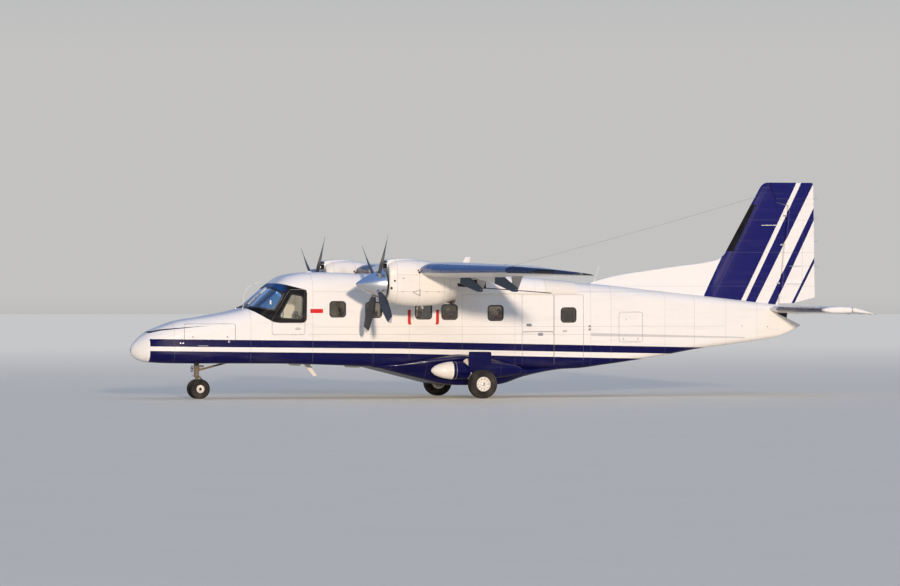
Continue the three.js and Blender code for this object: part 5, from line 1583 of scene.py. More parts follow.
for tag, sg in (("left", -1), ("right", 1)):
    at = (X(PROP_S), sg * ENGINE_Y, PROP_Z)

    def put(me):
        return moved(me, *at)

    body = f"propeller_{tag}"
    piece(f"blades_{tag}", put(join(hub, *blade_parts)), [BLADE], body, f"propeller_{tag}", angle=40)
    piece(f"blade_boots_{tag}", put(join(*boots_parts)), [BLADE_BACK], body, angle=40)
    piece(f"blade_tips_{tag}", put(join(*tip_parts)), [BLADE_TIP], body, angle=40)
    piece(f"blade_cuffs_{tag}", put(join(*cuff_parts)), [STEEL], body, angle=40)
    piece(f"spinner_skin_{tag}", put(spinner_mesh), [POLISHED, STEEL, DARK], body, f"spinner_{tag}", angle=40)
    screws = []
    for k in range(24):
        a = 2 * math.pi * (k + 0.5) / 24
        screws.append(rod((0.121, 0.326 * math.cos(a), 0.326 * math.sin(a)), (0.121 + 0.0001, 0.3325 * math.cos(a), 0.3325 * math.sin(a)), 0.0055, n=10, index=0))
    piece(f"spinner_screws_{tag}", put(join(*screws)), [STEEL], body)

    def shift(me, dy=sg * ENGINE_Y):
        return moved(me, dy=dy)

    outer = nac_loft(5.245, 6.845, 0.0, 0, lip=0.030)
    inner = nac_loft(5.285, 6.815, 0.014, 1)
    bearing = rod((X(5.20), 0, PROP_Z), (X(5.40), 0, PROP_Z), 0.270, n=72, index=2, chamfer=0.0001)
    ex_hole = rod((X(6.64), 0, 2.290), (X(6.90), 0, 2.245), 0.118, n=40, index=2, chamfer=0.0001)
    intake_cut = prism(rrect(5.10, 5.44, 2.960, 3.052, 0.012, 4), -0.165, 0.165)
    nac = cut(outer, inner, bearing, ex_hole, intake_cut)
    nac = cut(shift(nac), wing_grown.copy())
    piece(f"nacelle_skin_{tag}", nac, [PAINT_NACELLE, PAINT_INSIDE, EDGE], "airframe", f"nacelle_{tag}", angle=38)

    # air scoop on top of the cowl, its lip, and the dark duct behind it
    rings = []
    for s, hw, z1, r in [(5.236, 0.176, 3.118, 0.050), (5.246, 0.184, 3.128, 0.056), (5.30, 0.190, 3.146, 0.060), (5.45, 0.194, 3.163, 0.065), (5.65, 0.192, 3.168, 0.075), (5.82, 0.180, 3.163, 0.090), (5.95, 0.158, 3.149, 0.10), (6.06, 0.120, 3.131, 0.10), (6.12, 0.070, 3.112, 0.06)]:
        half = [(hw * k / 4 * ((hw - r) / hw), z1) for k in range(4)]
        half += [(hw - r + r * math.sin(math.pi / 2 * k / 8), z1 - r + r * math.cos(math.pi / 2 * k / 8)) for k in range(9)]
        half += [(hw, 2.97), (hw - 0.03, 2.945), (0.0, 2.945)]
        pts = half + [(-a, b) for a, b in half[-2:0:-1]]
        rings.append([(X(s), a, b) for a, b in pts])
    scoop = loft(rings, index=0, cap=2)
    mouth = prism(rrect(5.10, 5.42, 2.966, 3.106, 0.03, 6), -0.158, 0.158)
    scoop = cut(scoop, mouth)
    piece(f"intake_scoop_{tag}", shift(scoop), [PAINT_NACELLE, DARK, DARK], "airframe", angle=40)
    lip = tube([(X(5.238), -0.166, 2.968), (X(5.238), -0.168, 3.06), (X(5.238), -0.150, 3.100), (X(5.238), -0.10, 3.113), (X(5.238), 0.0, 3.115), (X(5.238), 0.10, 3.113), (X(5.238), 0.150, 3.100), (X(5.238), 0.168, 3.06), (X(5.238), 0.166, 2.968)], 0.010, 12)
    piece(f"intake_lip_{tag}", shift(lip), POLISHED, "airframe", angle=60)
    back = rod((X(5.262), 0, PROP_Z), (X(5.266), 0, PROP_Z), 0.268, n=72, index=0, chamfer=0.0005)
    ring_parts = [back, lathe([(0.235, 0.0), (0.262, 0.0), (0.262, 0.012), (0.235, 0.012)], "x", 72, (X(5.252), 0, PROP_Z), 0)]
    piece(f"nacelle_bulkhead_{tag}", shift(join(*ring_parts)), [DARK], "airframe")

    # exhaust: rolled lip and heat-stained pipe
    pipe = lathe([(0.100, 0.0), (0.108, 0.0), (0.108, 0.195), (0.1125, 0.203), (0.1100, 0.211), (0.1035, 0.208), (0.100, 0.195)], "x", 64, index=0)
    pipe = turned(pipe, Matrix.Translation((X(6.660), 0, 2.286)) @ Matrix.Rotation(R(9.8), 4, "Y"))
    throat = turned(lathe([(0.0, 0.03), (0.099, 0.03), (0.099, 0.04), (0.0, 0.04)], "x", 48, index=1), Matrix.Translation((X(6.660), 0, 2.286)) @ Matrix.Rotation(R(9.8), 4, "Y"))
    piece(f"exhaust_pipe_{tag}", shift(join(pipe, throat)), [BURNT, DARK], "airframe", f"exhaust_{tag}", angle=40)
    shroud = turned(lathe([(0.119, 0.0), (0.126, -0.004), (0.131, 0.010), (0.127, 0.030), (0.120, 0.036)], "x", 64, index=0), Matrix.Translation((X(6.792), 0, 2.2635)) @ Matrix.Rotation(R(9.8), 4, "Y"))
    piece(f"exhaust_collar_{tag}", shift(shroud), [BURNT], "airframe", angle=40)

    # latches, cooling inlets, drains
    bits = []
    for sgn in (-1, 1):
        for s in (5.55, 5.80, 6.10, 6.38):
            w = float(pchip(NAC[:, 0], NAC[:, 1], s))
            y = sgn * w
            bits.append(boxm(X(s) - 0.026, X(s) + 0.026, y - 0.004, y + 0.004, 2.412, 2.430, 0))
        for s, z, r in ((5.90, 2.895, 0.020), (5.36, 2.66, 0.024)):
            w = float(pchip(NAC[:, 0], NAC[:, 1], s))
            bits.append(rod((X(s), sgn * (w - 0.02), z), (X(s), sgn * (w + 0.004), z), r, n=28, index=3))
    piece(f"cowl_latches_{tag}", shift(join(*bits)), [STEEL, STEEL, STEEL, DARK], "airframe")
    mast = loft([[(X(s) + a * c, b * t, z) for a, b in [(math.cos(q), math.sin(q)) for q in [2 * math.pi * k / 16 for k in range(16)]]] for s, z, c, t in ((6.10, 2.120, 0.034, 0.012), (6.115, 2.070, 0.030, 0.010), (6.13, 2.035, 0.024, 0.008))], index=0, cap=0)
    piece(f"drain_mast_{tag}", shift(mast), STEEL, "airframe")

STEEL_ENGINE = metal("engine_castings", (0.36, 0.37, 0.38), 0.5, 0.8, (1, 1, 1), 24.0, (0.12, 0.09, 0.06), 0.5, 0.15)


# ------------------------------------------------------------------ tail
def rudder_hinge(z):
    return 15.691 + 0.1094 * (z - 2.131)


FIN_ROWS = [[2.050, 13.650, 16.600, 0.075], [3.340, 14.345, 16.580, 0.085], [4.860, 15.215, 16.560, 0.090], [4.905, 15.250, 16.556, 0.087],
            [4.940, 15.290, 16.549, 0.076], [4.962, 15.330, 16.542, 0.060], [4.974, 15.368, 16.533, 0.040], [4.980, 15.405, 16.520, 0.016]]


def fin_row(z, rows=FIN_ROWS):
    i = 0
    while i < len(rows) - 2 and rows[i + 1][0] <= z:
        i += 1
    a, b = np.array(rows[i]), np.array(rows[i + 1])
    z_, le, te, t = a + (b - a) * ((z - a[0]) / (b[0] - a[0]))
    return [z, le, 0.0, te, 0.0, t, 0.0]


def up_to_top(z0):
    top = [4.860, 4.905, 4.940, 4.962, 4.974, 4.980]
    n = 9
    return [z0 + (4.860 - z0) * k / n for k in range(n)] + top


def aft_of_hinge(ahead):
    return prism([(rudder_hinge(1.0) - ahead, 1.0), (17.5, 1.0), (17.5, 6.0), (rudder_hinge(6.0) - ahead, 6.0)], -0.4, 0.4, 2)


fin_full = loft([foil_ring(fin_row(z), vertical=True, n=30) for z in up_to_top(2.05)], index=0, cap=0)
DORSAL_ROWS = np.array([[10.980, 2.560, 2.632, 0.070], [11.300, 2.520, 2.722, 0.062], [11.710, 2.480, 2.812, 0.055], [12.450, 2.400, 2.920, 0.052], [13.190, 2.330, 3.022, 0.050], [13.800, 2.270, 3.098, 0.052],
                        [14.120, 2.230, 3.168, 0.055], [14.250, 2.220, 3.232, 0.055], [14.350, 2.210, 3.330, 0.055], [14.500, 2.200, 3.560, 0.055], [15.300, 2.120, 3.560, 0.060]])


def dorsal_ring(s):
    zb, zt, h = [float(pchip(DORSAL_ROWS[:, 0], DORSAL_ROWS[:, k], s)) for k in (1, 2, 3)]
    half = []
    for k in range(9):
        a = math.pi / 2 * k / 8
        half.append((h * 0.55 * math.sin(a), zt - 0.030 + 0.030 * math.cos(a)))
    for k in range(1, 11):
        q = k / 10
        half.append((h * (0.55 + 1.05 * q * q), zt - 0.030 + (zb - zt + 0.030) * q))
    pts = half + [(-a, b) for a, b in half[-1:0:-1]]
    return [(X(s), a, b) for a, b in pts]


ds = sorted({round(10.98 + (14.0 - 10.98) * k / 26, 4) for k in range(27)} | {round(14.0 + 0.5 * k / 20, 4) for k in range(21)} | {14.9, 15.3})
dorsal = loft([dorsal_ring(s) for s in ds], index=0, cap=0)
horn_gap = prism([(15.360, 5.1), (15.600, 4.512), (15.930, 4.420), (17.5, 4.420), (17.5, 5.1)], -0.4, 0.4, 2)
fin_mesh = add(cut(fin_full.copy(), aft_of_hinge(0.060), horn_gap), dorsal)
fin_mesh = cut(fin_mesh, fus(10.5, 16.2, -0.0006))
piece("fin_skin", fin_mesh, [PAINT_FIN, PAINT_FIN, EDGE], "airframe", "fin", angle=34)

rud_main = loft([foil_ring(fin_row(z), s_from=rudder_hinge(z) - 0.042, nose=True, vertical=True, n=18) for z in up_to_top(2.150)], index=0, cap=0)
horn = both(fin_full.copy(), prism([(15.380, 5.1), (15.614, 4.526), (15.930, 4.438), (16.25, 4.438), (16.25, 5.1)], -0.4, 0.4, 0))
rud = cut(add(rud_main, horn), prism([(15.98, 1.9), (17.0, 1.9), (17.0, 2.380), (16.02, 2.151), (15.98, 2.149)], -0.4, 0.4, 0))


def rudder_lines(nt, x, y, z):
    """Rudder seams, with the outline of its trim tab."""
    _, d = lines_at(z, [2.55, 3.02, 3.34, 4.10, 4.60], 0.003)
    _, e = lines_at(x - z * 0.02, [X(16.27) - 0.06], 0.003)
    e = e + z.gt(4.10) + z.lt(2.55)
    d = d.min(e)
    return d.lt(0.0034), d


PAINT_RUDDER = paint("enamel_rudder", fin_layers, rudder_lines, lambda nt, x, y, z: dots(x, z, 0.42, 0.030, 0.0032), dirt=0.2, rough=0.36)
piece("rudder_skin", rud, [PAINT_RUDDER, PAINT_RUDDER, EDGE], "rudder", "rudder", angle=34)

# rudder fittings: hinge arms, tab rods and wicks
arms = []
for z in (2.62, 3.52, 4.20):
    s = rudder_hinge(z)
    for sg in (-1, 1):
        row = fin_row(z)
        c = row[3] - row[1]
        y = sg * (c * row[5] * half_thick((s - 0.07 - row[1]) / c) + 0.008)
        arms.append(prism(rounded([(s - 0.15, z - 0.014), (s - 0.062, z - 0.022), (s - 0.062, z + 0.022), (s - 0.15, z + 0.014)], 0.008, 3), y - 0.006, y + 0.002, 0))
piece("rudder_hinge_covers", join(*arms), [STEEL], "airframe")
tabs = []
for (s0, s1, z) in ((15.93, 16.24, 3.02), (15.86, 16.22, 2.60)):
    for sg in (-1,):
        row = fin_row(z)
        c = row[3] - row[1]
        y0 = c * row[5] * half_thick((s0 - row[1]) / c)
        y1 = c * row[5] * half_thick((s1 - row[1]) / c)
        tabs.append(tube([(X(s0), sg * (y0 + 0.020), z), (X((s0 + s1) / 2), sg * (y0 + 0.030), z + 0.002), (X(s1), sg * (y1 + 0.020), z)], 0.006, 10))
        for s, y in ((s0, y0), (s1, y1)):
            tabs.append(rod((X(s), sg * (y - 0.004), z), (X(s), sg * (y + 0.030), z), 0.010, 0.007, n=14))
piece("rudder_tab_rods", join(*tabs), [CHROME], "rudder")
wk = []
for z in (3.0, 3.6, 4.15, 4.6):
    row = fin_row(z)
    wk.append(tube([(X(row[3] - 0.012), 0, z), (X(row[3] + 0.05), 0, z + 0.004), (X(row[3] + 0.10), 0, z + 0.010)], [0.0035, 0.0015], 8))
piece("rudder_wicks", join(*wk), DARK, "rudder")

# slender blade antennas on both sides of the fin
rods = []
for (s0, s1, z, y) in ((15.02, 15.60, 3.975, 0.0),):
    for sg in (-1, 1):
        row = fin_row(z)
        c = row[3] - row[1]
        y = c * row[5] * half_thick((15.34 - row[1]) / c)
        rods.append(rod((X(15.34), sg * (y - 0.01), z), (X(15.34), sg * (y + 0.10), z), 0.010, 0.008, n=14))
        rods.append(tube([(X(15.18), sg * (y + 0.10), z - 0.001), (X(15.34), sg * (y + 0.102), z), (X(15.56), sg * (y + 0.10), z + 0.002)], 0.0085, 10))
piece("fin_towel_rails", join(*rods), [paint("enamel_antenna", base=(0.76, 0.73, 0.68), dirt=0.3)], "airframe")

# fin leading-edge boot
zs = [3.365, 3.6, 3.9, 4.2, 4.455]
piece("fin_boot", leading_boot([fin_row(z) for z in zs], [0.072, 0.070, 0.068, 0.066, 0.064], [0.072, 0.070, 0.068, 0.066, 0.064], 0.0022, "", "", None, vertical=True), [BOOT_FIN], "airframe", angle=50)

# tailplane and elevators
STAB_HALF, STAB_Z = 3.225, 2.010
ELEV_PIVOT, ELEV_DROOP, ELEV_IN = (16.270, 2.006), 11.0, 0.392


def stab_row(y):
    t = (STAB_HALF - abs(y)) / (STAB_HALF - 0.120)
    a = np.array([15.500, 2.002, 16.768, 2.002, 0.11, 0.0])
    b = np.array([15.350, 2.010, 16.768, 2.010, 0.12, 0.0])
    r = a + (b - a) * t
    return [y] + [float(v) for v in r]


def stab_tip_rows(s_front=True):
    """Rows from root to tip (y positive), the last ones closing the tip in a soft curve."""
    rows = [stab_row(y) for y in (0.120, 0.39, 0.8, 1.2, 1.6, 2.0, 2.4, 2.8, 3.1)]
    for y, dl, k in ((3.165, 0.004, 0.99), (3.195, 0.016, 0.93), (3.212, 0.036, 0.80), (3.221, 0.062, 0.58), (3.225, 0.10, 0.25)):
        r = stab_row(y)
        r[1] += dl
        r[3] -= dl * 0.25
        r[5] *= k
        rows.append(r)
    return rows


full = loft([foil_ring(r, n=30) for r in stab_tip_rows()], index=0, cap=0)
stab = cut(both(full, sbox(15.0, 16.190, -BIG, BIG, 0, 6)), fus(14.9, 16.3, -0.0006))
elev_rows = []
for r in stab_tip_rows():
    if r[0] < ELEV_IN + 0.02:
        continue
    elev_rows.append(r)
elev_rows = [stab_row(ELEV_IN)] + elev_rows
elev = loft([foil_ring(r, s_from=16.205, nose=True, n=16) for r in elev_rows], index=0, cap=0)
px, pz = X(ELEV_PIVOT[0]), ELEV_PIVOT[1]
elev = turned(elev, Matrix.Translation((px, 0, pz)) @ Matrix.Rotation(R(ELEV_DROOP), 4, "Y") @ Matrix.Translation((-px, 0, -pz)))


def tail_lines(nt, x, y, z):
    _, d = lines_at(y.abs(), [0.42, 1.10, 1.75, 2.40, 3.06], 0.003)
    _, e = lines_at(x, [X(15.62), X(16.0)], 0.003)
    d = d.min(e)
    return d.lt(0.003), d


PAINT_TAIL = paint("enamel_tailplane", None, tail_lines, lambda nt, x, y, z: dots(x, y, 0.19, 0.030, 0.0032), dirt=0.35)


def elevator_lines(nt, x, y, z):
    _, d = lines_at(y.abs(), [0.75, 1.25, 1.90, 2.55], 0.003)
    _, e = lines_at(x, [X(16.55)], 0.003)
    e = e + y.abs().lt(0.75) + y.abs().gt(1.90)
    d = d.min(e)
    return d.lt(0.003), d


PAINT_ELEV = paint("enamel_elevator", None, elevator_lines, lambda nt, x, y, z: dots(x, y, 0.40, 0.030, 0.0032), dirt=0.35)
root_boot_y = [0.62, 1.2, 1.8, 2.4, 2.8, 3.10]
for tag, sg in (("left", -1), ("right", 1)):
    def side(me, s=sg):
        return me if s > 0 else mirror_y(me)

    piece(f"tailplane_skin_{tag}", side(stab), [PAINT_TAIL, PAINT_TAIL, EDGE], "airframe", f"tailplane_{tag}", angle=36)
    piece(f"elevator_skin_{tag}", side(elev), [PAINT_ELEV, PAINT_ELEV, EDGE], f"elevator_{tag}", f"elevator_{tag}", angle=36)
    boot = leading_boot([stab_row(y) for y in root_boot_y], [0.085] * 6, [0.085] * 6, 0.0022, "", "", None)
    piece(f"tailplane_boot_{tag}", side(boot), [BOOT], "airframe", angle=50)
    wk = []
    for y in (1.6, 2.3, 2.8, 3.12):
        a = (16.768 - 0.012 - ELEV_PIVOT[0])
        for_pts = []
        for d, dz in ((-0.012, 0.0), (0.05, -0.004), (0.10, -0.012)):
            s, z = 16.768 + d - ELEV_PIVOT[0], STAB_Z - 0.006 + dz - ELEV_PIVOT[1]
            c, q = math.cos(R(ELEV_DROOP)), math.sin(R(ELEV_DROOP))
            for_pts.append((X(ELEV_PIVOT[0] + s * c + z * q), y, ELEV_PIVOT[1] + z * c - s * q))
        wk.append(tube(for_pts, [0.0035, 0.0015], 8))
    piece(f"elevator_wicks_{tag}", side(join(*wk)), DARK, f"elevator_{tag}")
    hinge = []
    for y in (0.55, 1.65, 2.75):
        hinge.append(prism(rounded([(16.10, 1.950), (16.22, 1.938), (16.285, 1.955), (16.285, 1.975), (16.19, 1.985), (16.10, 1.985)], 0.010, 3), y - 0.007, y + 0.007, 0))
    piece(f"elevator_hinge_arms_{tag}", side(join(*hinge)), [STEEL], "airframe")


# ------------------------------------------------------------------ belly fairing, pods and landing gear
BELLY = np.array([
    [5350, 755, 450, 800, 560, 850], [5620, 692, 560, 752, 680, 810], [5850, 635, 620, 760, 775, 840], [6300, 525, 680, 808, 880, 880], [6700, 427, 740, 862, 975, 930],
    [7212, 313, 820, 925, 1080, 980], [7500, 287, 850, 950, 1130, 1010], [7900, 287, 860, 900, 1150, 990], [8450, 298, 820, 795, 1100, 920], [9150, 482, 660, 612, 840, 690],
    [9700, 590, 580, 680, 760, 690], [10300, 668, 520, 745, 690, 760]], float) / 1000


def belly_ring(s):
    zb, b, zc, wc, zt = [float(pchip(BELLY[:, 0], BELLY[:, k], s)) for k in range(1, 6)]
    # one side from the keel to the top, with soft corners
    pts = [(b * k / 5, zb) for k in range(5)]
    corner = rounded([(0.0, zb), (b, zb), (wc, zc - 0.060), (wc, zc), (0.640, zt), (0.0, zt)], [0.0, 0.16, 0.045, 0.050, 0.0, 0.0], 7)
    pts = [(0.0, zb), (b * 0.25, zb), (b * 0.5, zb)] + [p for p in corner if p[0] > b * 0.55 and p[1] < zt - 1e-6 or (p[0] > b * 0.55 and abs(p[1] - zt) < 1e-6)]
    pts += [(0.42, zt), (0.2, zt), (0.0, zt)]
    full = pts + [(-a, z) for a, z in pts[-2:0:-1]]
    return [(X(s), a, z) for a, z in full]


bs = [5.35 + (10.30 - 5.35) * k / 70 for k in range(71)]
rings = [belly_ring(s) for s in bs]
counts = {len(r) for r in rings}
if len(counts) > 1:
    raise RuntimeError(f"belly rings differ: {counts}")
core = loft(rings, index=0, cap=0)
POD_Y, POD_Z, POD_X = 1.165, 0.632, 7.282


def smooth_profile(points, n=36):
    r = [p[0] for p in points]
    d = [p[1] for p in points]
    return [(max(float(pchip(d, r, d[0] + (d[-1] - d[0]) * k / n)), 0.0), d[0] + (d[-1] - d[0]) * k / n) for k in range(n + 1)]


def pod_body(sg):
    prof = [(0.0, 0.0)] + smooth_profile([(0.205, 0.0), (0.2055, 0.25), (0.205, 0.50), (0.190, 0.90), (0.140, 1.30), (0.060, 1.60), (0.0, 1.65)])
    return lathe(prof, "x", 72, (X(POD_X), sg * POD_Y, POD_Z), 0)


def cone_body(sg, grow=0.0):
    prof = [(0.0, -0.550 - grow), (0.020, -0.546 - grow)] + [(r + grow, d) for r, d in smooth_profile([(0.036, -0.539), (0.098, -0.470), (0.148, -0.350), (0.184, -0.205), (0.2045, -0.045), (0.2055, -0.0006)], 30)]
    prof = prof + [(0.0, -0.0006)]
    return lathe(prof, "x", 72, (X(POD_X), sg * POD_Y, POD_Z), 0)


def leg_at(t):
    return (7.520 + 0.192 * t, -1.238 - 0.124 * t, 0.870 - 0.285 * t)


socket = bar(leg_at(-0.002), leg_at(1.4), 0.066, n=40, index=2)
belly = cut(core, cone_body(-1, 0.002), cone_body(1, 0.002))
belly = add(belly, pod_body(-1), pod_body(1))
belly = cut(belly, fus(5.2, 10.5, -0.0006), socket, mirror_y(socket))
piece("belly_fairing_skin", belly, [PAINT_BLUE, PAINT_INSIDE, DARK], "airframe", "belly_fairing", angle=34)


def cone_lines(nt, x, y, z):
    _, d = lines_at(x, [X(POD_X) - 0.060], 0.003)
    return d.lt(0.003), d


def cone_layers(nt, x, y, z, vec):
    return [(x.gt(X(POD_X) - 0.060), BLUE)]


PAINT_CONE = paint("enamel_pod_nose", cone_layers, cone_lines, None, base=(0.80, 0.765, 0.70), dirt=0.9, rough=0.4)

# ring of a polygon in the side view, bevelled at its outer face
def plate(poly, y0, y1, bevel=0.004, index=0):
    """Side plate with a chamfer round the face at y0."""
    n = len(poly)
    s = 1 if y1 > y0 else -1
    small = inset(poly, bevel)
    rings = [[(X(a), y0, b) for a, b in small], [(X(a), y0 + s * bevel, b) for a, b in poly], [(X(a), y1, b) for a, b in poly]]
    return loft(rings, index=index, cap=index)


def bolts(center, axis_y, radius, count, r, h, phase=0.0, index=0):
    """Bolt heads in a ring about a wheel axis, standing proud along y."""
    out = []
    x0, y0, z0 = center
    for k in range(count):
        a = 2 * math.pi * (k + phase) / count
        x, z = x0 + radius * math.cos(a), z0 + radius * math.sin(a)
        out.append(rod((x, y0 - axis_y * 0.004, z), (x, y0 + axis_y * h, z), r, r * 0.92, n=6, index=index))
        out.append(rod((x, y0 + axis_y * h * 0.9, z), (x, y0 + axis_y * (h + 0.006), z), r * 0.5, n=10, index=index))
    return out


MAIN_S, MAIN_R, MAIN_Y = 7.800, 0.325, 1.650
NOSE_S, NOSE_R, STEER_S, NOSE_Y = 1.580, 0.2225, 1.535, 0.125


def tyre(rim_r, shoulder, max_w, crown_r, crown_w, bead_w, grooves, groove_w, groove_d, n=120):
    """Tyre of revolution about y, centred at the origin: rounded sidewalls and grooved crown."""
    side_pts = [(rim_r, bead_w), (rim_r + 0.010, bead_w + 0.010)]
    mid_r = rim_r + (crown_r - rim_r) * 0.42
    for k in range(1, 16):
        t = k / 16
        a = -math.pi / 2 + math.pi * t
        # superellipse from bead to shoulder
        rr = rim_r + (crown_r - rim_r) * (0.5 + 0.5 * math.sin(a))
        ww = crown_w + (max_w - crown_w) * max(0.0, math.cos(a)) ** 0.75
        if t < 0.5:
            ww = bead_w + (max_w - bead_w) * max(0.0, math.cos(a)) ** 0.70
        side_pts.append((rr, ww))
    # crown arc, with grooves, from +crown_w to -crown_w
    crown = []
    m = 48
    for k in range(m + 1):
        w = crown_w * (1 - 2 * k / m)
        r = crown_r - (crown_r * 0.035) * (abs(w) / crown_w) ** 2.6
        crown.append((r, w))
    cut_pts = []
    for g in sorted(grooves, reverse=True):
        cut_pts.append(g)
    prof = []
    for r, w in side_pts:
        prof.append((r, w))
    last = None
    for r, w in crown:
        d = 0.0
        for g in grooves:
            if abs(w - g) < groove_w:
                d = groove_d
        if last is not None and (d > 0) != (last[2] > 0):
            wb = (last[1] + w) / 2
            prof.append((last[0] - last[2], wb + 0.0004))
            prof.append((r - d, wb - 0.0004))
        prof.append((r - d, w))
        last = (r, w, d)
    for r, w in reversed(side_pts):
        prof.append((r, -w))
    prof.append((rim_r - 0.0, 0.0))
    return lathe(prof, "y", n, (0, 0, 0), 0)


main_tyre = tyre(0.166, 0, 0.107, 0.325, 0.074, 0.080, [-0.050, -0.025, 0.0, 0.025, 0.050], 0.0032, 0.007)
nose_tyre = tyre(0.092, 0, 0.077, 0.2225, 0.050, 0.055, [-0.030, 0.0, 0.030], 0.0030, 0.006, n=96)


def rim_mesh(profile, n=96):
    return lathe(profile, "y", n, (0, 0, 0), 0)


def smooth_closed(points, r, n=4):
    return rounded(points, r, n)


# main rim: the dished outer face is towards +y here
main_rim = rim_mesh(smooth_closed([(0.0355, -0.060), (0.080, -0.060), (0.120, -0.084), (0.165, -0.084), (0.1655, 0.084), (0.150, 0.084), (0.141, 0.060), (0.135, 0.040), (0.112, 0.031), (0.090, 0.034), (0.082, 0.044), (0.070, 0.062), (0.0355, 0.062)],
                                  [0.002, 0.006, 0.006, 0.003, 0.004, 0.005, 0.012, 0.008, 0.010, 0.008, 0.006, 0.006, 0.002]))
rim_holes = []
for k in range(10):
    a = 2 * math.pi * k / 10
    rim_holes.append(rod((0.116 * math.cos(a), 0.0, 0.116 * math.sin(a)), (0.116 * math.cos(a), 0.09, 0.116 * math.sin(a)), 0.0115, n=18, index=2))
main_rim = cut(main_rim, *rim_holes)
hub_bits = [lathe([(0.0, 0.050), (0.034, 0.052), (0.040, 0.066), (0.038, 0.076), (0.026, 0.081), (0.0, 0.082)], "y", 48, (0, 0, 0), 1),
            lathe([(0.144, 0.0835), (0.152, 0.0835), (0.1545, 0.0865), (0.152, 0.089), (0.146, 0.0885)], "y", 96, (0, 0, 0), 0)]
hub_bits += bolts((0, 0.0325, 0), 1, 0.100, 10, 0.0075, 0.010, 0.5, 1)
hub_bits += bolts((0, 0.0600, 0), 1, 0.0555, 6, 0.0050, 0.006, 0.5, 1)
hub_bits.append(rod((0.143, 0.070, 0.0), (0.158, 0.094, 0.0), 0.0045, 0.0035, n=10, index=1))
inner_drum = [lathe([(0.118, -0.080), (0.150, -0.080), (0.150, -0.030), (0.118, -0.030)], "y", 96, (0, 0, 0), 1)]
nose_rim = rim_mesh(smooth_closed([(0.0, -0.045), (0.050, -0.045), (0.060, -0.058), (0.091, -0.058), (0.0915, 0.058), (0.080, 0.058), (0.074, 0.040), (0.070, 0.026), (0.048, 0.022), (0.044, 0.036), (0.036, 0.044), (0.0, 0.044)],
                                  [0.0, 0.004, 0.004, 0.002, 0.003, 0.004, 0.005, 0.007, 0.007, 0.004, 0.004, 0.0]), 72)
nose_hub_bits = [lathe([(0.0, 0.043), (0.020, 0.043), (0.021, 0.050), (0.013, 0.0535), (0.0, 0.054)], "y", 36, (0, 0, 0), 3)]
nose_hub_bits += bolts((0, 0.0235, 0), 1, 0.059, 8, 0.0045, 0.006, 0.25, 1)
nose_hub_bits.append(lathe([(0.0, 0.0440), (0.034, 0.0440), (0.034, 0.0455), (0.0, 0.0455)], "y", 48, (0, 0, 0), 3))

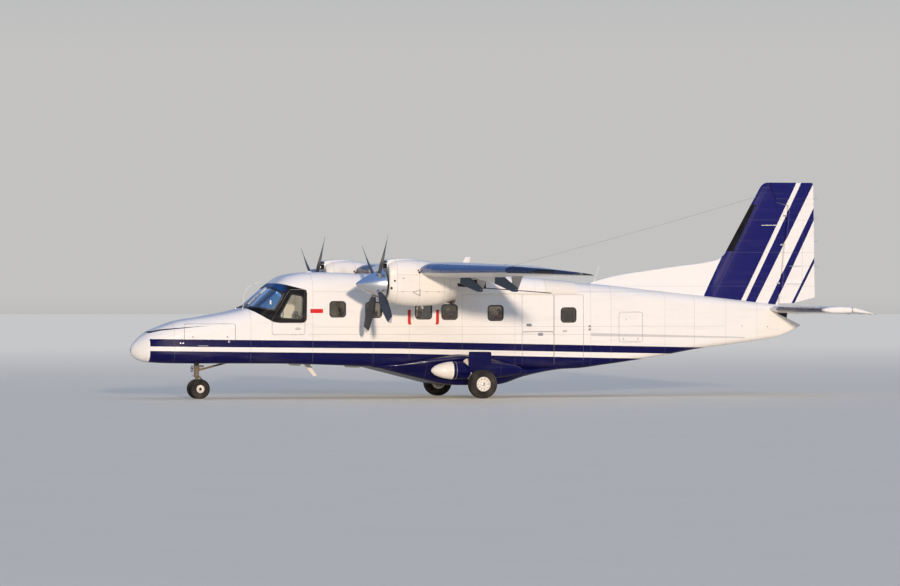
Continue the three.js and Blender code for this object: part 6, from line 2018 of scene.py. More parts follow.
LEG_GRIME = rubber("hydraulic_hose", (0.03, 0.03, 0.032), 0.5, (0.2, 0.17, 0.14), 0.3, 90.0)
for tag, sg in (("left", -1), ("right", 1)):
    def port(me, s=sg):
        return me if s < 0 else mirror_y(me)

    piece(f"pod_nose_skin_{tag}", cone_body(sg), [PAINT_CONE], "airframe", f"pod_nose_{tag}", angle=40)
    # strip round the joint of the pod nose
    strip = lathe([(0.2040, 0.0), (0.2066, 0.002), (0.2066, 0.014), (0.2040, 0.016)], "x", 96, (X(POD_X) + 0.002, sg * POD_Y, POD_Z), 0)
    piece(f"pod_joint_{tag}", strip, [STEEL], "airframe")

    # leg: cylinder, gland, slider, trailing arm, axle, brake, side stay and links
    leg = [bar(leg_at(0), leg_at(1), 0.062, 0.058, n=40), bar(leg_at(0.10), leg_at(0.16), 0.0650, n=40), bar(leg_at(0.90), leg_at(1.02), 0.0640, n=40)]
    leg += [bar((7.712, -1.362, 0.585), (7.775, -1.445, 0.380), 0.044, n=36, index=1)]
    leg += [bar((7.767, -1.436, 0.420), (7.780, -1.452, 0.352), 0.052, n=36), bar((7.775, -1.440, 0.400), (MAIN_S, -1.455, MAIN_R), 0.050, n=36)]
    leg += [rod((X(MAIN_S), -1.400, MAIN_R), (X(MAIN_S), -1.722, MAIN_R), 0.034, n=40, index=2)]
    brake = lathe([(0.0, -1.440), (0.060, -1.440), (0.066, -1.446), (0.108, -1.452), (0.115, -1.460), (0.115, -1.505), (0.110, -1.512), (0.0, -1.512)], "y", 64, (X(MAIN_S), 0, MAIN_R), 3)
    leg += [brake]
    for k in range(8):
        a = 2 * math.pi * (k + 0.5) / 8
        x, z = X(MAIN_S) + 0.090 * math.cos(a), MAIN_R + 0.090 * math.sin(a)
        leg.append(rod((x, -1.428, z), (x, -1.455, z), 0.014, 0.016, n=16, index=2))
    leg += [bar((7.640, -1.380, 0.600), (7.545, -1.420, 0.455), 0.016, n=20, index=2), bar((7.545, -1.420, 0.455), (7.770, -1.440, 0.360), 0.016, n=20, index=2)]
    leg += [bar((7.545, -1.396, 0.455), (7.545, -1.444, 0.455), 0.021, n=20, index=2), bar((7.640, -1.352, 0.602), (7.640, -1.402, 0.602), 0.021, n=20, index=2)]
    leg += [sbox(7.600, 8.040, -1.420, -1.395, 0.640, 0.665, index=0), sbox(7.640, 7.700, -1.420, -1.340, 0.630, 0.675, index=0)]
    leg += [sbox(7.600, 7.625, -1.4203, -1.398, 0.560, 1.030, index=0), sbox(7.985, 8.010, -1.4203, -1.398, 0.640, 1.030, index=0), sbox(7.600, 8.010, -1.4203, -1.398, 0.960, 0.985, index=0)]
    leg += [bar((7.700, -1.345, 0.965), (7.640, -1.402, 0.972), 0.013, n=16, index=0), bar((7.560, -1.262, 0.845), (7.612, -1.400, 0.930), 0.015, n=16, index=0)]
    piece(f"main_leg_detail_{tag}", port(join(*leg)), [LEG_PAINT, CHROME, STEEL, BURNT], "airframe", f"main_leg_{tag}", angle=40)
    hoses = [tube([(X(7.575), -1.318, 0.80), (X(7.60), -1.360, 0.70), (X(7.66), -1.412, 0.585), (X(7.70), -1.450, 0.50), (X(7.735), -1.462, 0.43), (X(7.765), -1.447, 0.375)], 0.008, 10),
             tube([(X(7.655), -1.305, 0.80), (X(7.70), -1.352, 0.69), (X(7.755), -1.400, 0.60), (X(7.815), -1.440, 0.50), (X(7.835), -1.446, 0.43), (X(7.828), -1.444, 0.385)], 0.006, 10)]
    piece(f"brake_hoses_{tag}", port(join(*hoses)), [LEG_GRIME], "airframe")

    door = [(7.548, 1.050), (8.086, 1.045), (8.086, 0.640), (8.000, 0.560), (7.640, 0.560), (7.548, 0.640)]
    door_mesh = plate(rounded(door[::-1], [0.03, 0.03, 0.03, 0.03, 0.02, 0.02], 5), -1.4340, -1.4204, 0.004, 0)
    ribs = [sbox(7.58, 8.05, -1.4204, -1.4160, z, z + 0.012, index=1) for z in (0.735, 0.83, 0.905)]
    ribs = [sbox(7.640, 7.970, -1.4206, -1.4164, z, z + 0.012, index=1) for z in (0.735, 0.83, 0.905)]
    piece(f"gear_door_skin_{tag}", port(join(door_mesh, *ribs)), [PAINT_BLUE_PLAIN, LEG_PAINT], "airframe", f"gear_door_{tag}", angle=40)
    edge_seal = plate(rounded([(7.560, 1.060), (7.560, 1.049), (8.070, 1.044), (8.070, 1.055)], 0.003, 2), -1.432, -1.422, 0.002, 0)
    piece(f"gear_door_seal_{tag}", port(edge_seal), [SEAL], "airframe")

    wheel_body = f"main_wheel_{tag}"
    put = (X(MAIN_S), sg * MAIN_Y, MAIN_R)
    rim = join(main_rim, *hub_bits, *inner_drum)
    rim = rim if sg > 0 else mirror_y(rim)
    piece(f"main_rim_detail_{tag}", moved(rim, *put), [WHEEL, STEEL, DARK], wheel_body, f"main_rim_{tag}", angle=36)
    piece(f"main_tyre_detail_{tag}", moved(main_tyre, *put), [TYRE], wheel_body, f"main_tyre_{tag}", angle=42)

    nput = (X(NOSE_S), sg * NOSE_Y, NOSE_R)
    piece(f"nose_tyre_detail_{tag}", moved(nose_tyre, *nput), [TYRE], "nose_wheel", f"nose_tyre_{tag}", angle=42)

nr = join(nose_rim, *nose_hub_bits)
rims = [moved(nr, dy=NOSE_Y), moved(mirror_y(nr), dy=-NOSE_Y), rod((0, -0.10, 0), (0, 0.10, 0), 0.019, n=28, index=1)]
piece("nose_rims_detail", moved(join(*rims), X(NOSE_S), 0, NOSE_R), [WHEEL, STEEL, DARK, DARK], "nose_wheel", "nose_rims", angle=36)

# nose leg: cylinder, drag stay, cross tube, steering jack
leg = cut(join(bar((STEER_S, 0, 0.560), (STEER_S, 0, 1.0595), 0.055, 0.060, n=40)), bar((STEER_S, 0, 0.5), (STEER_S, 0, 0.7), 0.039, n=40, index=2))
parts = [leg, bar((STEER_S + 0.052, 0, 0.6473), (2.380, 0, 0.850), 0.022, n=28), bar((2.380, -0.090, 0.850), (2.380, 0.090, 0.850), 0.030, n=28), sbox(2.350, 2.410, -0.020, 0.020, 0.850, 1.0595, index=0)]
parts += [cut(bar((STEER_S, 0, z0), (STEER_S, 0, z1), r, n=40), bar((STEER_S, 0, 0.5), (STEER_S, 0, 0.70), 0.039, n=40, index=2)) for z0, z1, r in ((0.566, 0.590, 0.063), (0.690, 0.715, 0.064), (0.780, 0.800, 0.064))]
parts += [prism(rounded([(STEER_S + 0.02, 0.615), (STEER_S + 0.105, 0.640), (STEER_S + 0.105, 0.685), (STEER_S + 0.02, 0.705)], 0.01, 3), -0.028, -0.012, 0),
          prism(rounded([(STEER_S + 0.02, 0.615), (STEER_S + 0.105, 0.640), (STEER_S + 0.105, 0.685), (STEER_S + 0.02, 0.705)], 0.01, 3), 0.012, 0.028, 0)]
for sg in (-1, 1):
    parts.append(rod((X(STEER_S) - 0.02, sg * 0.085, 0.735), (X(STEER_S) + 0.15, sg * 0.085, 0.735), 0.022, n=24))
    parts.append(rod((X(STEER_S) - 0.11, sg * 0.085, 0.735), (X(STEER_S) - 0.02, sg * 0.085, 0.735), 0.011, n=18, index=1))
    parts.append(boxm(X(STEER_S) + 0.01, X(STEER_S) + 0.04, min(sg * 0.05, sg * 0.09), max(sg * 0.05, sg * 0.09), 0.722, 0.748, 0))
parts += [bar((STEER_S + 0.30, 0.012, 0.722), (STEER_S + 0.62, 0.012, 0.800), 0.012, n=18, index=1)]
piece("nose_leg_detail", join(*parts), [NOSE_LEG_PAINT, CHROME, DARK], "airframe", "nose_leg", angle=40)

# fork: chromed slider, collar, swept leg, bearing, torque links, towing lugs
fork = [rod((X(STEER_S), 0, 0.540), (X(STEER_S), 0, 0.690), 0.0375, n=40, index=1),
        lathe([(0.0, 0.492), (0.050, 0.492), (0.062, 0.502), (0.062, 0.548), (0.054, 0.556), (0.0, 0.556)], "z", 48, (X(STEER_S), 0, 0), 0),
        bar((STEER_S, 0, 0.520), (1.574, 0, 0.262), 0.040, 0.035, n=36),
        cut(lathe([(0.0, -0.040), (0.043, -0.040), (0.048, -0.034), (0.048, 0.034), (0.043, 0.040), (0.0, 0.040)], "y", 48, (X(NOSE_S), 0, NOSE_R), 0), rod((X(NOSE_S), -0.06, NOSE_R), (X(NOSE_S), 0.06, NOSE_R), 0.0205, n=28, index=2))]
for sg in (-1, 1):
    fork.append(prism(rounded([(STEER_S + 0.035, 0.500), (STEER_S + 0.055, 0.540), (STEER_S + 0.150, 0.432), (STEER_S + 0.137, 0.414)], 0.008, 3), sg * 0.016, sg * 0.027, 0))
    fork.append(prism(rounded([(STEER_S + 0.137, 0.434), (STEER_S + 0.150, 0.416), (STEER_S + 0.068, 0.318), (STEER_S + 0.045, 0.338)], 0.008, 3), sg * 0.004, sg * 0.015, 0))
    fork.append(rod((X(STEER_S) - 0.062, sg * 0.018, 0.520), (X(STEER_S) - 0.088, sg * 0.018, 0.520), 0.010, n=14, index=2))
fork.append(rod((X(STEER_S) + 0.143, -0.034, 0.424), (X(STEER_S) + 0.143, 0.034, 0.424), 0.010, n=16, index=2))
fork.append(rod((X(STEER_S) + 0.048, -0.036, 0.518), (X(STEER_S) + 0.048, 0.036, 0.518), 0.010, n=16, index=2))
fork.append(rod((X(STEER_S) - 0.084, -0.030, 0.520), (X(STEER_S) - 0.084, 0.030, 0.520), 0.007, n=14, index=2))
piece("nose_fork_detail", join(*fork), [NOSE_LEG_PAINT, CHROME, STEEL], "nose_steering", "nose_fork", angle=40)
hose = [tube([(X(STEER_S) + 0.058, 0.040, 0.74), (X(STEER_S) + 0.075, 0.045, 0.68), (X(STEER_S) + 0.078, 0.042, 0.62)], 0.007, 10)]
piece("nose_leg_hose", join(*hose), [LEG_GRIME], "airframe")
piece("taxi_lamp_bowl", join(lathe([(0.0, 0.052), (0.030, 0.050), (0.050, 0.034), (0.060, 0.006), (0.062, 0.0), (0.055, 0.0), (0.052, 0.008), (0.040, 0.030), (0.0, 0.040)], "x", 48, (X(STEER_S) - 0.125, 0, 0.660), 0),
                             boxm(X(STEER_S) - 0.082, X(STEER_S) - 0.050, -0.012, 0.012, 0.650, 0.670, 0)), [POLISHED], "airframe", angle=45)
piece("taxi_lamp_glass", lathe([(0.0, -0.012), (0.030, -0.009), (0.054, 0.001), (0.054, 0.004), (0.0, 0.004)], "x", 48, (X(STEER_S) - 0.125, 0, 0.660), 0), [LENS_CLEAR], "airframe", angle=60)


# ------------------------------------------------------------------ interior
def cushion(sx, sy, sz, steps, voxel=0.012, cap=0.022):
    """Padded block about the origin: soft box, blown up a little by cloth pressure, with a cap on how far a point moves."""
    bm = bmesh.new()
    bmesh.ops.create_cube(bm, size=1.0)
    bmesh.ops.subdivide_edges(bm, edges=bm.edges[:], cuts=7, use_grid_fill=True)
    for v in bm.verts:
        p = v.co * 2
        q = Vector((p.x, p.y, p.z))
        # superellipsoid shape with tight corners
        n = (abs(q.x) ** 6 + abs(q.y) ** 6 + abs(q.z) ** 6) ** (1 / 6)
        q = q / n if n > 1 else q
        pull = 1 - 0.05 * (abs(q.x) * abs(q.y)) ** 2
        v.co = Vector((q.x * sx / 2 * pull, q.y * sy / 2 * pull, q.z * sz / 2))
    me = bpy.data.meshes.new("cushion")
    bm.to_mesh(me)
    bm.free()
    ob = bpy.data.objects.new("cushion", me)
    scene.collection.objects.link(ob)
    mod = ob.modifiers.new("r", "REMESH")
    mod.mode, mod.voxel_size, mod.use_smooth_shade = "VOXEL", voxel, True
    dg = bpy.context.evaluated_depsgraph_get()
    dg.update()
    base = bpy.data.meshes.new_from_object(ob.evaluated_get(dg))
    ob.modifiers.clear()
    ob.data = base
    start = np.empty(len(base.vertices) * 3, np.float32)
    base.vertices.foreach_get("co", start)
    start = start.reshape(-1, 3)
    cl = ob.modifiers.new("c", "CLOTH")
    st = cl.settings
    st.quality = 5
    st.mass = 0.3
    st.tension_stiffness = st.compression_stiffness = 12
    st.shear_stiffness = 6
    st.bending_stiffness = 0.8
    st.use_pressure = True
    st.uniform_pressure_force = 4.0
    st.effector_weights.gravity = 0.0
    cl.collision_settings.use_collision = False
    cl.point_cache.frame_start, cl.point_cache.frame_end = 1, steps
    for f in range(1, steps + 1):
        scene.frame_set(f)
    dg = bpy.context.evaluated_depsgraph_get()
    out = bpy.data.meshes.new_from_object(ob.evaluated_get(dg))
    scene.frame_set(1)
    end = np.empty(len(out.vertices) * 3, np.float32)
    out.vertices.foreach_get("co", end)
    end = end.reshape(-1, 3)
    ob.modifiers.clear()
    move = end - start
    size = np.linalg.norm(move, axis=1, keepdims=True)
    move = move * np.minimum(1.0, cap / np.maximum(size, 1e-9))
    final = start + move
    out.vertices.foreach_set("co", final.astype(np.float32).ravel())
    out.update()
    bpy.data.objects.remove(ob)
    out.materials.clear()
    for d in DUMMY:
        out.materials.append(d)
    out.polygons.foreach_set("material_index", np.zeros(len(out.polygons), np.int32))
    return out


def sewn(me, axis, positions, depth, width):
    """Sewn channels: points near each position are drawn in along the surface normal."""
    P = np.empty(len(me.vertices) * 3, np.float32)
    me.vertices.foreach_get("co", P)
    P = P.reshape(-1, 3)
    N = np.empty(len(me.vertices) * 3, np.float32)
    me.vertices.foreach_get("normal", N)
    N = N.reshape(-1, 3)
    d = np.zeros(len(P))
    for p in positions:
        d = np.maximum(d, np.exp(-((P[:, axis] - p) / width) ** 2))
    P -= N * (d * depth)[:, None]
    me.vertices.foreach_set("co", P.astype(np.float32).ravel())
    me.update()
    return me


def place(me, x, y, z, tilt=0.0):
    return turned(me, Matrix.Translation((x, y, z)) @ Matrix.Rotation(R(tilt), 4, "Y"))


def padded(name, me, mat, body="airframe"):
    ob = piece(name, me, [mat], body, angle=70)
    return ob


SEAT_W = 0.385
base_pad = sewn(cushion(0.330, SEAT_W, 0.070, 14), 1, [-0.095, 0.095], 0.009, 0.011)
back_pad = sewn(cushion(0.062, SEAT_W, 0.530, 14), 2, [-0.14, -0.01, 0.12], 0.008, 0.011)
head_pad = cushion(0.062, 0.250, 0.100, 12, cap=0.014)

# crew seats
for tag, yc in (("left", -0.300), ("right", 0.300)):
    padded(f"crew_seat_cushion_{tag}", place(base_pad, X(3.735), yc, 1.214, 2), SEAT_GREY)
    padded(f"crew_seat_back_{tag}", place(back_pad, X(3.945), yc, 1.570, 4), SEAT_GREY)
    padded(f"crew_seat_headrest_{tag}", place(head_pad, X(3.962), yc, 1.925, 4), SEAT_GREY)
frames = []
for yc in (-0.300, 0.300):
    frames.append(boxm(X(3.580), X(3.900), yc - 0.190, yc + 0.190, 1.136, 1.152, 0))
    for y in (yc - 0.120, yc + 0.120):
        frames.append(boxm(X(3.500), X(3.990), y - 0.012, y + 0.012, 0.862, 0.892, 0))
        frames.append(tube([(X(3.70), y, 0.885), (X(3.72), y, 1.02), (X(3.76), y, 1.145)], 0.014, 12))
        frames.append(tube([(X(3.93), y, 0.885), (X(3.90), y, 1.02), (X(3.86), y, 1.145)], 0.014, 12))
        frames.append(tube([(X(3.955), y, 1.15), (X(3.985), y, 1.50), (X(4.005), y, 1.86)], 0.011, 12))
    frames.append(tube([(X(4.005), yc - 0.120, 1.86), (X(4.008), yc, 1.868), (X(4.005), yc + 0.120, 1.86)], 0.011, 12))
    for y in (yc - 0.045, yc + 0.045):
        frames.append(rod((X(3.968), y, 1.84), (X(3.964), y, 1.90), 0.006, n=12))
    for sgn in (-1, 1):
        frames.append(tube([(X(3.95), yc + sgn * 0.215, 1.40), (X(3.80), yc + sgn * 0.218, 1.41), (X(3.68), yc + sgn * 0.215, 1.405)], 0.016, 12))
piece("crew_seat_frames", join(*frames), [PANEL_GREY], "airframe", "cockpit_seats")
belts = []
for yc in (-0.300, 0.300):
    for sgn in (-1, 1):
        pts = [(3.912, 1.86), (3.898, 1.75), (3.880, 1.55), (3.868, 1.36), (3.850, 1.290), (3.800, 1.276)]
        ring = []
        for i, (s, z) in enumerate(pts):
            y = yc + sgn * (0.075 + 0.02 * i / 5)
            ring.append([(X(s), y - 0.022, z), (X(s) - 0.002, y - 0.022, z + 0.002), (X(s) - 0.002, y + 0.022, z + 0.002), (X(s), y + 0.022, z)])
        belts.append(loft(ring, index=0, cap=0))
    belts.append(boxm(X(3.785), X(3.815), yc - 0.03, yc + 0.03, 1.274, 1.290, 1))
WEBBING = plastic("harness_webbing", (0.06, 0.06, 0.065), 0.85, 700.0, 0.4, 0.6)
piece("crew_harness", join(*belts), [WEBBING, STEEL], "airframe")

# instrument panel with hood, dials, radios and pedestal
board = [(2.660, 1.935), (2.960, 1.962), (3.030, 1.905), (3.012, 1.500), (2.980, 1.500), (2.980, 1.560), (2.660, 1.560)]
panel = both(prism(rounded(board, [0.01, 0.03, 0.01, 0.01, 0.01, 0.01, 0.01], 3), -0.600, 0.600, 0), fus(2.58, 4.07, WALL + 0.004, 0))
hood = [(2.640, 1.948), (2.950, 1.978), (3.040, 1.962), (3.075, 1.915), (3.068, 1.905), (3.030, 1.935), (2.950, 1.960), (2.640, 1.930)]
hood = both(prism(rounded(hood, [0.0, 0.05, 0.02, 0.004, 0.004, 0.02, 0.05, 0.0], 4), -0.600, 0.600, 3), fus(2.58, 4.07, WALL + 0.004, 3))
parts = [panel, hood]


def face_x(z):
    return X(3.012 + (3.030 - 3.012) * (z - 1.50) / 0.405)


dials = []
for yc in (-0.330, 0.330):
    for k in range(3):
        for j in range(2):
            y, z, r = yc + (k - 1) * 0.098, 1.805 - j * 0.100, 0.041
            x = face_x(z)
            dials.append(lathe([(r - 0.006, -0.004), (r, -0.004), (r + 0.001, 0.006), (r - 0.003, 0.009), (r - 0.006, 0.006)], "x", 36, (x, y, z), 1))
            dials.append(lathe([(0.0, -0.003), (r - 0.005, -0.003), (r - 0.005, 0.002), (0.0, 0.002)], "x", 36, (x, y, z), 0))
            a = R(40 + 97 * (k + 3 * j) % 300)
            dials.append(tube([(x + 0.0045, y - 0.3 * r * math.cos(a), z - 0.3 * r * math.sin(a)), (x + 0.0045, y + 0.72 * r * math.cos(a), z + 0.72 * r * math.sin(a))], [0.0020, 0.0008], 6, 2, smooth=False))
            for q in range(12):
                b = 2 * math.pi * q / 12
                dials.append(tube([(x + 0.0025, y + 0.70 * r * math.cos(b), z + 0.70 * r * math.sin(b)), (x + 0.0025, y + 0.84 * r * math.cos(b), z + 0.84 * r * math.sin(b))], 0.0009, 4, 2, smooth=False))
for k in range(4):
    for j in range(3):
        y, z, r = -0.105 + k * 0.070, 1.845 - j * 0.068, 0.026
        x = face_x(z)
        dials.append(lathe([(r - 0.004, -0.004), (r, -0.004), (r + 0.001, 0.005), (r - 0.004, 0.006)], "x", 28, (x, y, z), 1))
        dials.append(lathe([(0.0, -0.003), (r - 0.003, -0.003), (r - 0.003, 0.002), (0.0, 0.002)], "x", 28, (x, y, z), 0))
        a = R(120 + 60 * k + 35 * j)
        dials.append(tube([(x + 0.004, y, z), (x + 0.004, y + 0.7 * r * math.cos(a), z + 0.7 * r * math.sin(a))], [0.0016, 0.0007], 6, 2, smooth=False))
for j in range(4):
    z = 1.640 - j * 0.036
    x = face_x(z)
    dials.append(boxm(x - 0.004, x + 0.006, -0.130, 0.130, z - 0.016, z + 0.016, 1))
    dials.append(boxm(x + 0.005, x + 0.0075, -0.075, 0.075, z - 0.009, z + 0.009, 0))
    for y in (-0.108, 0.108):
        dials.append(rod((x + 0.004, y, z), (x + 0.018, y, z), 0.009, 0.007, n=18, index=1))
for k in range(14):
    y = -0.52 + k * 0.030 if k < 7 else 0.34 + (k - 7) * 0.030
    x = face_x(1.585)
    dials.append(rod((x - 0.002, y, 1.585), (x + 0.016, y, 1.590), 0.0035, 0.0025, n=8, index=2))
piece("instrument_board", join(*parts), [PANEL_GREY, PANEL_GREY, PANEL_GREY, plastic("glareshield", (0.018, 0.018, 0.019), 0.9, 220.0, 0.3, 0.5)], "airframe", "instrument_panel", angle=40)
piece("instruments", join(*dials), [DIAL, BEZEL, LABEL_WHITE], "airframe")
ped = [prism(rounded([(3.000, 0.862), (3.430, 0.862), (3.420, 1.050), (3.300, 1.300), (3.060, 1.520), (3.000, 1.520)], 0.02, 4), -0.130, 0.130, 0)]
levers = []
for k, (y, lean) in enumerate(((-0.065, 0.02), (-0.035, 0.03), (0.0, -0.01), (0.030, 0.015), (0.060, 0.02))):
    levers.append(tube([(X(3.20), y, 1.34), (X(3.215) + lean, y, 1.43), (X(3.235) + lean, y, 1.485)], 0.004, 8, 0))
    levers.append(rod((X(3.225) + lean, y - 0.010, 1.492), (X(3.225) + lean, y + 0.010, 1.492), 0.012, n=16, index=1))
levers.append(lathe([(0.055, -0.008), (0.062, -0.006), (0.064, 0.0), (0.062, 0.006), (0.055, 0.008)], "y", 40, (X(3.27), -0.138, 1.16), 1))
piece("centre_pedestal", join(*ped), [PANEL_GREY], "airframe")
piece("engine_levers", join(*levers), [STEEL, BEZEL], "airframe")
yokes, grips = [], []
for yc in (-0.300, 0.300):
    yokes.append(tube([(X(3.16), yc, 0.870), (X(3.19), yc, 1.08), (X(3.235), yc, 1.30), (X(3.275), yc, 1.435)], 0.019, 16))
    yokes.append(rod((X(3.262), yc, 1.435), (X(3.310), yc, 1.442), 0.030, 0.026, n=24))
    yokes.append(lathe([(0.0, 0.0), (0.045, 0.0), (0.050, 0.012), (0.032, 0.030), (0.0, 0.034)], "z", 28, (X(3.16), yc, 0.862)))
    for sgn in (-1, 1):
        grips.append(tube([(X(3.305), yc, 1.440), (X(3.312), yc + sgn * 0.070, 1.432), (X(3.318), yc + sgn * 0.135, 1.452), (X(3.322), yc + sgn * 0.155, 1.505), (X(3.322), yc + sgn * 0.148, 1.560)], 0.0125, 14))
    for sgn in (-1, 1):
        yokes.append(boxm(X(2.955), X(2.968), yc + sgn * 0.075 - 0.045, yc + sgn * 0.075 + 0.045, 0.94, 1.03, 0))
        yokes.append(tube([(X(2.95), yc + sgn * 0.075, 0.985), (X(2.90), yc + sgn * 0.075, 1.05), (X(2.86), yc + sgn * 0.075, 1.12)], 0.009, 10))
piece("control_columns", join(*yokes), [BEZEL], "airframe")
piece("yoke_grips", join(*grips), [DIAL], "airframe")

# cabin: bulkhead and seats
bulk = [both(prism([(4.075, FLOOR_Z + 0.001), (4.095, FLOOR_Z + 0.001), (4.095, 2.70), (4.075, 2.70)], y0, y1, 0), fus(4.06, 4.2, WALL + 0.003, 0)) for y0, y1 in ((-0.9, -0.24), (0.24, 0.9))]
piece("cockpit_bulkhead", join(*bulk), [LINING], "airframe")
seats, backs, heads, legs_ = [], [], [], []
rows = [(4.83, -1), (4.83, 1), (5.60, -1), (5.60, 1), (6.36, -1), (6.36, 1), (7.12, -1), (7.12, 1), (7.88, -1), (7.88, 1), (8.64, -1), (8.64, 1), (9.40, 1), (10.12, 1)]
TRIM_SHELL = plastic("seat_shell", (0.34, 0.32, 0.29), 0.5, 120.0)
for s, sg in rows:
    y = sg * 0.455
    seats.append(place(base_pad, X(s), y, 1.252, 3))
    backs.append(place(back_pad, X(s + 0.215), y, 1.640, 9))
    heads.append(place(head_pad, X(s + 0.272), y, 2.000, 9))
    legs_.append(boxm(X(s - 0.19), X(s + 0.20), y - 0.185, y + 0.185, 1.170, 1.188, 0))
    for dy in (-0.15, 0.15):
        legs_.append(tube([(X(s - 0.14), y + dy, 0.868), (X(s - 0.08), y + dy, 1.02), (X(s - 0.12), y + dy, 1.172)], 0.012, 10, 1))
        legs_.append(tube([(X(s + 0.17), y + dy, 0.868), (X(s + 0.10), y + dy, 1.02), (X(s + 0.15), y + dy, 1.172)], 0.012, 10, 1))
        legs_.append(boxm(X(s - 0.22), X(s + 0.24), y + dy - 0.012, y + dy + 0.012, 0.8605, 0.870, 1))
    shell_back = place(loft([[(a * 0.008 + 0.047, b, z) for a, b in ((-1, -w), (1, -w), (1, w), (-1, w))] for z, w in ((-0.30, 0.19), (-0.1, 0.195), (0.2, 0.190), (0.36, 0.165))], index=0, cap=0), X(s + 0.218), y, 1.630, 9)
    legs_.append(shell_back)
    inner = sg * 0.235
    legs_.append(tube([(X(s + 0.18), inner, 1.44), (X(s + 0.02), inner, 1.455), (X(s - 0.13), inner, 1.445)], 0.018, 12, 0))
    legs_.append(tube([(X(s + 0.12), inner, 1.18), (X(s + 0.10), inner, 1.44)], 0.012, 10, 1, smooth=False))
padded("cabin_seat_cushions", join(*seats), SEAT_RED)
padded("cabin_seat_backs", join(*backs), SEAT_RED)
padded("cabin_seat_headrests", join(*heads), SEAT_TAN)
piece("cabin_seat_frames", join(*legs_), [TRIM_SHELL, STEEL], "airframe")


# ------------------------------------------------------------------ aerials, lights and small fittings
def low_z(s):
    return float(section(np.array([float(s)]))[2][0])


def skin_y(s, z):
    """Half width of the body at a station and height."""
    lo, hi = 0.0, 0.95
    for _ in range(40):
        m = (lo + hi) / 2
        if fus_field(np.array([[X(s), m, z]]))[0] < 0:
            lo = m
        else:
            hi = m
    return lo


def roof_z(s, y):
    """Height of the body's top at a station and distance from the middle."""
    lo, hi = 1.2, 3.2
    for _ in range(40):
        m = (lo + hi) / 2
        if fus_field(np.array([[X(s), y, m]]))[0] < 0:
            lo = m
        else:
            hi = m
    return lo


WHITE_AERIAL = plastic("aerial_white", (0.76, 0.72, 0.65), 0.42, 60.0, 0.06, 0.2)


def blade_aerial(s0, s1, z0, s2, s3, z1, y=0.0, t=0.012, lean=0.0):
    """Swept aerofoil blade from a root chord s0..s1 at z0 to a tip chord s2..s3 at z1."""
    rings = []
    steps = [0.0, 0.03, 0.10, 0.30, 0.55, 0.78, 0.93, 1.0]
    for f in steps:
        a, b, z = s0 + (s2 - s0) * f, s1 + (s3 - s1) * f, z0 + (z1 - z0) * f
        w = t * (1.25 if f == 0 else 1.05 if f < 0.05 else 1 - 0.45 * f) * (0.25 if f == 1.0 else 1)
        if f == 1.0:
            a, b = a + 0.004, b - 0.004
        ring = []
        for k in range(24):
            u = 2 * math.pi * k / 24
            cx = (a + b) / 2 + (b - a) / 2 * math.cos(u)
            fx_ = (cx - a) / max(b - a, 1e-6)
            th = w * 2.6 * math.sqrt(max(fx_, 0)) * (1 - fx_) + 0.0006
            ring.append((X(cx), y + lean * f + (th if math.sin(u) >= 0 else -th) * min(1.0, abs(math.sin(u)) * 3), z))
        rings.append(ring)
    return loft(rings, index=0, cap=0)


def foot(s, y, z, a, b, h, index=1):
    rings = []
    for f, g in ((-1.5, 1.06), (0.0, 1.03), (0.5, 1.0), (1.0, 0.92)):
        rings.append([(X(s) + a * g * math.cos(2 * math.pi * k / 28), y + b * g * math.sin(2 * math.pi * k / 28), z + h * f) for k in range(28)])
    return loft(rings, index=index, cap=index)


aer = [blade_aerial(7.74, 7.99, 2.846, 7.935, 8.055, 3.215, 0.0, 0.016), foot(7.865, 0.0, 2.842, 0.150, 0.045, 0.007)]
aer += [blade_aerial(4.06, 4.21, 0.772, 4.285, 4.375, 0.500, 0.0, 0.012), foot(4.135, 0.0, 0.772, 0.105, 0.036, -0.006)]
piece("blade_aerials", join(*aer), [WHITE_AERIAL, SEAL], "airframe")

# low plate aerials under the body, and a dome on the cockpit roof
flat = []
for s0, s1, w in ((3.70, 4.00, 0.050), (5.02, 5.42, 0.055)):
    rings = []
    for f in np.linspace(0, 1, 17):
        s = s0 + (s1 - s0) * f
        zb = low_z(s)
        e = math.sqrt(max(0.0, 1 - (2 * f - 1) ** 6)) * 0.98 + 0.02
        rings.append([(X(s), w * e * c, zb + d * e) for c, d in ((-1, 0.004), (-1, -0.026), (-0.86, -0.038), (-0.5, -0.043), (0, -0.044), (0.5, -0.043), (0.86, -0.038), (1, -0.026), (1, 0.004))])
    flat.append(loft(rings, index=0, cap=0))
piece("belly_plate_aerials", join(*flat), [WHITE_AERIAL], "airframe")
dome = []
for f, g in ((-0.6, 1.05), (0.0, 1.0), (0.35, 0.96), (0.65, 0.80), (0.85, 0.58), (0.96, 0.30), (1.0, 0.03)):
    dome.append([(X(4.18) + 0.075 * g * math.cos(2 * math.pi * k / 36), 0.060 * g * math.sin(2 * math.pi * k / 36), 2.858 + 0.034 * f) for k in range(36)])
piece("roof_dome_aerial", loft(dome, index=0, cap=0), [WHITE_AERIAL], "airframe")
rods = [tube([(X(11.048), 0.0, 2.590), (X(11.075), 0.0, 2.66), (X(11.135), 0.0, 2.82), (X(11.213), 0.0, 3.03)], [0.011, 0.004], 14, 0),
        foot(11.048, 0.0, 2.590, 0.040, 0.028, 0.010, 1),
        tube([(X(2.545), -0.300, 2.025), (X(2.552), -0.300, 2.20), (X(2.580), -0.300, 2.38), (X(2.672), -0.300, 2.52), (X(2.810), -0.300, 2.600), (X(2.965), -0.300, 2.632)], 0.0058, 12, 0)]
piece("rod_aerials", join(*rods), [WHITE_AERIAL, SEAL], "airframe")
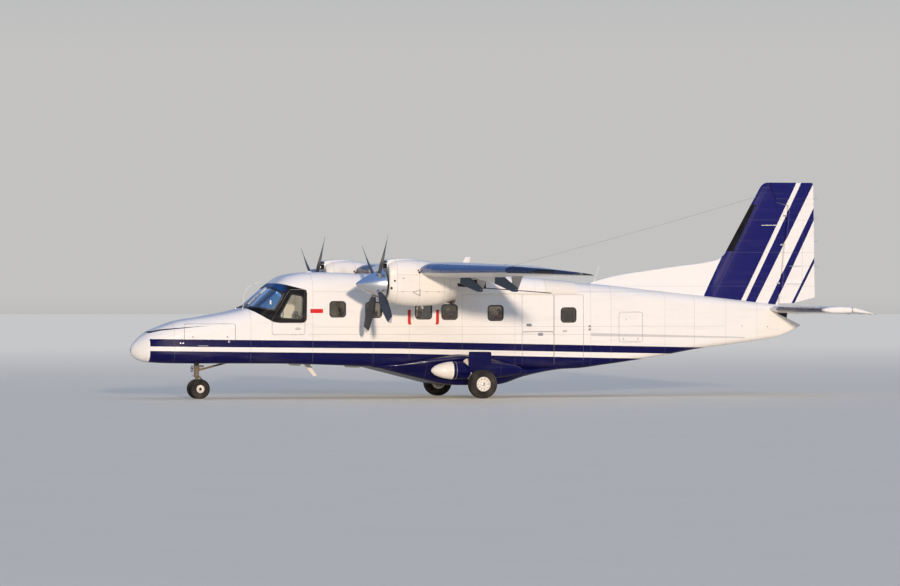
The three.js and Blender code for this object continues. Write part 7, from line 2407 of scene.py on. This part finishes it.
# air-data probes, wipers, handles, latches
pit = []
for sg in (-1, 1):
    y = sg * 0.640
    pit.append(tube([(X(1.62), sg * 0.610, 1.240), (X(1.615), sg * 0.680, 1.215), (X(1.585), sg * 0.720, 1.205)], 0.011, 14, 0))
    pit.append(rod((X(1.600), sg * 0.720, 1.205), (X(1.375), sg * 0.720, 1.205), 0.0115, 0.0080, n=20, index=0))
    pit.append(rod((X(1.378), sg * 0.720, 1.205), (X(1.368), sg * 0.720, 1.205), 0.0045, n=14, index=1))
    pit.append(lathe([(0.0, 0.0), (0.034, 0.0), (0.034, 0.004), (0.030, 0.006), (0.0, 0.006)], "y", 32, (X(2.11), sg * 0.7215, 1.300), 0))
piece("air_data_probes", join(*pit), [STEEL, DARK], "airframe")


def on_skin(s, z, sg=-1, out=0.0):
    """Point on the body side at a station and height."""
    return (X(s), sg * (skin_y(s, z) + out), z)


def skin_frame(s, z, sg=-1):
    p = Vector(on_skin(s, z, sg))
    a = Vector(on_skin(s + 0.02, z, sg)) - Vector(on_skin(s - 0.02, z, sg))
    b = Vector(on_skin(s, z + 0.02, sg)) - Vector(on_skin(s, z - 0.02, sg))
    u, v = a.normalized(), b.normalized()
    n = u.cross(v).normalized()
    if n.y * sg < 0:
        n = -n
    v = n.cross(u).normalized()
    if v.z < 0:
        v = -v
    return p, u, v, n


def patch(s, z, w, h, t, r=0.012, sg=-1, index=0, sink=0.004, turn=0.0):
    """Low plate with rounded corners and bevelled edges laid on the body side."""
    p, u, v, n = skin_frame(s, z, sg)
    if turn:
        c, d = math.cos(R(turn)), math.sin(R(turn))
        u, v = u * c + v * d, v * c - u * d
    base = rounded([(-w / 2, -h / 2), (w / 2, -h / 2), (w / 2, h / 2), (-w / 2, h / 2)], min(r, w * 0.48, h * 0.48), 6)
    rings = []
    for k, off in ((1.0, -sink), (1.0, t * 0.55), (0.93, t * 0.9), (0.82, t)):
        kw, kh = (w / 2 - (1 - k) * min(w, h) / 2) / (w / 2), (h / 2 - (1 - k) * min(w, h) / 2) / (h / 2)
        rings.append([tuple(p + u * (a * kw) + v * (b * kh) + n * off) for a, b in base])
    return loft(rings, index=index, cap=index)


def handle(s, z, w, sg=-1, upright=False):
    """Flush lever in a shallow cup: cup rim, a dark plate as painted shade of the well, and lever."""
    hw, hh = (w, 0.044) if not upright else (0.044, w)
    return [patch(s, z, hw + 0.026, hh + 0.022, 0.0022, 0.022, sg, 0), patch(s, z, hw, hh, 0.0028, 0.018, sg, 1),
            patch(s, z, hw * 0.86, hh * 0.42, 0.0085, 0.008, sg, 2) if not upright else patch(s, z, hw * 0.42, hh * 0.86, 0.0085, 0.008, sg, 2)]


# the middle plate of each handle takes a dark finish as painted shade of the cup's well
HANDLE_MATS = [STEEL, DARK, POLISHED]
piece("crew_door_handle", join(*handle(3.700, 1.585, 0.12)), [PAINT_PLAIN, WELL_SHADE_GREY, PAINT_PLAIN], "crew_door")
piece("upper_door_handle", join(*handle(9.22, 1.655, 0.11)), HANDLE_MATS, "passenger_door_upper")
piece("lower_door_handle", join(*handle(9.50, 1.44, 0.11)), HANDLE_MATS, "passenger_door_lower")
piece("cargo_door_handle", join(*handle(10.10, 1.515, 0.10)), [PAINT_PLAIN, WELL_SHADE_GREY, PAINT_PLAIN], "cargo_door")
piece("rear_door_latches", join(*[m for s_, z_ in ((11.56, 1.335), (11.93, 1.335)) for m in handle(s_, z_, 0.045)]), [PAINT_PLAIN, WELL_SHADE_GREY, PAINT_PLAIN], "rear_baggage_door")
piece("nose_door_latches", join(*[m for s_, z_ in ((1.28, 1.40), (2.06, 1.40)) for m in handle(s_, z_, 0.040)]), [PAINT_PLAIN, WELL_SHADE_GREY, STEEL], "nose_baggage_door")

# small vents, drains and marks on the port and starboard sides
fit_ = []
for sg in (-1, 1):
    for k in range(2):
        fit_.append(patch(10.71, 1.625 - k * 0.075, 0.058, 0.044, 0.003, 0.006, sg, 0))
        for j in range(3):
            fit_.append(patch(10.71, 1.637 - k * 0.075 - j * 0.012, 0.046, 0.005, 0.0036, 0.002, sg, 1))
    for s_, z_, d_ in ((11.63, 1.77, 0.018), (2.86, 1.28, 0.022), (14.62, 1.62, 0.022), (15.30, 1.60, 0.024)):
        fit_.append(patch(s_, z_, d_, d_, 0.004, d_ * 0.5, sg, 1))
    for s_ in (1.005, 1.062):
        fit_.append(patch(s_, 1.262, 0.036, 0.036, 0.006, 0.018, sg, 0))
piece("side_vents_and_drains", join(*fit_), [STEEL, DARK], "airframe")

# windscreen wipers
wip = []
for sg in (-1, 1):
    top = Vector((X(2.900), sg * 0.120, 0.0))
    base = Vector((X(2.535), sg * 0.270, 0.0))

    def lie(p, up):
        return (p.x, p.y, roof_z(p.x + HALF, p.y) + up)
    path = [base.lerp(top, k / 8) for k in range(9)]
    wip.append(tube([lie(p, 0.022 - 0.006 * k / 8) for k, p in enumerate(path)], [0.0065, 0.0040], 10, 0, smooth=False))
    edge = [Vector((X(2.66), sg * 0.300, 0)).lerp(Vector((X(3.02), sg * 0.085, 0)), k / 8) for k in range(9)]
    wip.append(tube([lie(p, 0.0100) for p in edge], 0.0052, 8, 0, smooth=False))
    wip.append(rod(lie(base, -0.01), lie(base, 0.040), 0.017, 0.013, n=24, index=1))
piece("windscreen_wipers", join(*wip), [BEZEL, STEEL], "airframe")

# base of the lamp under the belly
piece("belly_lamp_base", foot(9.05, 0.0, low_z(9.05) + 0.001, 0.055, 0.055, -0.008, 1), [STEEL, STEEL], "airframe")

# dark points and a latch on the cowlings
cowl = []
for sg in (-1, 1):
    for side_ in (-1, 1):
        for s_, z_, r_ in ((5.93, 2.850, 0.026), (5.290, 2.500, 0.030), (5.56, 2.72, 0.010)):
            w_ = float(pchip(NAC[:, 0], NAC[:, 1], s_))
            y0_ = sg * ENGINE_Y + side_ * w_
            cowl.append(rod((X(s_), y0_ - side_ * 0.02, z_), (X(s_), y0_ + side_ * 0.0045, z_), r_, n=28, index=1))
            cowl.append(lathe([(r_, -0.002), (r_ + 0.005, -0.002), (r_ + 0.005, 0.003), (r_, 0.005)], "y", 28, (X(s_), y0_, z_), 0))
        tri = [(5.785, 2.400), (5.940, 2.468), (5.940, 2.332)]
        for k in range(3):
            a_, b_ = tri[k], tri[(k + 1) % 3]
            w_ = float(pchip(NAC[:, 0], NAC[:, 1], a_[0]))
            cowl.append(rod((X(a_[0]), sg * ENGINE_Y + side_ * (w_ + 0.0005), a_[1]), (X(b_[0]), sg * ENGINE_Y + side_ * (w_ + 0.0005), b_[1]), 0.0045, n=6, index=1))
piece("cowl_points", join(*cowl), [STEEL, DARK], "airframe")

# wire aerial from the fin to a short post on the centre section
post_top, fin_top = (8.46, 2.868), (15.100, 4.640)
wire_pts = []
for k in range(33):
    f_ = k / 32
    wire_pts.append((X(post_top[0] + (fin_top[0] - post_top[0]) * f_), 0.0, post_top[1] + (fin_top[1] - post_top[1]) * f_ - 0.035 * 4 * f_ * (1 - f_)))
wire = [tube(wire_pts, 0.0016, 8, 0, smooth=False), rod((X(8.46), 0, 2.78), (X(8.46), 0, 2.875), 0.009, 0.005, n=16, index=1),
        rod((X(15.082), 0, 4.634), (X(15.125), 0, 4.648), 0.010, 0.006, n=14, index=1), rod((X(8.60), 0, 2.9035), (X(8.72), 0, 2.9325), 0.007, n=12, index=1)]
piece("wire_aerial", join(*wire), [DARK, WHITE_AERIAL], "airframe")

# hinge covers of the crew door
hinge_covers = []
for z_ in (1.62, 2.18):
    w_ = skin_y(3.086, z_)
    hinge_covers.append(boxm(X(3.050), X(3.082), -w_ - 0.006, -w_ + 0.004, z_ - 0.045, z_ + 0.045, 0))
piece("crew_door_hinge_covers", join(*hinge_covers), [PAINT_PLAIN], "airframe")

# the engines inside the cowls keep the shape of the CAD, with a cast-metal finish
for node_name in ("engine_left", "engine_right"):
    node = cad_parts.get(node_name)
    if node is not None:
        for slot_ in node.material_slots:
            slot_.material = STEEL_ENGINE
        if not node.material_slots:
            node.data.materials.append(STEEL_ENGINE)


# ------------------------------------------------------------------ close
bpy.context.view_layer.update()
